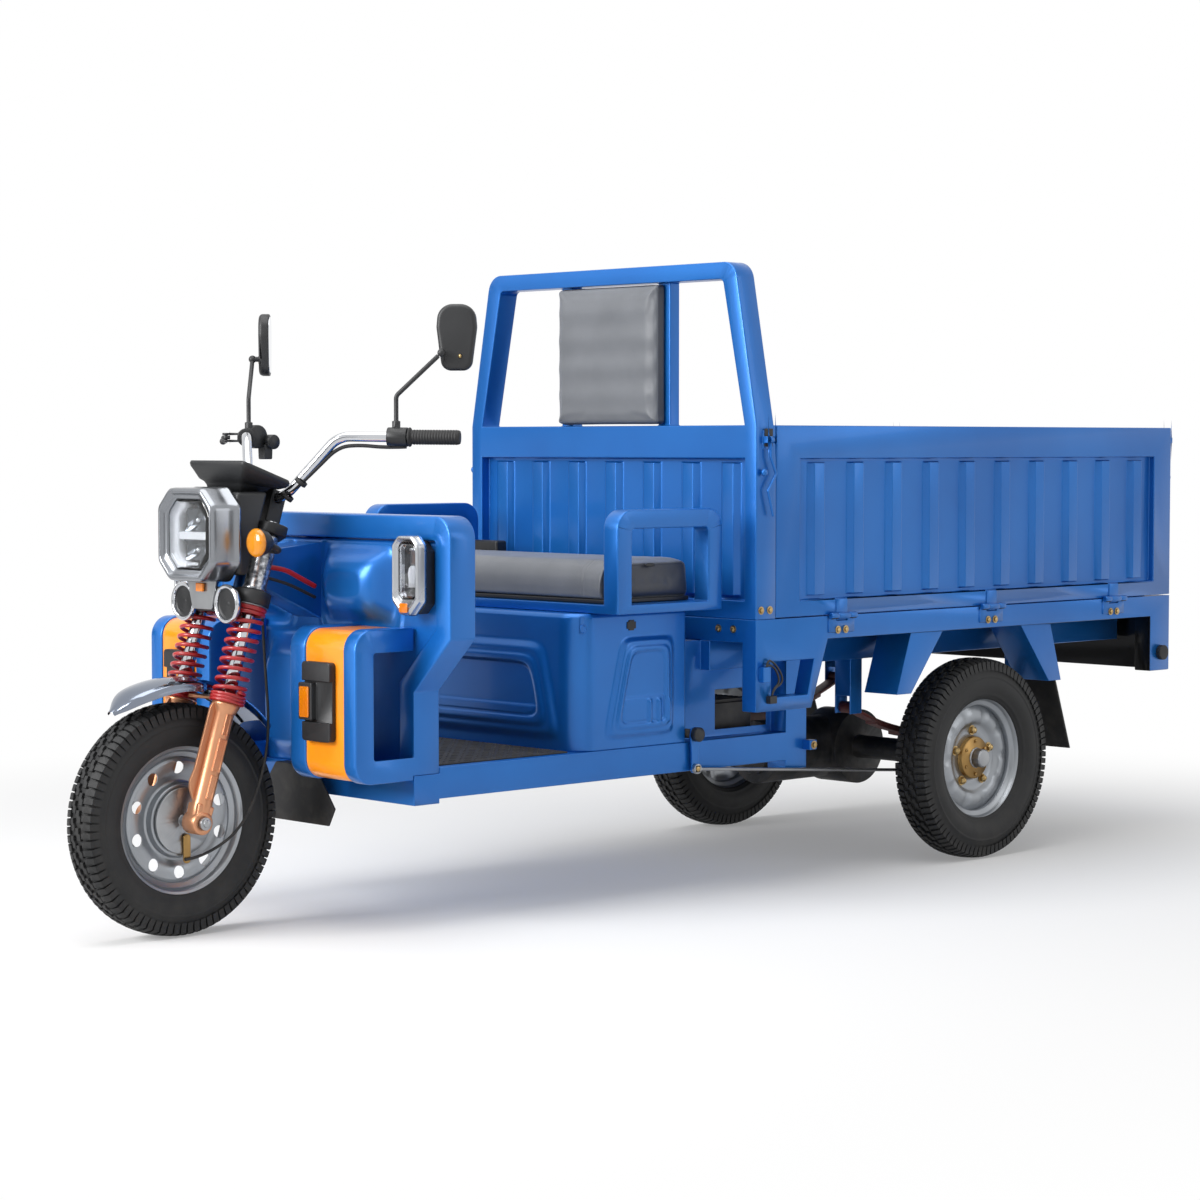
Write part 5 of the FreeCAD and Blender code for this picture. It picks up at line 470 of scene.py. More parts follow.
COPPER = finish("copper finish", "copper_finish", (204, 146, 110), (192, 134, 98), 0.34, 0.12, 8.0,
                metallic=0.7, grain=0.05, grain_scale=600, bare=(224, 170, 126), worn=0.5)
SPRING_RED = finish("red spring", "red_spring", (172, 28, 30), (156, 22, 25), 0.34, 0.12, 9.0, grain=0.05,
                    grain_scale=600, coat_weight=0.3)
BLACK_STEEL = finish("black steel", "black_steel", (30, 31, 33), (40, 41, 43), 0.5, 0.2, 8.0, metallic=0.3,
                     grain=0.12, grain_scale=350, dust=0.35, bare=(80, 80, 82), worn=0.4)
STEEL = finish("plain steel", "plain_steel", (168, 170, 172), (150, 152, 155), 0.32, 0.16, 12.0,
               metallic=0.95, grain=0.04, grain_scale=500)
GOLD = finish("gold steel", "gold_steel", (172, 138, 86), (150, 118, 70), 0.34, 0.16, 12.0, metallic=0.9,
              grain=0.05, grain_scale=500, bare=(226, 200, 140), worn=0.4)
BROWN = finish("brown steel", "brown_steel", (92, 34, 30), (74, 28, 26), 0.52, 0.16, 9.0, grain=0.12,
               grain_scale=350, dust=0.3, bare=(130, 70, 60), worn=0.4)
SPECKLED = finish("speckled silver", "chrome", (206, 208, 212), (70, 74, 82), 0.24, 0.1, 95.0, metallic=0.8)
MIRROR = finish("mirror glass", "chrome", (225, 228, 232), (220, 223, 228), 0.03, 0.02, 4.0, metallic=1.0)
AMBER = finish("amber lens", "amber_lens", (250, 150, 12), (238, 128, 6), 0.16, 0.06, 14.0, coat_weight=0.6,
               transmission_weight=0.35, ior=1.49)
# The indicator lens glows faintly: painted light that brightens an unlit lamp.
GLOWING_AMBER_GLASS = finish("amber glass", "amber_lens", (255, 170, 16), (255, 156, 6), 0.08, 0.04, 14.0,
                     transmission_weight=0.5, ior=1.45, coat_weight=0.6,
                     emission_color=linear(255, 150, 10), emission_strength=0.18)
FENDER_CHROME = finish("brushed chrome", "chrome", (136, 143, 156), (126, 133, 146), 0.15, 0.08, 5.0,
                       metallic=1.0)
RED_LENS = finish("red lens", "red_lens", (190, 16, 18), (170, 10, 14), 0.16, 0.06, 14.0, coat_weight=0.6,
                  transmission_weight=0.25, ior=1.49)
CLEAR = finish("clear lens", "clear_lens", (250, 252, 254), (246, 248, 252), 0.03, 0.02, 6.0,
               transmission_weight=1.0, ior=1.49)
BRASS = finish("brass bolt", "gold_steel", (192, 166, 118), (164, 138, 92), 0.3, 0.14, 30.0, metallic=0.95)
SMOKED = finish("smoked mirror", "chrome", (96, 100, 104), (70, 74, 78), 0.12, 0.06, 40.0, metallic=1.0)
PALE = finish("pale band", "silver_trim", (228, 230, 232), (220, 222, 225), 0.42, 0.08, 12.0)
RED_CABLE = finish("red cable", "red_spring", (186, 26, 28), (166, 20, 24), 0.4, 0.1, 30.0)

# %% [markdown]
# Every visible piece ends as a plain mesh at the origin, with its place in its vertices. `show` does the
# paperwork for a finished mesh: it links the object, gives it its finish, lets it ride on its body and hides
# the solid that it replaces.

# %% Helpers for pieces


def body_of_node(node):
    bodies = frame["record"]["behaviour"]["bodies"]
    return next(name for name, nodes in bodies.items() if node in nodes)


def show(name, mesh, material, body, nodes=(), smooth=True):
    piece = linked(name, mesh)
    if not mesh.materials:
        mesh.materials.append(material)
    if smooth:
        mesh.polygons.foreach_set("use_smooth", [True] * len(mesh.polygons))
    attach(piece, body)
    if nodes:
        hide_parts(*nodes)
    return piece


def taken_from(carrier, name):
    """The mesh that an object shows with all its modifiers. The object goes."""
    graph = bpy.context.evaluated_depsgraph_get()
    made = bpy.data.meshes.new_from_object(carrier.evaluated_get(graph))
    made.name = name
    bpy.data.objects.remove(carrier)
    return made


def baked(name, mesh, *modifiers):
    """The mesh that a row of modifiers makes. Each one is its kind and its settings."""
    carrier = linked(name + " carrier", mesh)
    for kind, settings in modifiers:
        modifier = carrier.modifiers.new(kind.lower(), kind)
        for setting, value in settings.items():
            setattr(modifier, setting, value)
    return taken_from(carrier, name)


def mesh_from(bm, name):
    mesh = bpy.data.meshes.new(name)
    bm.to_mesh(mesh)
    bm.free()
    return mesh

# %% [markdown]
# Sheet metal and mouldings never have knife edges: the narrow rounding along each edge catches the light.
# `soften` copies a solid's mesh, joins its loose triangles, clears the flat faces, splits hollow ones into
# plain ones and rounds every sharp edge. Where an edge has little room beside it, such as the rim of a thin
# sheet, the rounding is narrower. The new faces are marked, so that a finish can lighten them in patches,
# partly as wear and partly as a painted highlight.

# %% Rounded copies of solids
MERGE = 2e-6
FLAT = math.radians(0.6)
SHARP = math.radians(24)
ALONG = math.cos(math.radians(28))
ROOM_SHARE = 0.42


def room_beside(edge):
    """The shortest edge that leaves one end of this edge sideways."""
    way = (edge.verts[1].co - edge.verts[0].co).normalized()
    room = 1.0
    for corner in edge.verts:
        for other in corner.link_edges:
            if other is edge:
                continue
            side = other.other_vert(corner).co - corner.co
            if side.length > MERGE and abs(side.normalized().dot(way)) < ALONG:
                room = min(room, side.length)
    return room


def rounded(mesh, name, width, segments=2, sharp=SHARP):
    bm = bmesh.new()
    bm.from_mesh(mesh)
    bmesh.ops.remove_doubles(bm, verts=bm.verts, dist=MERGE)
    bmesh.ops.dissolve_limit(bm, angle_limit=FLAT, verts=bm.verts, edges=bm.edges)
    bmesh.ops.connect_verts_concave(bm, faces=bm.faces)
    weight = bm.edges.layers.float.new("bevel_weight_edge")
    for edge in bm.edges:
        if len(edge.link_faces) == 2 and edge.calc_face_angle(0) > sharp:
            edge[weight] = min(1.0, ROOM_SHARE * room_beside(edge) / width)
    for face in bm.faces:
        face.smooth = True
        face.material_index = 0
    plain = mesh_from(bm, name)
    made = baked(name, plain, ("BEVEL", {
        "limit_method": "WEIGHT", "width": width, "segments": segments, "use_clamp_overlap": False,
        "material": 1, "harden_normals": True, "miter_outer": "MITER_SHARP"}))
    mark_edges(made)
    return made


def mark_edges(mesh):
    """Turn the rounding's material index into a mark that finishes can read."""
    marks = [0] * len(mesh.polygons)
    mesh.polygons.foreach_get("material_index", marks)
    edge = mesh.attributes.new("edge", "FLOAT", "FACE")
    edge.data.foreach_set("value", [float(mark > 0) for mark in marks])
    mesh.polygons.foreach_set("material_index", [0] * len(marks))
    mesh.materials.clear()


def soften(node, width, material, segments=2):
    made = rounded(frame["nodes"][node].data, node + "_skin", width * MM, segments)
    piece = show(made.name, made, material, body_of_node(node), [node])
    print(f"{node}: {len(made.polygons)} faces, edges rounded to {width} mm")
    return piece

# %% [markdown]
# Round pieces are turned from a profile, as on a lathe. A profile is a list of (along, radius) pairs. Long
# pieces follow a line of points, and flat pieces are an outline with a thickness.

# %% Turned, bent and cut shapes


def ramp(value, start, end):
    share = min(1.0, max(0.0, (value - start) / (end - start)))
    return share * share * (3 - 2 * share)


def frame_of(axis):
    """Two directions square to an axis and to each other."""
    axis = axis.normalized()
    side = axis.cross(UPWARD)
    if side.length < 0.1:
        side = axis.cross(BACKWARD)
    side.normalize()
    return side, axis.cross(side).normalized()


def quads(bm, rows, closed=False):
    """Faces between rows of corners. A closed row joins its end to its start."""
    for low, high in zip(rows, rows[1:]):
        count = len(low)
        for index in range(count if closed else count - 1):
            nxt = (index + 1) % count
            bm.faces.new((low[index], low[nxt], high[nxt], high[index]))


def turned(name, profile, centre, axis, segments=64, closed=False):
    """A profile in millimetres turned about an axis. A closed profile is a ring in section."""
    bm = bmesh.new()
    axis = axis.normalized()
    side, up = frame_of(axis)
    rings = []
    for step in range(segments):
        turn = math.tau * step / segments
        out = side * math.cos(turn) + up * math.sin(turn)
        rings.append([bm.verts.new(centre + axis * (a * MM) + out * (r * MM)) for a, r in profile])
    quads(bm, rings + rings[:1], closed)
    bmesh.ops.remove_doubles(bm, verts=bm.verts, dist=MERGE)
    bmesh.ops.recalc_face_normals(bm, faces=bm.faces)
    return mesh_from(bm, name)


def tube(name, points, radius, sides=16, smooth_spline=False):
    """A round bar along points, as a closed mesh. The radius is in millimetres."""
    curve = bpy.data.curves.new(name, "CURVE")
    curve.dimensions = "3D"
    curve.bevel_depth = radius * MM
    curve.bevel_resolution = sides // 4
    curve.use_fill_caps = True
    spline = curve.splines.new("NURBS" if smooth_spline else "POLY")
    spline.points.add(len(points) - 1)
    for point, place in zip(spline.points, points):
        point.co = (*place, 1)
    if smooth_spline:
        spline.order_u = 3
        spline.use_endpoint_u = True
        spline.resolution_u = 10
    mesh = taken_from(linked(name + " line", curve), name)
    bm = bmesh.new()
    bm.from_mesh(mesh)
    bmesh.ops.remove_doubles(bm, verts=bm.verts, dist=MERGE)
    bm.to_mesh(mesh)
    bm.free()
    return mesh


def thick(name, corners, shift):
    """A flat outline pulled out into a solid."""
    bm = bmesh.new()
    face = bm.faces.new([bm.verts.new(corner) for corner in corners])
    made = bmesh.ops.extrude_face_region(bm, geom=[face])
    far = [item for item in made["geom"] if isinstance(item, bmesh.types.BMVert)]
    bmesh.ops.translate(bm, verts=far, vec=shift)
    bmesh.ops.recalc_face_normals(bm, faces=bm.faces)
    return mesh_from(bm, name)


def plate(name, outline, depth, place, width=0.0):
    """An outline of (across, up) pairs in millimetres, given a depth along +Y and rounded edges."""
    mesh = thick(name, [(x * MM, 0, z * MM) for x, z in outline], (0, depth * MM, 0))
    mesh.transform(Matrix.Translation(place))
    return rounded(mesh, name, width * MM, 3) if width else mesh


def slab(name, x, z, depth, y, width=0.0):
    """A plate between two places across and two heights, with its front at y."""
    outline = [(x[0], z[0]), (x[1], z[0]), (x[1], z[1]), (x[0], z[1])]
    return plate(name, outline, depth, at(0, y, 0), width)


def joined(name, *meshes):
    """Several meshes as one."""
    bm = bmesh.new()
    for mesh in meshes:
        bm.from_mesh(mesh)
    return mesh_from(bm, name)


def mirrored(mesh, name):
    """The same mesh on the other side of the object."""
    bm = bmesh.new()
    bm.from_mesh(mesh)
    bmesh.ops.scale(bm, verts=bm.verts, vec=(-1, 1, 1))
    bmesh.ops.reverse_faces(bm, faces=bm.faces)
    return mesh_from(bm, name)


def both_sides(name, mesh):
    return joined(name, mesh, mirrored(mesh, name + " other"))


def flat_ends(mesh):
    """Smooth skin with flat end faces."""
    mesh.polygons.foreach_set("use_smooth", [len(face.vertices) < 5 for face in mesh.polygons])


print("shapes: turned, bent, plate and their copies")

# %% [markdown]
# What repeats is made by two small node trees. One sets copies of a shape round a ring, for treads, wheel
# nuts and holes. The other sets a copy on every point of a mesh, for bolts and the bars of the mat.

# %% Node trees for repeats
SOCKETS = {"count": "NodeSocketInt", "place": "NodeSocketVector", "shape": "NodeSocketObject",
           "finish": "NodeSocketMaterial"}


def new_tree(name, inputs):
    tree = bpy.data.node_groups.new(name, "GeometryNodeTree")
    tree.interface.new_socket("Geometry", in_out="INPUT", socket_type="NodeSocketGeometry")
    for label, kind in inputs:
        tree.interface.new_socket(label, in_out="INPUT", socket_type=SOCKETS[kind])
    tree.interface.new_socket("Geometry", in_out="OUTPUT", socket_type="NodeSocketGeometry")
    return tree, tree.nodes.new("NodeGroupInput"), tree.nodes.new("NodeGroupOutput")


def close_tree(tree, given, made, geometry):
    real = tree.nodes.new("GeometryNodeRealizeInstances")
    paint = tree.nodes.new("GeometryNodeSetMaterial")
    tree.links.new(geometry, real.inputs[0])
    tree.links.new(real.outputs[0], paint.inputs["Geometry"])
    tree.links.new(given.outputs["Finish"], paint.inputs["Material"])
    tree.links.new(paint.outputs[0], made.inputs[0])
    return tree


def shape_from(tree, given):
    info = tree.nodes.new("GeometryNodeObjectInfo")
    tree.links.new(given.outputs["Shape"], info.inputs["Object"])
    return info.outputs["Geometry"]


def ring_tree():
    tree, given, made = new_tree("ring of copies", [
        ("Count", "count"), ("Centre", "place"), ("Shape", "shape"), ("Finish", "finish")])
    points = tree.nodes.new("GeometryNodePoints")
    index = tree.nodes.new("GeometryNodeInputIndex")
    step = maths(tree, "DIVIDE", math.tau, given.outputs["Count"])
    angle = maths(tree, "MULTIPLY", index.outputs[0], step)
    turn = tree.nodes.new("ShaderNodeCombineXYZ")
    copies = tree.nodes.new("GeometryNodeInstanceOnPoints")
    shift = tree.nodes.new("GeometryNodeTransform")
    tree.links.new(given.outputs["Count"], points.inputs["Count"])
    tree.links.new(angle, turn.inputs["X"])
    tree.links.new(points.outputs[0], copies.inputs["Points"])
    tree.links.new(shape_from(tree, given), copies.inputs["Instance"])
    tree.links.new(turn.outputs[0], copies.inputs["Rotation"])
    tree.links.new(copies.outputs[0], shift.inputs["Geometry"])
    tree.links.new(given.outputs["Centre"], shift.inputs["Translation"])
    return close_tree(tree, given, made, shift.outputs[0])


def points_tree():
    tree, given, made = new_tree("copies on points", [("Shape", "shape"), ("Finish", "finish")])
    points = tree.nodes.new("GeometryNodeMeshToPoints")
    copies = tree.nodes.new("GeometryNodeInstanceOnPoints")
    tree.links.new(given.outputs["Geometry"], points.inputs["Mesh"])
    tree.links.new(points.outputs[0], copies.inputs["Points"])
    tree.links.new(shape_from(tree, given), copies.inputs["Instance"])
    return close_tree(tree, given, made, copies.outputs[0])


RING, ON_POINTS = ring_tree(), points_tree()


def grown(tree, name, base, **values):
    """The plain mesh that a tree makes from a base mesh and its named inputs."""
    carrier = linked(name + " carrier", base)
    modifier = carrier.modifiers.new("copies", "NODES")
    modifier.node_group = tree
    for item in tree.interface.items_tree:
        if item.in_out == "INPUT" and item.name in values:
            modifier[item.identifier] = values[item.name]
    return taken_from(carrier, name)


def ring_of(name, shape, count, centre, material):
    pattern = linked(name + " pattern", shape)
    mesh = grown(RING, name, bpy.data.meshes.new(name + " base"), Count=count, Centre=centre, Shape=pattern,
                 Finish=material)
    bpy.data.objects.remove(pattern)
    return mesh


def copies_at(name, shape, places, material):
    pattern = linked(name + " pattern", shape)
    base = bpy.data.meshes.new(name + " base")
    base.from_pydata([tuple(place) for place in places], [], [])
    mesh = grown(ON_POINTS, name, base, Shape=pattern, Finish=material)
    bpy.data.objects.remove(pattern)
    return mesh


print("trees:", RING.name, "and", ON_POINTS.name)

# %% [markdown]
# The painted steel: floor frame, front guard, seat box, seat tray, headboard, bed and gates. These are welded
# box tubes and folded sheets, so the solids are right as they are and only need their edges rounded.

# %% Painted steel
soften("chassis_frame", 2.0, BLUE)
soften("front_guard", 4.0, BLUE, 3)
soften("seat_tray", 4.0, BLUE, 3)
soften("headboard", 3.0, BLUE, 3)
bed = soften("bed_frame", 2.5, BLUE_WITH_PAINTED_SHADE)
STEP_END, TAIL, BED_UNDERSIDE = 1540, 2800, 645


def painted_underside_shade(mesh):
    """Mark the faces behind the step that look down or into the underside, which get black painted shade."""
    marks = []
    for face in mesh.polygons:
        spot, way = face.center, face.normal
        inward = way.x * spot.x < -0.5 * abs(spot.x) or (way.y < -0.5 and spot.y > at(0, TAIL, 0).y)
        under = spot.z < BED_UNDERSIDE * MM and spot.y > at(0, STEP_END, 0).y
        marks.append(1.0 if under and (way.z < -0.6 or inward) else -1.0)
    mark = mesh.attributes.new("panel", "FLOAT", "FACE")
    mark.data.foreach_set("value", marks)
    print("undercoat on", sum(value > 0 for value in marks), "faces")


painted_underside_shade(bed.data)
soften("rear_fenders", 1.5, BLUE)
for gate in ("gate_left", "gate_right", "tailgate"):
    soften(gate, 2.5, BLUE)

# %% [markdown]
# Plastic and rubber pieces round the front, and the fittings under the seat.

# %% Plastic and rubber
soften("bumper_trims", 2.0, ORANGE, 3)
soften("lamp_cases", 2.0, BLACK, 3)
soften("amber_markers", 1.2, AMBER, 2)
soften("rubber_flaps", 1.5, RUBBER)
soften("floor_mat", 1.2, RUBBER)
soften("controller", 1.5, BLACK_STEEL)
soften("battery_pack", 3.0, BLACK)
soften("tail_lamps", 2.0, RED_LENS, 3)
soften("headlamp_case", 8.0, BLACK, 3)

# %% [markdown]
# The rest of the running gear.

# %% Running gear
soften("fork_yokes", 3.0, BLACK_STEEL, 3)
soften("front_axle", 1.2, STEEL)
soften("front_brake_arm", 1.2, GOLD)
soften("handlebar", 1.0, CHROME)
soften("bar_controls", 1.5, BLACK)
soften("horn_button", 1.0, BLACK)
soften("brake_lever", 1.0, BLACK)
soften("mirror_left", 2.0, BLACK)
soften("mirror_right", 2.0, BLACK)
soften("indicator_stalks", 1.5, BLACK)
soften("rear_axle", 2.0, BLACK_STEEL)
soften("brake_rods", 0.8, STEEL)
for hook in ("hook_front_left", "hook_front_right", "hook_rear_left", "hook_rear_right"):
    soften(hook, 0.8, BLUE)
springs = soften("leaf_springs", 1.0, BROWN)
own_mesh(springs)

# %% [markdown]
# A tyre is a turned carcass with rubber blocks on it. The carcass has a bead, a bulging flank with two thin
# rings and a crown. The blocks are one pitch of tread, bent to the wheel's radius, that a node tree repeats
# round the wheel: two rows of stepped blocks in the middle and two lugs over each shoulder.

# %% Tyres
TREAD_DEPTH, BEAD_RADIUS, WHEEL_SEGMENTS = 6.5, 151.0, 112
FLANK = [(0.63, 0.0), (0.66, 0.06), (0.76, 0.10), (0.80, 0.115), (0.80, 0.145), (0.88, 0.21), (0.95, 0.30),
         (0.985, 0.40), (0.97, 0.52), (0.955, 0.56), (0.975, 0.575), (0.97, 0.60), (0.945, 0.615),
         (0.91, 0.72), (0.87, 0.82), (0.81, 0.90), (0.72, 0.955), (0.55, 0.985), (0.28, 1.0)]


def tyre_carcass(name, half, radius, centre):
    bead, crown = BEAD_RADIUS, radius - TREAD_DEPTH
    rise = crown - bead
    side = [(half * across, bead + rise * up) for across, up in FLANK]
    outside = side + [(-a, r) for a, r in reversed(side)]
    inside = [(-half * 0.55, bead + 2), (-half * 0.8, bead + rise * 0.4), (-half * 0.6, crown - 10),
              (half * 0.6, crown - 10), (half * 0.8, bead + rise * 0.4), (half * 0.55, bead + 2)]
    return turned(name, outside + inside, centre, ACROSS, WHEEL_SEGMENTS, closed=True)


def tread_block(bm, corners, half, radius, wrap):
    """One block from its plan of (across, along) corners. A wrapped block runs down the shoulder."""
    middle = Vector((sum(c[0] for c in corners), sum(c[1] for c in corners))) / len(corners)
    levels = []
    for drop, shrink in ((TREAD_DEPTH + 3.0, 1.03), (1.3, 1.0), (0.0, 0.93)):
        ring = []
        for across, along in corners:
            x = middle.x + (across - middle.x) * shrink
            t = middle.y + (along - middle.y) * shrink
            edge = abs(x) / half
            r = radius - 0.0026 * x * x - drop
            if wrap and edge > 0.84:
                x = math.copysign(half * (0.985 if drop > 2 else 0.93), x)
                r = radius - (31 if drop > 2 else 9 + drop * 6)
            angle = t / radius
            ring.append(bm.verts.new((x * MM, -r * MM * math.sin(angle), r * MM * math.cos(angle))))
        levels.append(ring)
    quads(bm, levels, closed=True)
    bm.faces.new(levels[-1])


def tread_pitch(name, half, radius, length):
    """One pitch of tread at the top of a wheel whose centre is the origin."""
    bm = bmesh.new()
    for way in (1, -1):
        shift = 0 if way > 0 else length / 2
        step = [(1.5, -13), (12, -13), (12, -2), (17.5, 3), (17.5, 14), (7, 14), (7, 4), (1.5, -2)]
        tread_block(bm, [(way * x, way * t + shift - length * 0.25) for x, t in step], half, radius, False)
        for part in (0, 1):
            low = -length / 2 + part * length / 2 + 1.4
            high = low + length / 2 - 3.2
            lug = [(20.5, low + 2), (half * 0.7, low), (half * 0.92, low + 0.5), (half * 0.92, high - 0.5),
                   (half * 0.7, high), (20.5, high - 1)]
            tread_block(bm, [(way * x, t + way * 3) for x, t in lug], half, radius, True)
    bmesh.ops.recalc_face_normals(bm, faces=bm.faces)
    return mesh_from(bm, name)


def dress_tyre(node, half, radius, pitches):
    low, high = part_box(node)
    centre = (low + high) / 2
    length = math.tau * radius / pitches
    carcass = tyre_carcass(node + "_carcass", half, radius, centre)
    pitch = tread_pitch(node + " pitch", half, radius, length)
    tread = ring_of(node + "_tread", pitch, pitches, centre, TYRE)
    body = body_of_node(node)
    show(carcass.name, carcass, TYRE, body, [node])
    show(tread.name, tread, TYRE, body, smooth=False)
    print(f"{node}: {len(carcass.polygons)} carcass faces, {len(tread.polygons)} tread faces")


dress_tyre("front_tyre", 46, 251, 42)
dress_tyre("rear_tyre_left", 50, 256, 44)
dress_tyre("rear_tyre_right", 50, 256, 44)

# %% [markdown]
# The rims are pressed steel: a rolled lip, a stepped bed for the tyre and a welded disc. Barrel and disc are
# turned from their sections. The front disc has ten round holes, cut with a boolean and rounded, and closes
# on the brake drum. The rear disc bulges into a ribbed ring round five wheel nuts and a gold hub.

# %% Rims
BARREL_FACE = [(30.0, 166.2), (33.4, 167.2), (35.6, 165.6), (35.8, 162.8), (33.8, 160.2), (32.4, 155),
               (29.5, 149.8), (20, 148.6), (17.2, 146), (15.4, 137), (12.5, 134.4)]
BARREL_BACK = [(13, 138.6), (17.6, 151.6), (29.6, 152.6)]


def barrel(name, centre):
    face = BARREL_FACE + [(-a, r) for a, r in reversed(BARREL_FACE)]
    back = [(-a, r) for a, r in reversed(BARREL_BACK)]
    loop = face + back + BARREL_BACK
    return turned(name, loop, centre, ACROSS, WHEEL_SEGMENTS, closed=True)


def sheet_ring(name, face, thickness, centre, way=1):
    """A turned sheet whose face is given from the rim inwards, with its back behind it."""
    back = [(a - thickness, r) for a, r in reversed(face)]
    loop = [(a * way, r) for a, r in face + back]
    return turned(name, loop, centre, ACROSS, WHEEL_SEGMENTS, closed=True)


def pierced(name, mesh, circle, radius, count, centre, span):
    """Round holes through a disc, parallel to the axle."""
    profile = [(span[0], 0), (span[0], radius), (span[1], radius), (span[1], 0)]
    drill = turned(name + " drill", profile, Vector((0, 0, circle * MM)), ACROSS, 28)
    drills = ring_of(name + " drills", drill, count, centre, RIM)
    cutter = linked(name + " cutter", drills)
    made = baked(name, mesh, ("BOOLEAN", {"object": cutter, "operation": "DIFFERENCE", "solver": "EXACT"}))
    bpy.data.objects.remove(cutter)
    return made


def front_rim():
    low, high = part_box("front_rim")
    centre = (low + high) / 2
    face = [(13, 136), (17, 133.5), (20.5, 128), (21, 120), (19.5, 108), (16.5, 98), (13.5, 92), (12.5, 86),
            (14.5, 81.5), (22, 80), (28.5, 78.5), (30.4, 76), (30.6, 71)]
    disc = sheet_ring("front_disc", face, 3.4, centre)
    disc = pierced("front_disc", disc, 113, 13.5, 10, centre, (0, 40))
    profile = [(-30, 9), (-31, 40), (-30, 58), (-24, 66), (10, 68), (24, 70), (24, 9)]
    drum = turned("front_drum", profile, centre, ACROSS, 72, closed=True)
    disc = rounded(disc, "front disc", 1.3 * MM)
    made = joined("front_rim_steel", barrel("front barrel", centre), disc, drum)
    show("front_rim_steel", made, RIM, "front_wheel", ["front_rim"])
    print("front rim:", len(made.polygons), "faces")


def hexagon_nut(name, width, height, dome):
    """A hexagon nut or bolt head on the X axis, standing on x = 0."""
    profile = [(0, 0), (0, width), (height * 0.85, width), (height, width * 0.88),
               (height + dome * 0.7, width * 0.5), (height + dome, 0)]
    bm = bmesh.new()
    rings = []
    for a, r in profile:
        ring = []
        for step in range(6):
            turn = math.tau * step / 6
            ring.append(bm.verts.new((a * MM, r * MM * math.cos(turn), r * MM * math.sin(turn))))
        rings.append(ring)
    quads(bm, rings, closed=True)
    bmesh.ops.remove_doubles(bm, verts=bm.verts, dist=MERGE)
    bmesh.ops.recalc_face_normals(bm, faces=bm.faces)
    return mesh_from(bm, name)


def moved(mesh, shift):
    mesh.transform(Matrix.Translation(shift))
    return mesh


def ribbed(mesh, centre, count, radii, height, way):
    """Raise narrow radial ribs on a disc between two radii."""
    for vert in mesh.vertices:
        out = vert.co - centre
        radius = math.hypot(out.y, out.z) / MM
        rib = ramp(math.cos(math.atan2(out.z, out.y) * count), 0.35, 0.8)
        lift = height * rib * ramp(radius, radii[0], radii[0] + 9) * ramp(radii[1] - radius, 0, 9)
        vert.co.x += way * lift * MM


HUB = [(-44, 18), (-44, 57), (-6, 58), (-4, 54), (9, 54), (11.5, 51.5), (11.5, 33), (14, 30), (14, 18)]
HUB_CAP = [(11, 0), (11, 27), (15, 27), (17, 24.5), (38, 23.5), (41, 21), (41.8, 16), (41.2, 0)]
NUT_CIRCLE, SCREW_CIRCLE = 70, 43


def rear_rim(side, way):
    node, body = "rear_rim_" + side, "rear_wheel_" + side
    tyre_low, tyre_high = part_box("rear_tyre_" + side)
    centre = (tyre_low + tyre_high) / 2
    face = [(-3, 137.5), (1.5, 136), (3, 133), (8, 126), (13, 116), (14.5, 106), (13, 97), (8, 90), (2, 85.5),
            (-1, 80), (-2, 70), (-2, 30)]
    disc = sheet_ring(node + " disc", face, 3.6, centre, way)
    ribbed(disc, centre, 10, (92, 132), -3.2, way)
    steel = joined(node + "_steel", barrel(node + " barrel", centre), disc)
    show(steel.name, steel, RIM, body, [node])
    axle = Vector((way, 0, 0))
    hub = turned(node + "_hub", HUB, centre, axle, 72, closed=True)
    show(hub.name, hub, GOLD, body)
    cap = rounded(turned(node + "_cap", HUB_CAP, centre, axle, 12), node + "_cap", 1.2 * MM)
    show(cap.name, cap, STEEL, body)

    def round_the_hub(name, shape, count, material):
        ring = ring_of(name, shape, count, ORIGIN, material)
        if way < 0:
            ring = mirrored(ring, name)
            ring.materials.append(material)
        show(ring.name, moved(ring, centre), material, body, smooth=False)

    nut = moved(hexagon_nut(node + " nut", 9.5, 11, dome=5), Vector((-1.5, 0, NUT_CIRCLE)) * MM)
    washer = turned(node + " washer", [(-2, 0), (-2, 12.5), (0.4, 12.5), (0.6, 9)],
                    Vector((0, 0, NUT_CIRCLE)) * MM, ACROSS, 20)
    round_the_hub(node + "_nuts", joined("nut set", nut, washer), 5, BRASS)
    screw = moved(hexagon_nut(node + " screw", 4.6, 3.2, dome=0.6), Vector((11.2, 0, SCREW_CIRCLE)) * MM)
    round_the_hub(node + "_screws", screw, 6, GOLD)
    print(node + ":", len(steel.polygons), "steel faces")


front_rim()
rear_rim("left", 1)
rear_rim("right", -1)

# %% [markdown]
# Pressed sheets have no sharp edges at all: a die pushes the steel out and every step flows into the next.
# So these are fine grids of quads, pushed out by a height that depends on how far a point lies inside the
# pressing's outline. `inside` measures that distance and rounds the corners, `ramp` makes a soft step.

# %% Pressed sheets


def inside(outline, x, y, soft):
    """About how far a point lies inside a convex outline that runs anticlockwise, in millimetres."""
    total = 0.0
    for (ax, ay), (bx, by) in zip(outline, outline[1:] + outline[:1]):
        away = ((bx - ax) * (y - ay) - (by - ay) * (x - ax)) / math.hypot(bx - ax, by - ay)
        total += math.exp(min(60.0, -away / soft))
    return -soft * math.log(total)


def steps_between(start, end, spacing):
    count = max(1, round(abs(end - start) / spacing))
    return [start + (end - start) * step / count for step in range(count + 1)]


PANEL_FRONT, PANEL_SHEET = 370, 2.5
BULGE = [(62, 662), (308, 662), (308, 842), (62, 842)]
BELLY = [(-140, 346), (140, 346), (140, 636), (-140, 636)]


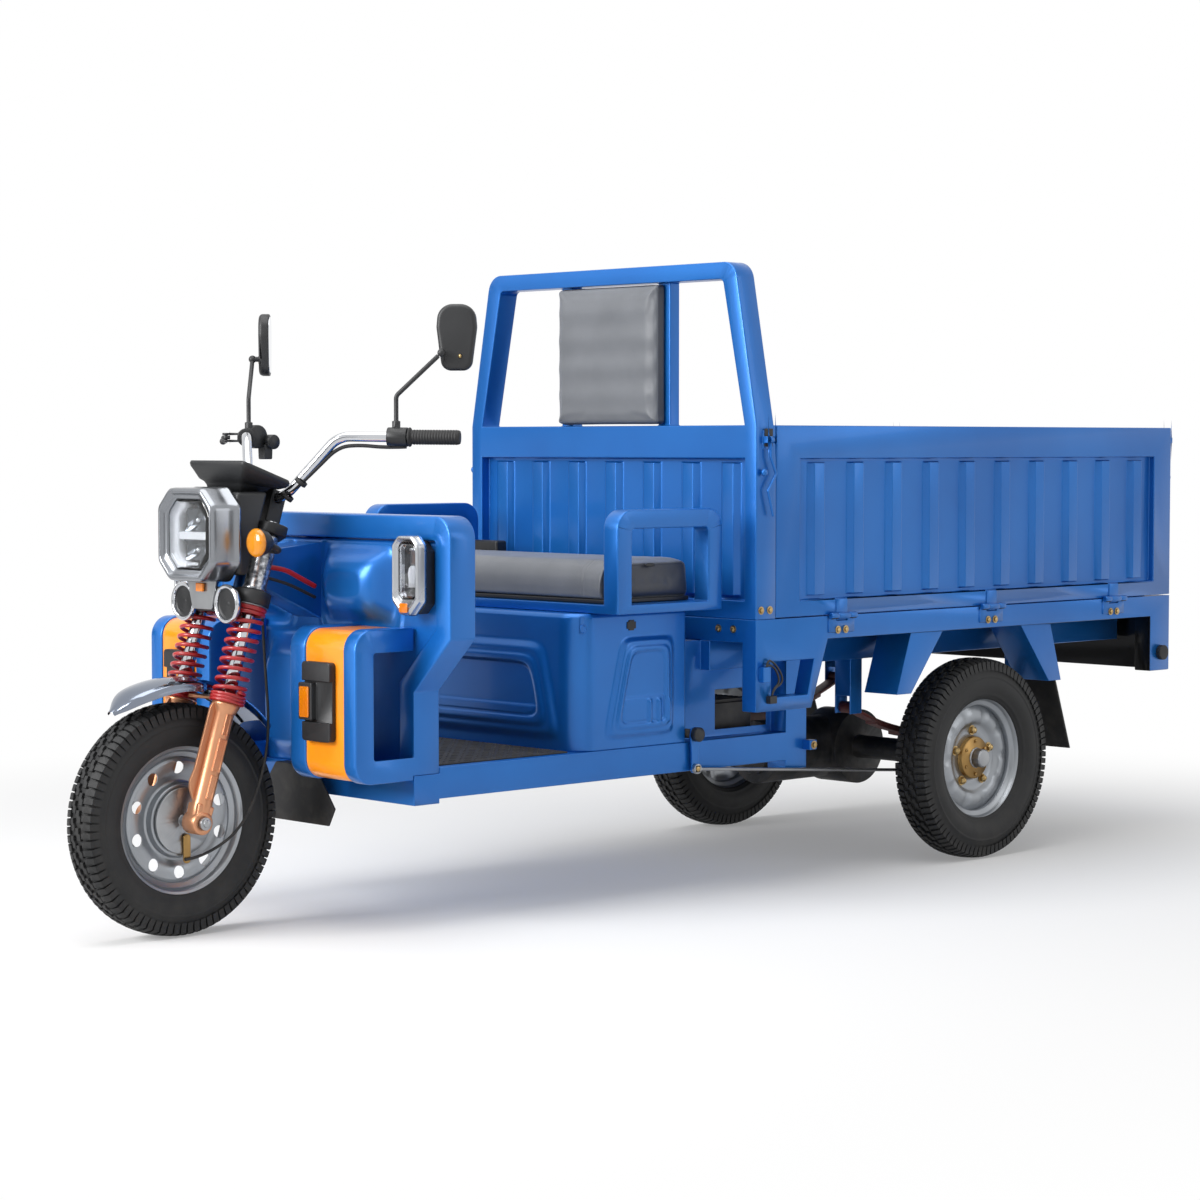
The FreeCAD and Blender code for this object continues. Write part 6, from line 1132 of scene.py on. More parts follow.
def panel_half(z):
    return 319.5 + 120 * min(1.0, max(0.0, (z - 545) / 118))


def panel_height(x, z):
    bulge = inside(BULGE, abs(x), z, 15)
    belly = inside(BELLY, x, z, 22)
    rise = 42 * ramp(bulge, 0, 46) + 10 * ramp(bulge, 38, 62) + 52 * ramp(belly, -4, 52)
    bead = 3.0 * ramp(8 - abs(bulge + 16), 0, 6)
    fold = 14 * ramp(z, 845, 849)
    return rise + bead - fold


def front_panel():
    bm = bmesh.new()
    rows = []
    for z in steps_between(345, 850.5, 4):
        half = panel_half(z)
        row = []
        for share in steps_between(-1, 1, 0.0105):
            x = share * half
            row.append(bm.verts.new(at(x, PANEL_FRONT - panel_height(x, z), z)))
        rows.append(row)
    quads(bm, rows)
    sheet = baked("front_panel_sheet", mesh_from(bm, "front panel"),
                  ("SOLIDIFY", {"thickness": PANEL_SHEET * MM, "offset": -1.0}))
    show("front_panel_sheet", sheet, BLUE, "chassis", ["front_panel"])
    print("front panel:", len(sheet.polygons), "faces")


front_panel()

# %% [markdown]
# The seat box is one sheet folded round the front corners. Its path is walked from the rear left corner
# round the front to the rear right, and each point is pushed outwards by the pressing it belongs to: a
# stepped frame with a sunk field on the front, a leaning frame with three louvres on each side.

# %% Seat box
BOX_HALF, BOX_FRONT, BOX_REAR, BOX_CORNER = 368, 845, 1194, 60
BOX_FLOOR, BOX_TOP = 358.4, 671.8
FRONT_FRAME = [(-322, 380), (322, 380), (264, 610), (-264, 610)]
SIDE_FRAME = [(926, 380), (1156, 380), (1156, 616), (984, 616)]


def frame_profile(depth, field):
    """Height of the stepped frame at a depth inside its outline."""
    shoulder = 9 * ramp(depth, 0, 22) + 4 * ramp(depth, 30, 40)
    return shoulder - field * ramp(depth, 50, 57)


def front_press(x, z):
    depth = inside(FRONT_FRAME, x, z, 14)
    ledge = 4 * ramp(depth, 54, 58) * ramp(462 - z, 0, 7)
    return frame_profile(depth, 7) + ledge


def side_press(y, z):
    depth = inside(SIDE_FRAME, y, z, 10)
    height = frame_profile(depth * 1.5, 6)
    height += 3 * ramp(depth, 37, 40) * ramp(478 - z, 0, 6)
    for first in (1062, 1092, 1122):
        louvre = inside([(first - 1, 412), (first + 13, 412), (first + 13, 470), (first - 1, 470)], y, z, 2.5)
        height += 4 * ramp(louvre, -1, 4)
    return height


def box_path():
    """Places round the box as (x, y, way out, pressing, place along it)."""
    path = []
    for y in steps_between(BOX_REAR, BOX_FRONT + BOX_CORNER, 3.5):
        path.append((BOX_HALF, y, ACROSS, side_press, y))
    for turn in steps_between(0, math.pi / 2, 0.09)[1:-1]:
        out = Vector((math.cos(turn), -math.sin(turn), 0))
        x = BOX_HALF - BOX_CORNER + BOX_CORNER * out.x
        path.append((x, BOX_FRONT + BOX_CORNER + BOX_CORNER * out.y, out, None, 0))
    for x in steps_between(BOX_HALF - BOX_CORNER, 0, 4):
        path.append((x, BOX_FRONT, Vector((0, -1, 0)), front_press, x))
    other = [(-x, y, Vector((-out.x, out.y, 0)), press, -u if press is front_press else u)
             for x, y, out, press, u in reversed(path[:-1])]
    return path + other


def seat_box():
    bm = bmesh.new()
    path = box_path()
    rows = []
    for z in steps_between(BOX_FLOOR, BOX_TOP, 3.5):
        row = []
        for x, y, out, press, along in path:
            height = press(along, z) if press else 0.0
            draw_in = 6 * ramp(z, BOX_TOP - 9, BOX_TOP)
            row.append(bm.verts.new(at(x, y, z) + out * ((height - draw_in) * MM)))
        rows.append(row)
    quads(bm, rows, closed=True)
    bm.faces.new(rows[-1])
    bm.faces.new(list(reversed(rows[0])))
    bmesh.ops.recalc_face_normals(bm, faces=bm.faces)
    made = mesh_from(bm, "seat_box_sheet")
    show("seat_box_sheet", made, BLUE, "chassis", ["seat_box"])
    flat_ends(made)
    print("seat box:", len(made.polygons), "faces")


seat_box()

# %% [markdown]
# Lamps have eight-sided bezels. A bezel is a loft: the same eight-sided outline, with rounded corners, is
# carried through a row of depths while it moves from the outer outline to the window. The lens is a thin
# closed sheet of clear plastic, and behind it are the parts that make a lamp look deep: a pale frame, faceted
# bowls and a bulb.

# %% Lamp helpers


def eight_sided(x, z, chamfer, foot=None, corner=6, steps=3):
    """An outline of (x, z) with eight rounded corners. The foot chamfer may differ."""
    foot = foot or chamfer
    sharp = [(x[0] + foot, z[0]), (x[1] - foot, z[0]), (x[1], z[0] + foot), (x[1], z[1] - chamfer),
             (x[1] - chamfer, z[1]), (x[0] + chamfer, z[1]), (x[0], z[1] - chamfer), (x[0], z[0] + foot)]
    outline = []
    for index, spot in enumerate(sharp):
        spot = Vector(spot)
        before, after = Vector(sharp[index - 1]), Vector(sharp[(index + 1) % len(sharp)])
        start = spot + (before - spot).normalized() * corner
        end = spot + (after - spot).normalized() * corner
        for step in range(steps + 1):
            share = step / steps
            outline.append(start.lerp(spot, share).lerp(spot.lerp(end, share), share))
    return outline


def lofted(name, outer, inner, levels, closed=True, caps=False):
    """A skin through outlines between two, each given as (share, y). Closed skins are rings in section."""
    bm = bmesh.new()
    rows = []
    for share, y in levels:
        rows.append([bm.verts.new(at(a.x + (b.x - a.x) * share, y, a.y + (b.y - a.y) * share))
                     for a, b in zip(outer, inner)])
    quads(bm, rows + rows[:1] if closed else rows, closed=True)
    if caps:
        bm.faces.new(rows[0])
        bm.faces.new(list(reversed(rows[-1])))
    bmesh.ops.recalc_face_normals(bm, faces=bm.faces)
    return mesh_from(bm, name)


def scaled(outline, share):
    middle = sum(outline, Vector((0, 0))) / len(outline)
    return [middle + (spot - middle) * share for spot in outline]


def bowl(name, centre, half, depth, facets):
    """A mirror bowl of flat facets, open to the front. Half is its (width, height) in millimetres."""
    bm = bmesh.new()
    rows = []
    for v in range(facets[1] + 1):
        row = []
        for u in range(facets[0] + 1):
            s, t = 2 * u / facets[0] - 1, 2 * v / facets[1] - 1
            back = depth * (1 - 0.5 * (s * s + t * t)) + (2.2 if (u + v) % 2 else 0.0)
            row.append(bm.verts.new(centre + Vector((s * half[0], back, t * half[1])) * MM))
        rows.append(row)
    quads(bm, rows)
    return mesh_from(bm, name)

# %% [markdown]
# The headlamp: a satin bezel, a clear lens, a pale frame behind it and two dark mirror bowls, above and below
# a pale bar. Bowls of flat facets glint as a real reflector does, which a smooth bowl would not.

# %% Headlamp
HEAD_OUTER = eight_sided((-100, 100), (760, 963), 40, corner=9)
HEAD_WINDOW = eight_sided((-74, 74), (786, 937), 30, corner=7)
HEAD_INNER = eight_sided((-55, 55), (801, 923), 26, 22, corner=8)
bezel = lofted("headlamp_bezel_ring", HEAD_OUTER, HEAD_WINDOW, [
    (-0.02, 110), (-0.02, 103), (0.03, 102), (0.03, 74), (0.03, 47), (0.08, 38), (0.22, 33), (0.38, 32.2),
    (0.48, 34), (0.56, 38.5), (0.84, 42.5), (0.96, 44), (1.0, 48), (1.0, 80), (0.9, 110)])
show("headlamp_bezel_ring", bezel, SATIN, "fork", ["headlamp_bezel"])
lens = lofted("headlamp_glass", HEAD_WINDOW, HEAD_INNER, [
    (1.0, 44.2), (0.4, 45.2), (0.04, 47), (0.0, 48), (0.04, 50), (1.0, 48.2)], closed=False, caps=True)
show("headlamp_glass", lens, CLEAR, "fork", ["headlamp_lens"])
flat_ends(lens)
inner_frame = lofted("headlamp_frame", HEAD_WINDOW, HEAD_INNER, [
    (0.02, 54), (0.12, 54), (0.2, 56), (0.62, 62), (0.7, 60.5), (0.9, 61), (1.0, 65), (1.0, 104),
    (0.02, 104)])
show("headlamp_frame", inner_frame, PALE, "fork")
rear_wall = slab("headlamp_back", (-57, 57), (799, 925), 4, 84)
show("headlamp_back", rear_wall, BLACK, "fork", smooth=False)
for label, low, high in (("upper", 867, 917), ("lower", 806, 850)):
    middle = at(0, 66, (low + high) / 2)
    mirror_bowl = bowl("headlamp_bowl_" + label, middle, (44, (high - low) / 2), 17, (7, 4))
    show(mirror_bowl.name, mirror_bowl, SMOKED, "fork", smooth=False)
    bulb = turned("headlamp_bulb_" + label, [(0, 0), (0, 7), (6, 7), (12, 5.2), (15, 0)],
                  middle + Vector((0, 16, 0)) * MM, Vector((0, -1, 0)), 24)
    show(bulb.name, bulb, CHROME, "fork")
band = slab("headlamp_band", (-53, 53), (850, 867), 16, 60, 2.5)
show("headlamp_band", band, PALE, "fork")
bracket = plate("headlamp_bracket", [(-34, 700), (34, 700), (52, 762), (-52, 762)], 5, at(0, 78, 0), 1.5)
show("headlamp_bracket", bracket, STEEL, "fork")
marker = slab("headlamp_marker", (-13, 13), (738, 757), 6, 71, 2)
show("headlamp_marker", marker, AMBER, "fork")
print("headlamp: bezel", len(bezel.polygons), "faces, two bowls")

# %% [markdown]
# The side lamps are the same kind of loft, made once for the left and mirrored for the right: bezel, clear
# lens, mirror cup with a back wall, a bulb hanging in it and its holder.

# %% Side lamps
LAMP_OUTER = eight_sided((352, 438), (691, 862), 20, 31, corner=5)
LAMP_WINDOW = eight_sided((366, 424), (727, 848), 9, 9, corner=4)
LAMP_BACK = scaled(LAMP_WINDOW, 0.6)


def side_lamp(way):
    side = "left" if way > 0 else "right"

    def made(name, mesh, material, nodes=(), smooth=True):
        mesh = mesh if way > 0 else mirrored(mesh, mesh.name)
        return show(f"{name}_{side}", mesh, material, "chassis", nodes, smooth)

    skin = lofted("side bezel " + side, LAMP_OUTER, LAMP_WINDOW, [
        (0.0, 343), (0.0, 336), (0.04, 335), (0.04, 323), (0.1, 318.5), (0.25, 316.4), (0.45, 316.6),
        (0.55, 318), (0.62, 321), (0.9, 325), (1.0, 327), (1.0, 343)])
    made("side_lamp_bezel", skin, SILVER, ["side_lamp_bezels"] if way > 0 else [])
    glass = lofted("side glass " + side, LAMP_WINDOW, LAMP_BACK, [
        (1.0, 323.6), (0.3, 324.4), (0.0, 327), (0.0, 328), (0.3, 327.4), (1.0, 326.6)],
        closed=False, caps=True)
    made("side_lamp_glass", glass, CLEAR, ["side_lamp_lenses"] if way > 0 else [])
    flat_ends(glass)
    cup = lofted("side cup " + side, LAMP_WINDOW, LAMP_BACK, [
        (0.0, 329), (0.15, 336), (0.5, 350), (1.0, 356), (1.0, 357), (0.0, 357)])
    made("side_lamp_cup", cup, CHROME)
    wall = plate("side wall " + side, [(370, 740), (420, 740), (420, 836), (370, 836)], 2, at(0, 355.5, 0))
    made("side_lamp_wall", wall, CHROME, smooth=False)
    bulb = turned("side bulb " + side, [(0, 0), (0, 9), (14, 9.5), (30, 11), (40, 9), (46, 4.5), (47, 0)],
                  at(395, 343, 752), UPWARD, 28)
    made("side_lamp_bulb", bulb, PALE)
    holder = turned("side holder " + side, [(0, 0), (0, 5), (30, 5), (30, 7), (34, 7), (34, 0)],
                    at(395, 343, 799), UPWARD, 20)
    made("side_lamp_holder", holder, STEEL)


side_lamp(1)
side_lamp(-1)
print("side lamps: bezel, glass, cup and bulb on each side")

# %% [markdown]
# The fork. Each side is a bright tube with a speckled sleeve above, a red collar and a red spring round it,
# and a bronze casting below. The casting is a round column with a thin wing to the front and to the rear
# and three framed panels on its outer side. The spring gets a mesh of its own.

# %% Fork
TUBE_X = 86
SPRING_LOW, SPRING_HIGH, SPRING_TURNS = 284, 468, 9.5
COIL_RADIUS, WIRE_RADIUS, FORK_TRAVEL = 33, 4.5, 60


def round_on_fork(name, profile, x, segments=40):
    return turned(name, profile, on_fork(x, 0, 0), FORK_AXIS, segments, closed=True)


def wing(name, outline, x, thickness, width):
    """A plate that lies along the fork: its outline is (back, up) and its thickness runs across."""
    flat = thick(name, [on_fork(x, back, up) for back, up in outline], (thickness * MM, 0, 0))
    return rounded(flat, name, width * MM, 3)


def framed_panel(name, back, up, way):
    """A shallow raised panel with a sunk middle on the outer side of a leg."""
    panel = wing(name, [(back[0], up[0]), (back[1], up[0]), (back[1], up[1]), (back[0], up[1])],
                 (TUBE_X + 17) * way, 6.6 * way, 0.9)
    bm = bmesh.new()
    bm.from_mesh(panel)
    side = max(bm.faces, key=lambda face: face.calc_area() * (face.normal.x * way > 0.9))
    bmesh.ops.inset_region(bm, faces=[side], thickness=2.8 * MM, depth=0)
    bmesh.ops.inset_region(bm, faces=[side], thickness=0.8 * MM, depth=-1.4 * MM)
    return mesh_from(bm, name)


LEG_COLUMN = [(6, 15.6), (6, 21), (10, 23), (40, 23), (48, 22), (238, 22), (246, 26), (256, 30), (262, 31),
              (262, 15.6)]
FRONT_WING = [(-14, 258), (-31, 258), (-36, 246), (-37, 112), (-42, 84), (-38, 66), (-22, 44), (-14, 36)]
REAR_WING = [(14, 36), (22, 46), (29, 70), (29, 246), (25, 258), (14, 258)]
LEG_PANELS = [((-9, 7), (52, 104)), ((-11, 9), (112, 184)), ((-8, 6), (192, 238))]


def fork_leg(side, way):
    x = TUBE_X * way
    column = round_on_fork("column", LEG_COLUMN, x)
    inner = x - 9 * way
    front = wing("front wing", FRONT_WING, inner, 7 * way, 1.6)
    rear = wing("rear wing", REAR_WING, inner, 7 * way, 1.6)
    panels = [framed_panel("panel", back, up, way) for back, up in LEG_PANELS]
    foot = turned("foot", [(-23, 8.2), (-23, 23), (-21, 25), (21, 25), (23, 23), (23, 8.2)], on_fork(x, 0, 0),
                  ACROSS, 48, closed=True)
    block = wing("block", [(-19, 8), (19, 8), (21, 40), (-21, 40)], x - 21 * way, 42 * way, 4)
    made = joined(f"fork_leg_{side}", column, front, rear, *panels, foot, block)
    show(made.name, made, COPPER, "lower_fork", ["fork_legs"] if way > 0 else [])
    beads = [(262, 16)]
    for low in (262, 269, 276):
        beads += [(low, 36), (low + 1.5, 38.6), (low + 5, 38.6), (low + 6.5, 36)]
    seat = round_on_fork(f"spring_seat_{side}", beads + [(283, 16)], x)
    show(seat.name, seat, SPRING_RED, "lower_fork")


def coil(name, x):
    points = []
    steps = int(SPRING_TURNS * 24)
    for step in range(steps + 1):
        turn = step / steps * SPRING_TURNS
        share = min(1.0, max(0.0, (turn - 0.6) / (SPRING_TURNS - 1.2)))
        up = SPRING_LOW + WIRE_RADIUS + share * (SPRING_HIGH - SPRING_LOW - 2 * WIRE_RADIUS)
        angle = turn * math.tau
        points.append(on_fork(x + COIL_RADIUS * math.cos(angle), COIL_RADIUS * math.sin(angle), up))
    return tube(name, points, WIRE_RADIUS, 12)


FORK_RINGS = [
    ("tube", [(90, 4), (90, 15), (666, 15), (668, 13), (668, 4)], CHROME),
    ("sleeve", [(513, 15.2), (513, 26), (515, 26.8), (519, 26.8), (521, 25), (600, 25), (602, 25.8),
                (606, 25.8), (608, 25), (632, 25), (638, 24), (638, 15.2)], SPECKLED),
    ("collar", [(468, 15.2), (468, 35), (470, 37), (476, 37), (478, 35), (478, 15.2)], SPRING_RED),
    ("ring", [(478.2, 15.2), (478.2, 38), (479, 39), (480, 39), (480, 15.2)], STEEL),
    ("clamp", [(481, 15.4), (481, 36), (484, 38), (509, 38), (512, 36), (512, 15.4)], BLACK)]


def fork_side(side, way):
    x = TUBE_X * way
    for part, profile, material in FORK_RINGS:
        ring = round_on_fork(f"fork_{part}_{side}", profile, x)
        show(ring.name, ring, material, "fork", ["fork_tubes"] if way > 0 and part == "tube" else [])
    spring = show(f"fork_spring_{side}", coil("coil " + side, x), SPRING_RED, "fork",
                  ["fork_springs"] if way > 0 else [])
    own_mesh(spring)
    fork_leg(side, way)


fork_side("left", 1)
fork_side("right", -1)
print("fork: tubes, sleeves, springs and castings on both sides")

# %% [markdown]
# The front brake cable runs from the brake arm round behind the wheel to the lower clamp. It is one smooth
# tube along its route and rides on no body.

# %% Front brake cable
CABLE_ROUTE = [(48, -5, 168), (48, 50, 170), (62, 150, 232), (64, 214, 400), (64, 197, 596), (64, 193, 690)]


def bending_cable(name, route, radius, material):
    """A smooth cable along a route, which rides on no body."""
    mesh = tube(name, [at(*spot) for spot in route], radius, 12, smooth_spline=True)
    mesh.materials.append(material)
    mesh.polygons.foreach_set("use_smooth", [True] * len(mesh.polygons))
    piece = linked(name, mesh)
    return piece


cable = bending_cable("front_brake_cable_line", CABLE_ROUTE, 3.2, RUBBER)
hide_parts("front_brake_cable")
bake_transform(cable)
print("front brake cable:", len(cable.data.polygons), "faces")

# %% [markdown]
# The mudguard is a chromed pressing: crowned across, drawn to a rounded point in front, narrowed between the
# fork legs and turned down at both edges. It is a grid over the angle round the wheel and the place across.

# %% Front mudguard
GUARD_RADIUS, GUARD_HALF, GUARD_SHEET = 306, 58, 1.6


def guard_width(angle):
    tip = ramp(angle, 96, 124)
    point = math.sqrt(max(0.0, 1 - (tip * 0.985) ** 3))
    neck = 15 * ramp(10 - abs(angle - 72.5), 0, 5)
    return (GUARD_HALF - neck) * point


def front_mudguard():
    bm = bmesh.new()
    rows = []
    one_side = [0.22, 0.45, 0.65, 0.8, 0.9, 0.96, 0.985, 1.0]
    across = [-share for share in reversed(one_side)] + [0.0] + one_side
    for angle in steps_between(40, 124, 1.0):
        width = guard_width(angle)
        turn = math.radians(angle)
        row = []
        for share in across:
            droop = 13 * share * share * (0.35 + 0.65 * width / GUARD_HALF)
            lip = 15 * ramp(abs(share), 0.88, 1.0) * (width / GUARD_HALF)
            radius = GUARD_RADIUS - droop - lip - 16 * ramp(angle, 106, 124) ** 2
            height = WHEEL_Z + radius * math.sin(turn)
            row.append(bm.verts.new(at(width * share, radius * math.cos(turn), height)))
        rows.append(row)
    quads(bm, rows)
    made = baked("front_mudguard", mesh_from(bm, "mudguard"),
                 ("SOLIDIFY", {"thickness": GUARD_SHEET * MM, "offset": 0.0}),
                 ("SUBSURF", {"levels": 1, "render_levels": 1}))
    show("front_mudguard", made, FENDER_CHROME, "lower_fork", ["front_fender"])
    strap = slab("mudguard_strap", (-62, 62), (506, 514), 22, 76, 2)
    show("mudguard_strap", strap, COPPER, "lower_fork")
    print("front mudguard:", len(made.polygons), "faces")


front_mudguard()

# %% [markdown]
# Two dish horns on a black block, each with a bright rim and a ribbed dark mouth. The indicators have a domed
# amber lens over a mirror bowl, so that the light that enters comes back. The lens also glows faintly, a
# painted light that brightens it though the lamp is off.

# %% Horns and indicators

HORN_RIM = [(7, 32.5), (2, 33.5), (-0.5, 35.5), (-1, 38.5), (0.5, 41.5), (4, 42.6), (9, 42), (13, 38),
            (13, 32.5)]
HORN_MOUTH = [(6, 33), (9, 29), (5.5, 26), (9.5, 22), (6, 18.5), (10, 14), (6.5, 10), (10, 6), (8, 3), (8, 0)]
HORN_SHELL = [(9, 40.5), (14, 39), (20, 30), (25, 20), (32, 17), (32, 0)]
INDICATOR_DOME = [(0.3, 0), (0.3, 30), (-2, 31), (-6, 30.4), (-10, 27), (-13.5, 21), (-16, 12), (-16.8, 0)]
INDICATOR_BOWL = [(0.8, 29.5), (0.6, 24), (0.9, 18), (0.5, 12), (0.9, 6), (0.6, 0), (2, 0), (2, 29.5)]


def horn(side, way):
    centre = on_fork(78 * way, -60, 466)
    rim = turned(f"horn_rim_{side}", HORN_RIM, centre, BACKWARD, 56, closed=True)
    show(rim.name, rim, CHROME, "fork", ["horns"] if way > 0 else [])
    for part, profile in (("mouth", HORN_MOUTH), ("shell", HORN_SHELL)):
        made = turned(f"horn_{part}_{side}", profile, centre, BACKWARD, 48)
        show(made.name, made, BLACK, "fork")


def indicator(side, way):
    centre = on_fork(142 * way, -62, 604)
    dome = turned(f"indicator_dome_{side}", INDICATOR_DOME, centre, BACKWARD, 56)
    show(dome.name, dome, GLOWING_AMBER_GLASS, "fork", ["indicator_lenses"] if way > 0 else [])
    cup = turned(f"indicator_bowl_{side}", INDICATOR_BOWL, centre, BACKWARD, 24)
    show(cup.name, cup, CHROME, "fork", smooth=False)


horn("left", 1)
horn("right", -1)
horn_block = slab("horn_block", (-46, 46), (694, 734), 30, 94, 5)
show("horn_block", horn_block, BLACK, "fork")
indicator("left", 1)
indicator("right", -1)
print("horns and indicators: two of each")

# %% [markdown]
# The dashboard is a shallow black tray that flares towards its rim, with a sunk dark display. It is lofted
# through outlines from its foot to its rim and down again into the display.

# %% Dashboard and grips


def dashboard():
    bm = bmesh.new()
    levels = [(953, 62, 140, 214), (970, 66, 137, 224), (978, 70, 134, 228), (984, 80, 128, 232),
              (1004, 94, 121, 240), (1010, 99, 118.5, 245), (1016, 100.5, 118, 246), (1021, 99, 119.5, 244.5),
              (1021, 93, 126, 238), (1013, 90, 129, 235)]
    rows = []
    for z, half, front, rear in levels:
        outline = []
        corners = ((-half, front, 1, 1), (half, front, -1, 1), (half, rear, -1, -1), (-half, rear, 1, -1))
        for x, y, across, along in corners:
            ends = [(x, y + 10 * along), (x, y), (x + 10 * across, y)]
            if across * along < 0:
                ends.reverse()
            start, spot, end = (Vector(end) for end in ends)
            for step in range(5):
                outline.append(start.lerp(spot, step / 4).lerp(spot.lerp(end, step / 4), step / 4))
        slope = 46 * ramp(z, 953, 1004)
        rows.append([bm.verts.new(at(p.x, p.y, z - slope * (p.y - 118) / 128)) for p in outline])
    quads(bm, rows, closed=True)
    bm.faces.new(list(reversed(rows[0])))
    bm.faces.new(rows[-1])
    bmesh.ops.recalc_face_normals(bm, faces=bm.faces)
    made = mesh_from(bm, "dashboard_tray")
    show("dashboard_tray", made, BLACK, "fork", ["dashboard"])
    flat_ends(made)
    print("dashboard:", len(made.polygons), "faces")


def grip(node, name, way, body):
    """A ribbed rubber grip on the end of the bar."""
    bend, end = at(165 * way, 325, 1072), at(380 * way, 486, 1070)
    axis = (end - bend).normalized()
    profile = [(-112, 11.6), (-112, 20), (-110.5, 21), (-108, 21), (-106.5, 19), (-105, 15.6)]
    for step in range(16):
        low = -102 + step * 6.2
        profile += [(low, 15.2), (low + 1.2, 16.3), (low + 4.2, 16.3), (low + 5.2, 15.2)]
    profile += [(-1.5, 15.8), (1.5, 14), (2.5, 9), (2.5, 0), (-2, 0), (-2, 11.6)]
    made = turned(name, profile, end, axis, 32, closed=True)
    show(name, made, RUBBER, body, [node])


dashboard()
grip("left_grip", "left_grip_ribbed", 1, "fork")
grip("throttle_grip", "throttle_grip_ribbed", -1, "throttle_grip")

# %% [markdown]
# The seat and the back pad are vinyl covers over foam. Each starts as a core a little smaller than its solid,
# remeshed evenly and then blown up as cloth under a little pressure, with the points on its board held. That
# crowns the faces and draws the sides in between the corners, as foam does in a cover. The movement is
# capped. Seams and channels are pressed in afterwards. The seat's ends and the back pad's sides and rear are
# darkened with painted shade on the same cover, so each point stores how far inside that shaded panel it is,
# for the finish to read.

# %% Cushions
SIM_STEPS, PRESSURE = 20, 4.0


def straight_core(name, section, half, width):
    """A cushion core of one section, given as (y, z) points, with its ends rounded off."""
    core = thick(name, [at(-half, y, z) for y, z in section], (2 * half * MM, 0, 0))
    return rounded(core, name, width * MM, 3, math.radians(50))


def blown_up(name, cover, held):
    """The cover after the cloth has run. `held` tells which points stay on the board."""
    carrier = linked(name + " carrier", cover)
    group = carrier.vertex_groups.new(name="held")
    group.add([vert.index for vert in cover.vertices if held(vert.co)], 1.0, "REPLACE")
    cloth = carrier.modifiers.new("cloth", "CLOTH")
    cloth.settings.use_pressure = True
    cloth.settings.uniform_pressure_force = PRESSURE
    cloth.settings.effector_weights.gravity = 0
    cloth.settings.vertex_group_mass = group.name
    cloth.point_cache.frame_start, cloth.point_cache.frame_end = 1, SIM_STEPS
    for step in range(1, SIM_STEPS + 1):
        scene.frame_set(step)
    made = taken_from(carrier, name + " blown up")
    scene.frame_set(1)
    return made


def cushion(name, core, node, voxel, cap, held):
    cover = baked(name + " cover", core, ("REMESH", {"mode": "VOXEL", "voxel_size": voxel * MM}))
    start = [vert.co.copy() for vert in cover.vertices]
    cover = blown_up(name, cover, held)
    low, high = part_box(node)
    farthest = 0.0
    for vert, was in zip(cover.vertices, start):
        move = vert.co - was
        if move.length > cap * MM:
            move *= cap * MM / move.length
        farthest = max(farthest, move.length)
        for axis in range(3):
            vert.co[axis] = min(high[axis], max(low[axis], was[axis] + move[axis]))
    print(f"{name}: {len(start)} points, swollen by up to {farthest / MM:.1f} mm")
    return baked(name, cover, ("SMOOTH", {"factor": 0.5, "iterations": 6}),
                 ("SUBSURF", {"levels": 1, "render_levels": 1}))


def pressed_in(mesh, depth):
    """Move every point along its normal by a depth in millimetres that depends on its place."""
    moves = [vert.normal * (depth(vert.co, vert.normal) * MM) for vert in mesh.vertices]
    for vert, move in zip(mesh.vertices, moves):
        vert.co -= move


def mark_painted_shade(mesh, distance):
    """Store how far each point is inside the panel of painted shade, in millimetres."""
    mark = mesh.attributes.new("panel", "FLOAT", "POINT")
    mark.data.foreach_set("value", [distance(vert.co, vert.normal) / MM for vert in mesh.vertices])


def section_loop(mesh, x):
    """The closed line where a mesh crosses the plane at x."""
    bm = bmesh.new()
    bm.from_mesh(mesh)
    cut = bmesh.ops.bisect_plane(bm, geom=bm.verts[:] + bm.edges[:] + bm.faces[:], plane_co=(x, 0, 0),
                                 plane_no=(1, 0, 0))
    found = [item for item in cut["geom_cut"] if isinstance(item, bmesh.types.BMEdge)]
    edge, edges = found[0], set(found)
    first, spot = edge.verts
    line = [first.co.copy(), spot.co.copy()]
    while spot is not first:
        edges.discard(edge)
        edge = next((other for other in spot.link_edges if other in edges), None)
        if edge is None:
            break
        spot = edge.other_vert(spot)
        line.append(spot.co.copy())
    bm.free()
    return line[::3] + line[:1]


SEAT_SEAM = 322
SEAT_SECTION = [(914, 704), (904, 710), (900, 726), (901, 748), (906, 766), (916, 779), (934, 786),
                (1040, 789), (1150, 788), (1178, 786), (1185, 779), (1185, 704)]
PANEL_SLOPE = 0.62
seat_core = straight_core("seat core", SEAT_SECTION, 389, 7)
seat = cushion("seat_cover", seat_core, "seat_cushion", 6.0, 6, lambda spot: spot.z < at(0, 0, 708).z)


def seat_depth(spot, normal):
    seam = 1.9 * math.exp(-((abs(spot.x) / MM - SEAT_SEAM) / 2.6) ** 2)
    hem = 0.8 * math.exp(-((abs(spot.x) / MM - SEAT_SEAM + 9) / 3.0) ** 2)
    return (seam + hem) * ramp(normal.z - normal.y, 0.2, 0.6)


pressed_in(seat, seat_depth)
seat_end = max(vert.co.x for vert in seat.vertices) - 14 * MM
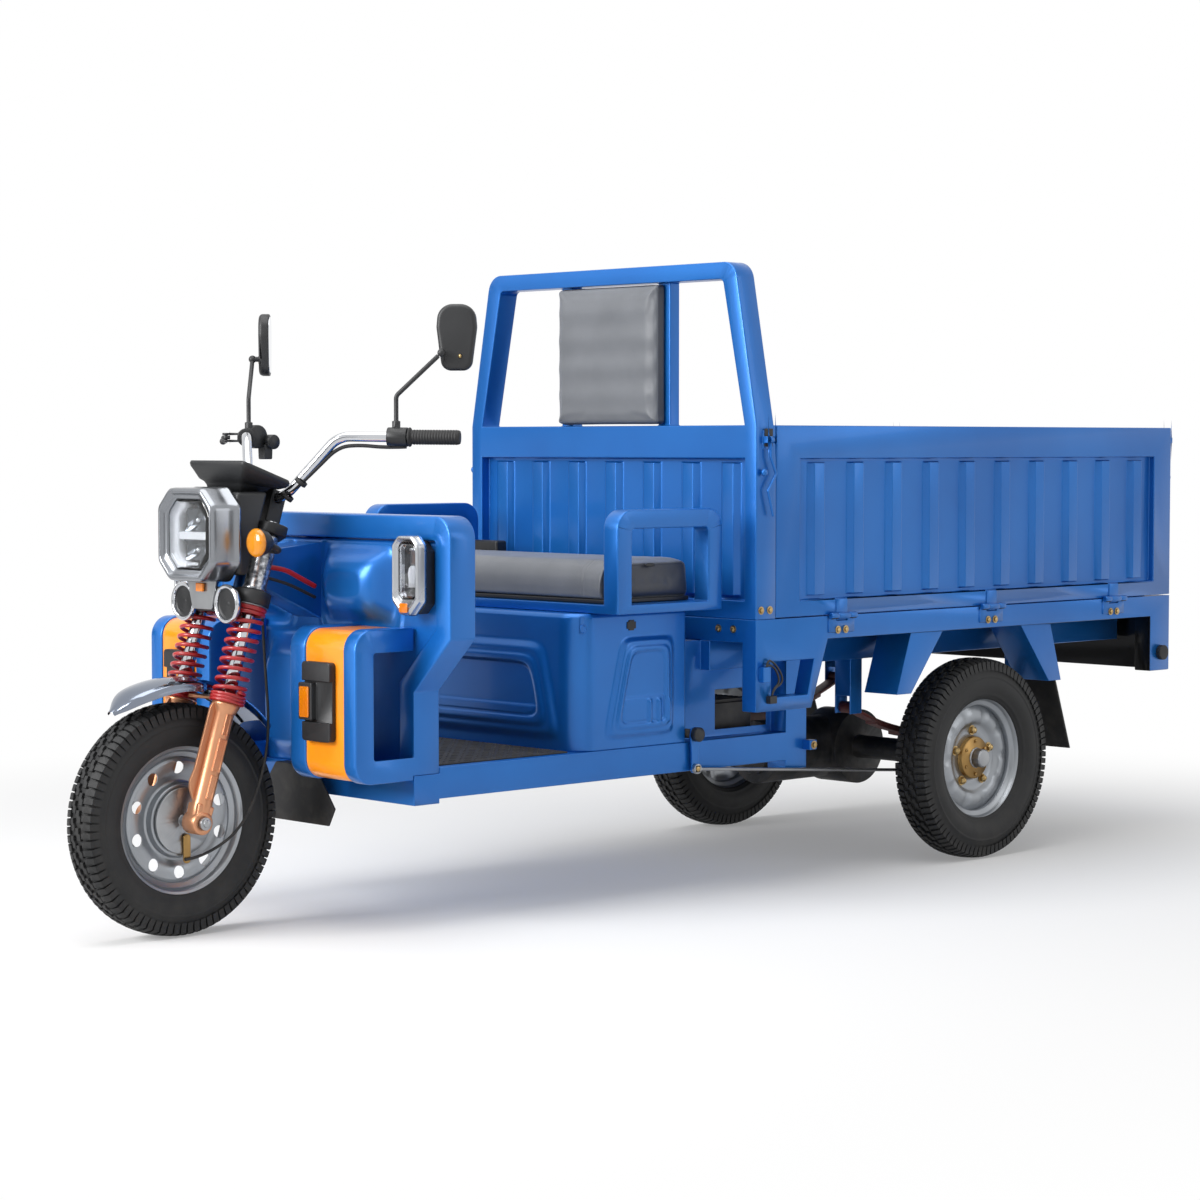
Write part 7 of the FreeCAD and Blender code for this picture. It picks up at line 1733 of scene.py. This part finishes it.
# Painted shade on the seat's end faces, those turned to the sides.
mark_painted_shade(seat, lambda spot, normal: (abs(normal.x) - PANEL_SLOPE) * 12 * MM)
seat_piece = show("seat_cover", seat, COVER_WITH_PAINTED_SHADE, "seat_lid", ["seat_cushion"])
welts = [tube("welt", section_loop(seat, way * seat_end), 2.2, 8) for way in (1, -1)]
show("seat_welts", joined("seat_welts", *welts), LEATHER, "seat_lid")
board = slab("seat_board", (-391, 391), (693.8, 704), 274, 909, 3)
show("seat_board", board, BLACK, "seat_lid")
pull = turned("seat_pull", [(-3, 0), (-3, 15), (1.4, 15), (2, 13), (2, 0)], ORIGIN, ACROSS, 32)
pull.transform(Matrix.Translation(at(392, 1054, 779)) @ Matrix.Diagonal((1, 1, 0.32, 1)))
show("seat_pull", pull, BLACK, "seat_lid")
tray_box = plate("seat_rear_box", [(-400, 694.2), (-288, 694.2), (-291, 815), (-397, 815)], 36,
                 at(0, 1192, 0), 6)
show("seat_rear_box", tray_box, BLACK, "seat_lid")

BACK_LOW, BACK_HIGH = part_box("backrest_cushion")
back_core = slab("back core", (-178, 178), (1101, 1441), 34, 1287.5, 9)
back = cushion("backrest_cover", back_core, "backrest_cushion", 5.0, 6,
               lambda spot: spot.y > BACK_HIGH.y - 4 * MM)


def back_depth(spot, normal):
    wave = 1.1 + 1.1 * math.cos(math.tau * (spot.z - BACK_LOW.z - 40 * MM) / (68 * MM))
    return wave * ramp(-normal.y, 0.3, 0.8)


pressed_in(back, back_depth)
# Painted shade on the back pad's sides and rear, more than 19 mm behind its front.
mark_painted_shade(back, lambda spot, normal: spot.y - (BACK_LOW.y + 19 * MM))
back_piece = show("backrest_cover", back, COVER_WITH_PAINTED_SHADE, "chassis", ["backrest_cushion"])
print("cushions:", len(seat.polygons), "and", len(back.polygons), "faces")

# %% [markdown]
# Bolts, studs and other small fittings. A bolt is placed by its height and its place along the side; a ray
# cast on the solid finds the surface that it stands on. One tree sets all the copies.

# %% Bolts
INWARD = Vector((-1, 0, 0))


def landed(start, way, *nodes):
    """Where a ray from a place first meets one of some solids."""
    hits = []
    for node in nodes:
        mesh = frame["nodes"][node].data
        corners = [vert.co for vert in mesh.vertices]
        tree = BVHTree.FromPolygons(corners, [face.vertices for face in mesh.polygons])
        place, _, _, distance = tree.ray_cast(start, way)
        if place is not None:
            hits.append((distance, place))
    if not hits:
        raise RuntimeError(f"nothing of {nodes} lies in the way of {start}")
    return min(hits, key=lambda hit: hit[0])[1]


def bolt_shape(name, size):
    head = hexagon_nut(name + " head", size, size * 0.62, dome=size * 0.2)
    profile = [(-1, 0), (-1, size * 1.45), (1.1, size * 1.45), (1.5, size)]
    washer = turned(name + " washer", profile, ORIGIN, ACROSS, 20)
    return joined(name, moved(head, Vector((1.1 * MM, 0, 0))), washer)


def side_bolts(name, node, places, size, body, material):
    """Bolt heads on both sides of a solid, from (y, z) places."""
    spots = [landed(at(700, y, z), INWARD, node) for y, z in places]
    left = copies_at(name, bolt_shape(name + " bolt", size), spots, material)
    other = mirrored(left, name + " right")
    other.materials.append(material)
    show(name + "_left", left, material, body, smooth=False)
    show(name + "_right", other, material, body, smooth=False)
    return spots


HINGES = [1363.5 + 1576.5 * share + step for share in (0.145, 0.508, 0.836) for step in (-14, 14)]
hinge_spots = side_bolts("hinge_bolts", "bed_frame", [(y, 612) for y in HINGES], 6.5, "chassis", BRASS)
print("hinge bolts at x", [round(spot.x / MM, 1) for spot in hinge_spots])
post_spots = side_bolts("post_bolts", "headboard", [(1312, 668), (1342, 668)], 6.5, "chassis", BRASS)
print("post bolts at x", [round(spot.x / MM, 1) for spot in post_spots])
front_bolt = bolt_shape("front bolt", 6.5)
front_bolt.transform(Matrix.Rotation(-math.pi / 2, 4, "Z"))
front_spots = [landed(at(x, 1200, 622), BACKWARD, "bed_frame") for x in (-427, -379, 379, 427)]
front_bolts = copies_at("front_bolts", front_bolt, front_spots, BRASS)
show("front_bolts", front_bolts, BRASS, "chassis", smooth=False)
print("front bolts at y", [round((spot.y - AXLE_Y) / MM, 1) for spot in front_spots])

# %% [markdown]
# The rubber mat has small raised bars, turned by turns to one side and the other, as on tread plate.

# %% Floor mat
MAT_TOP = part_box("floor_mat")[1].z
BAR_PLAN = [(-8, -2), (8, -2), (8, 2), (-8, 2)]


def mat_bar(name, turn):
    bm = bmesh.new()
    top = [bm.verts.new(Vector((x * 0.86, y * 0.6, 1.3)) * MM) for x, y in BAR_PLAN]
    foot = [bm.verts.new(Vector((x, y, -0.4)) * MM) for x, y in BAR_PLAN]
    quads(bm, [foot, top], closed=True)
    bm.faces.new(top)
    bmesh.ops.rotate(bm, verts=bm.verts, cent=(0, 0, 0), matrix=Matrix.Rotation(turn, 3, "Z"))
    bmesh.ops.recalc_face_normals(bm, faces=bm.faces)
    return mesh_from(bm, name)


def mat_bars():
    for kind, turn in ((0, math.radians(45)), (1, math.radians(-45))):
        spots = []
        for column, x in enumerate(steps_between(-336, 336, 24)):
            for line, y in enumerate(steps_between(452, 824, 24)):
                if (column + line) % 2 == kind:
                    spots.append(Vector((x * MM, at(0, y, 0).y, MAT_TOP)))
        bars = copies_at(f"mat_bars_{kind}", mat_bar("mat bar", turn), spots, RUBBER)
        show(bars.name, bars, RUBBER, "chassis", smooth=False)
        print(bars.name + ":", len(spots), "bars")


mat_bars()

# %% [markdown]
# The pedal brake's cross-shaft: a black shaft, a blue arm at each end with a black cap on the shaft's end and
# a brass pin for the rod.

# %% Brake shaft

BRAKE_ARM = [(-11, 290), (-7, 286), (0, 285), (7, 286), (11, 290), (12, 340), (15, 372), (13, 390), (0, 394),
             (-13, 390), (-15, 372), (-12, 340)]
BRAKE_CAP = [(383.2, 0), (383.2, 17), (397, 17), (400, 14), (401, 0)]
BRAKE_PIN = [(382, 0), (382, 4), (390, 4), (390, 6.5), (393, 6.5), (394, 5), (394, 0)]


def brake_shaft():
    y, z = 1214, 377
    axis = ACROSS
    shaft = turned("brake_shaft_bar", [(-392, 0), (-392, 11), (392, 11), (392, 0)], at(0, y, z), axis, 28)
    show("brake_shaft_bar", shaft, BLACK_STEEL, "brake_shaft", ["brake_shaft"])
    arm = thick("brake arm", [at(377, y + along, up) for along, up in BRAKE_ARM], (6 * MM, 0, 0))
    arm = rounded(arm, "brake arm", 1.4 * MM)
    show("brake_arms", both_sides("brake_arms", arm), BLUE, "brake_shaft")
    cap = turned("brake cap", BRAKE_CAP, at(0, y, z), axis, 32)
    show("brake_caps", both_sides("brake_caps", cap), BLACK, "brake_shaft")
    pin = turned("brake pin", BRAKE_PIN, at(0, y, 296), axis, 20)
    show("brake_pins", both_sides("brake_pins", pin), BRASS, "brake_shaft")
    print("brake shaft: bar, arms, caps and pins")


brake_shaft()

# %% [markdown]
# Small fittings that the photograph shows on the near side: the charging socket in the seat box, the hasp
# below the seat, a relay beside the controller, the switches, the ties and the cable on the handlebar, the
# screws in the mirrors and the plates and studs of the corner hooks.

# %% Fittings


def socket_plate():
    cross = [(-14, -8), (-8, -8), (-8, -12), (8, -12), (8, -8), (14, -8), (14, 8), (8, 8), (8, 12), (-8, 12),
             (-8, 8), (-14, 8)]
    made = plate("socket", cross, 3, ORIGIN, 0.8)
    made.transform(Matrix.Translation(landed(at(700, 1017, 641), INWARD, "seat_box"))
                   @ Matrix.Rotation(math.pi / 2, 4, "Z") @ Matrix.Translation((0, -2.2 * MM, 0)))
    show("charging_socket", made, BLACK, "chassis")


def hasp():
    place = landed(at(700, 872, 652), INWARD, "seat_box")
    strap = plate("hasp strap", [(-8, -26), (8, -26), (8, 14), (-8, 14)], 3,
                  Vector((0, -2.5, 0)) * MM, 1)
    turns = [step / 10 * math.tau for step in range(11)]
    circle = [Vector((9 * math.cos(turn), -3, 9 * math.sin(turn) - 14)) * MM for turn in turns]
    ring = tube("hasp ring", circle, 2, 8)
    made = joined("hasp", strap, ring)
    made.transform(Matrix.Translation(place) @ Matrix.Rotation(math.pi / 2, 4, "Z"))
    show("seat_hasp", made, BLUE, "chassis")


def relay():
    """A relay, its plug and two wires on the sheet behind the seat box."""
    wall = landed(at(700, 1316, 520), INWARD, "chassis_frame", "bed_frame", "controller").x / MM
    case = slab("relay case", (wall - 1, wall + 17), (500, 536), 24, 1304, 2.5)
    show("relay_case", case, BLUE, "chassis")
    plug = slab("relay plug", (wall - 1, wall + 14), (449, 467), 24, 1330, 2)
    wires = [plug]
    for rise, reach in ((552, 1372), (541, 1360)):
        route = [(1322, 534), (1326, rise), (1344, rise - 4), (reach, 522), (reach + 8, 496), (1344, 482),
                 (1342, 466)]
        wires.append(tube("relay wire", [at(wall + 8, y, z) for y, z in route], 2.6, 8, smooth_spline=True))
    show("relay_wires", joined("relay_wires", *wires), BLACK, "chassis")
    print("relay on a wall at x", round(wall, 1))


def rear_lug():
    """A lug with a bronze pin behind the rear upright."""
    wall = landed(at(700, 1610, 322), INWARD, "chassis_frame").x / MM
    lug = slab("rear lug", (wall - 2, wall + 24), (312, 336), 26, 1602, 3)
    show("rear_lugs", both_sides("rear_lugs", lug), BLUE, "chassis")
    pin = moved(bolt_shape("lug pin", 7), at(wall + 24, 1616, 324))
    show("rear_lug_pins", both_sides("rear_lug_pins", pin), BRASS, "chassis", smooth=False)


def hook_plates():
    """The black plate behind each front hook and the round stud that its loop drops over."""
    wall = landed(at(700, 1332, 1070), INWARD, "headboard").x / MM
    outline = [(1318, 1050), (1346, 1050), (1346, 1092), (1318, 1092)]
    back_plate = plate("hook plate", outline, 2.4, ORIGIN, 2)
    back_plate.transform(Matrix.Translation((wall * MM, AXLE_Y, 0)) @ Matrix.Rotation(math.pi / 2, 4, "Z")
                         @ Matrix.Translation((0, -2.2 * MM, 0)))
    show("hook_plates", both_sides("hook_plates", back_plate), BLACK, "chassis")
    stud = turned("hook stud", [(-1, 0), (-1, 5), (6, 5), (7, 8), (10, 9.5), (14, 8), (16, 4), (16.5, 0)],
                  landed(at(700, 1312, 990), INWARD, "headboard"), ACROSS, 24)
    show("hook_studs", both_sides("hook_studs", stud), BLUE, "chassis")


def switch_housings():
    """The throttle's cable drum, the switch barrel and its plug behind the inner end of the right grip."""
    low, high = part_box("throttle_grip")
    inner = Vector((high.x, low.y, (low.z + high.z) / 2))
    axis = ACROSS
    drum = turned("drum", [(2, 0), (2, 25), (4, 27), (22, 27), (24, 25), (24, 0)],
                  inner + Vector((0, 24, 2)) * MM, axis, 40)
    switch = turned("switch", [(6, 0), (6, 15), (8, 17), (38, 17), (40, 15), (40, 0)],
                    inner + Vector((0, 58, -10)) * MM, axis, 32)
    plug = plate("plug", [(6, -30), (30, -30), (32, 4), (4, 4)], 24, inner + Vector((0, 36, -20)) * MM, 3)
    made = joined("switch_housings", drum, switch, plug)
    show("switch_housings", made, BLACK, body_of_node("bar_controls"))
    print("switch housings:", len(made.polygons), "faces")


GLASS_SHARE, GLASS_LIFT, GLASS_THICKNESS = 0.9, 0.2, 0.8


def mirror_glass(side, way):
    """The glass on the rider's face of a mirror and the screw in its back."""
    node = "mirror_" + side
    bm = bmesh.new()
    bm.from_mesh(frame["nodes"][node].data)
    bmesh.ops.remove_doubles(bm, verts=bm.verts, dist=MERGE)
    bmesh.ops.dissolve_limit(bm, angle_limit=FLAT, verts=bm.verts, edges=bm.edges)
    face = max(bm.faces, key=lambda item: item.calc_area() * (item.normal.y > 0.5))
    middle, way_out = face.calc_center_median(), face.normal.copy()
    lift = way_out * GLASS_LIFT * MM
    rim = [middle + (vert.co - middle) * GLASS_SHARE + lift for vert in face.verts]
    bm.free()
    glass = thick("mirror_glass_" + side, rim, way_out * GLASS_THICKNESS * MM)
    show("mirror_glass_" + side, glass, MIRROR, node, smooth=False)
    screw = turned("mirror_screw_" + side, [(1, 0), (1, 5), (-1.6, 4.4), (-2.6, 2.6), (-2.8, 0)],
                   landed(at(356 * way, 300, 1246), BACKWARD, node), BACKWARD, 20)
    show(screw.name, screw, BRASS, node)


def neck_cables():
    """The red and the black cable from the fork to the front panel."""
    red_route = [(90, 190, 790), (91, 230, 786), (91, 275, 764), (90, 318, 744)]
    black_route = [(88, 184, 768), (90, 232, 756), (92, 276, 738), (90, 318, 720)]
    for name, material, radius, route in (("neck_cable_red", RED_CABLE, 5.5, red_route),
                                          ("neck_cable_black", RUBBER, 3.6, black_route)):
        piece = bending_cable(name, route, radius, material)
        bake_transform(piece)
    print("neck cables: red and black")


BAR_ROUTE = [(52, 240, 935), (84, 262, 952), (128, 296, 1004), (162, 326, 1049), (200, 354, 1054),
             (250, 390, 1048), (286, 416, 1050)]
TIE = [(0, 11.6), (0, 14.2), (9, 14.2), (9, 11.6)]


def bar_cable():
    for side, way in (("left", 1), ("right", -1)):
        line = tube("bar cable", [at(x * way, y, z) for x, y, z in BAR_ROUTE], 4.2, 12, smooth_spline=True)
        ties = []
        for low, high in (((96, 272.5, 970), (104, 278, 981)), ((70, 255, 938), (76, 259, 946))):
            start, end = at(low[0] * way, *low[1:]), at(high[0] * way, *high[1:])
            ties.append(turned("tie", TIE, start, end - start, 24, closed=True))
        show(f"bar_cable_{side}", joined("bar cable", line, *ties), RUBBER, "fork")


socket_plate()
hasp()
relay()
rear_lug()
hook_plates()
switch_housings()
mirror_glass("left", 1)
mirror_glass("right", -1)
neck_cables()
bar_cable()
print("fittings: socket, hasp, relay, lugs, hook plates, mirror glass and cables")
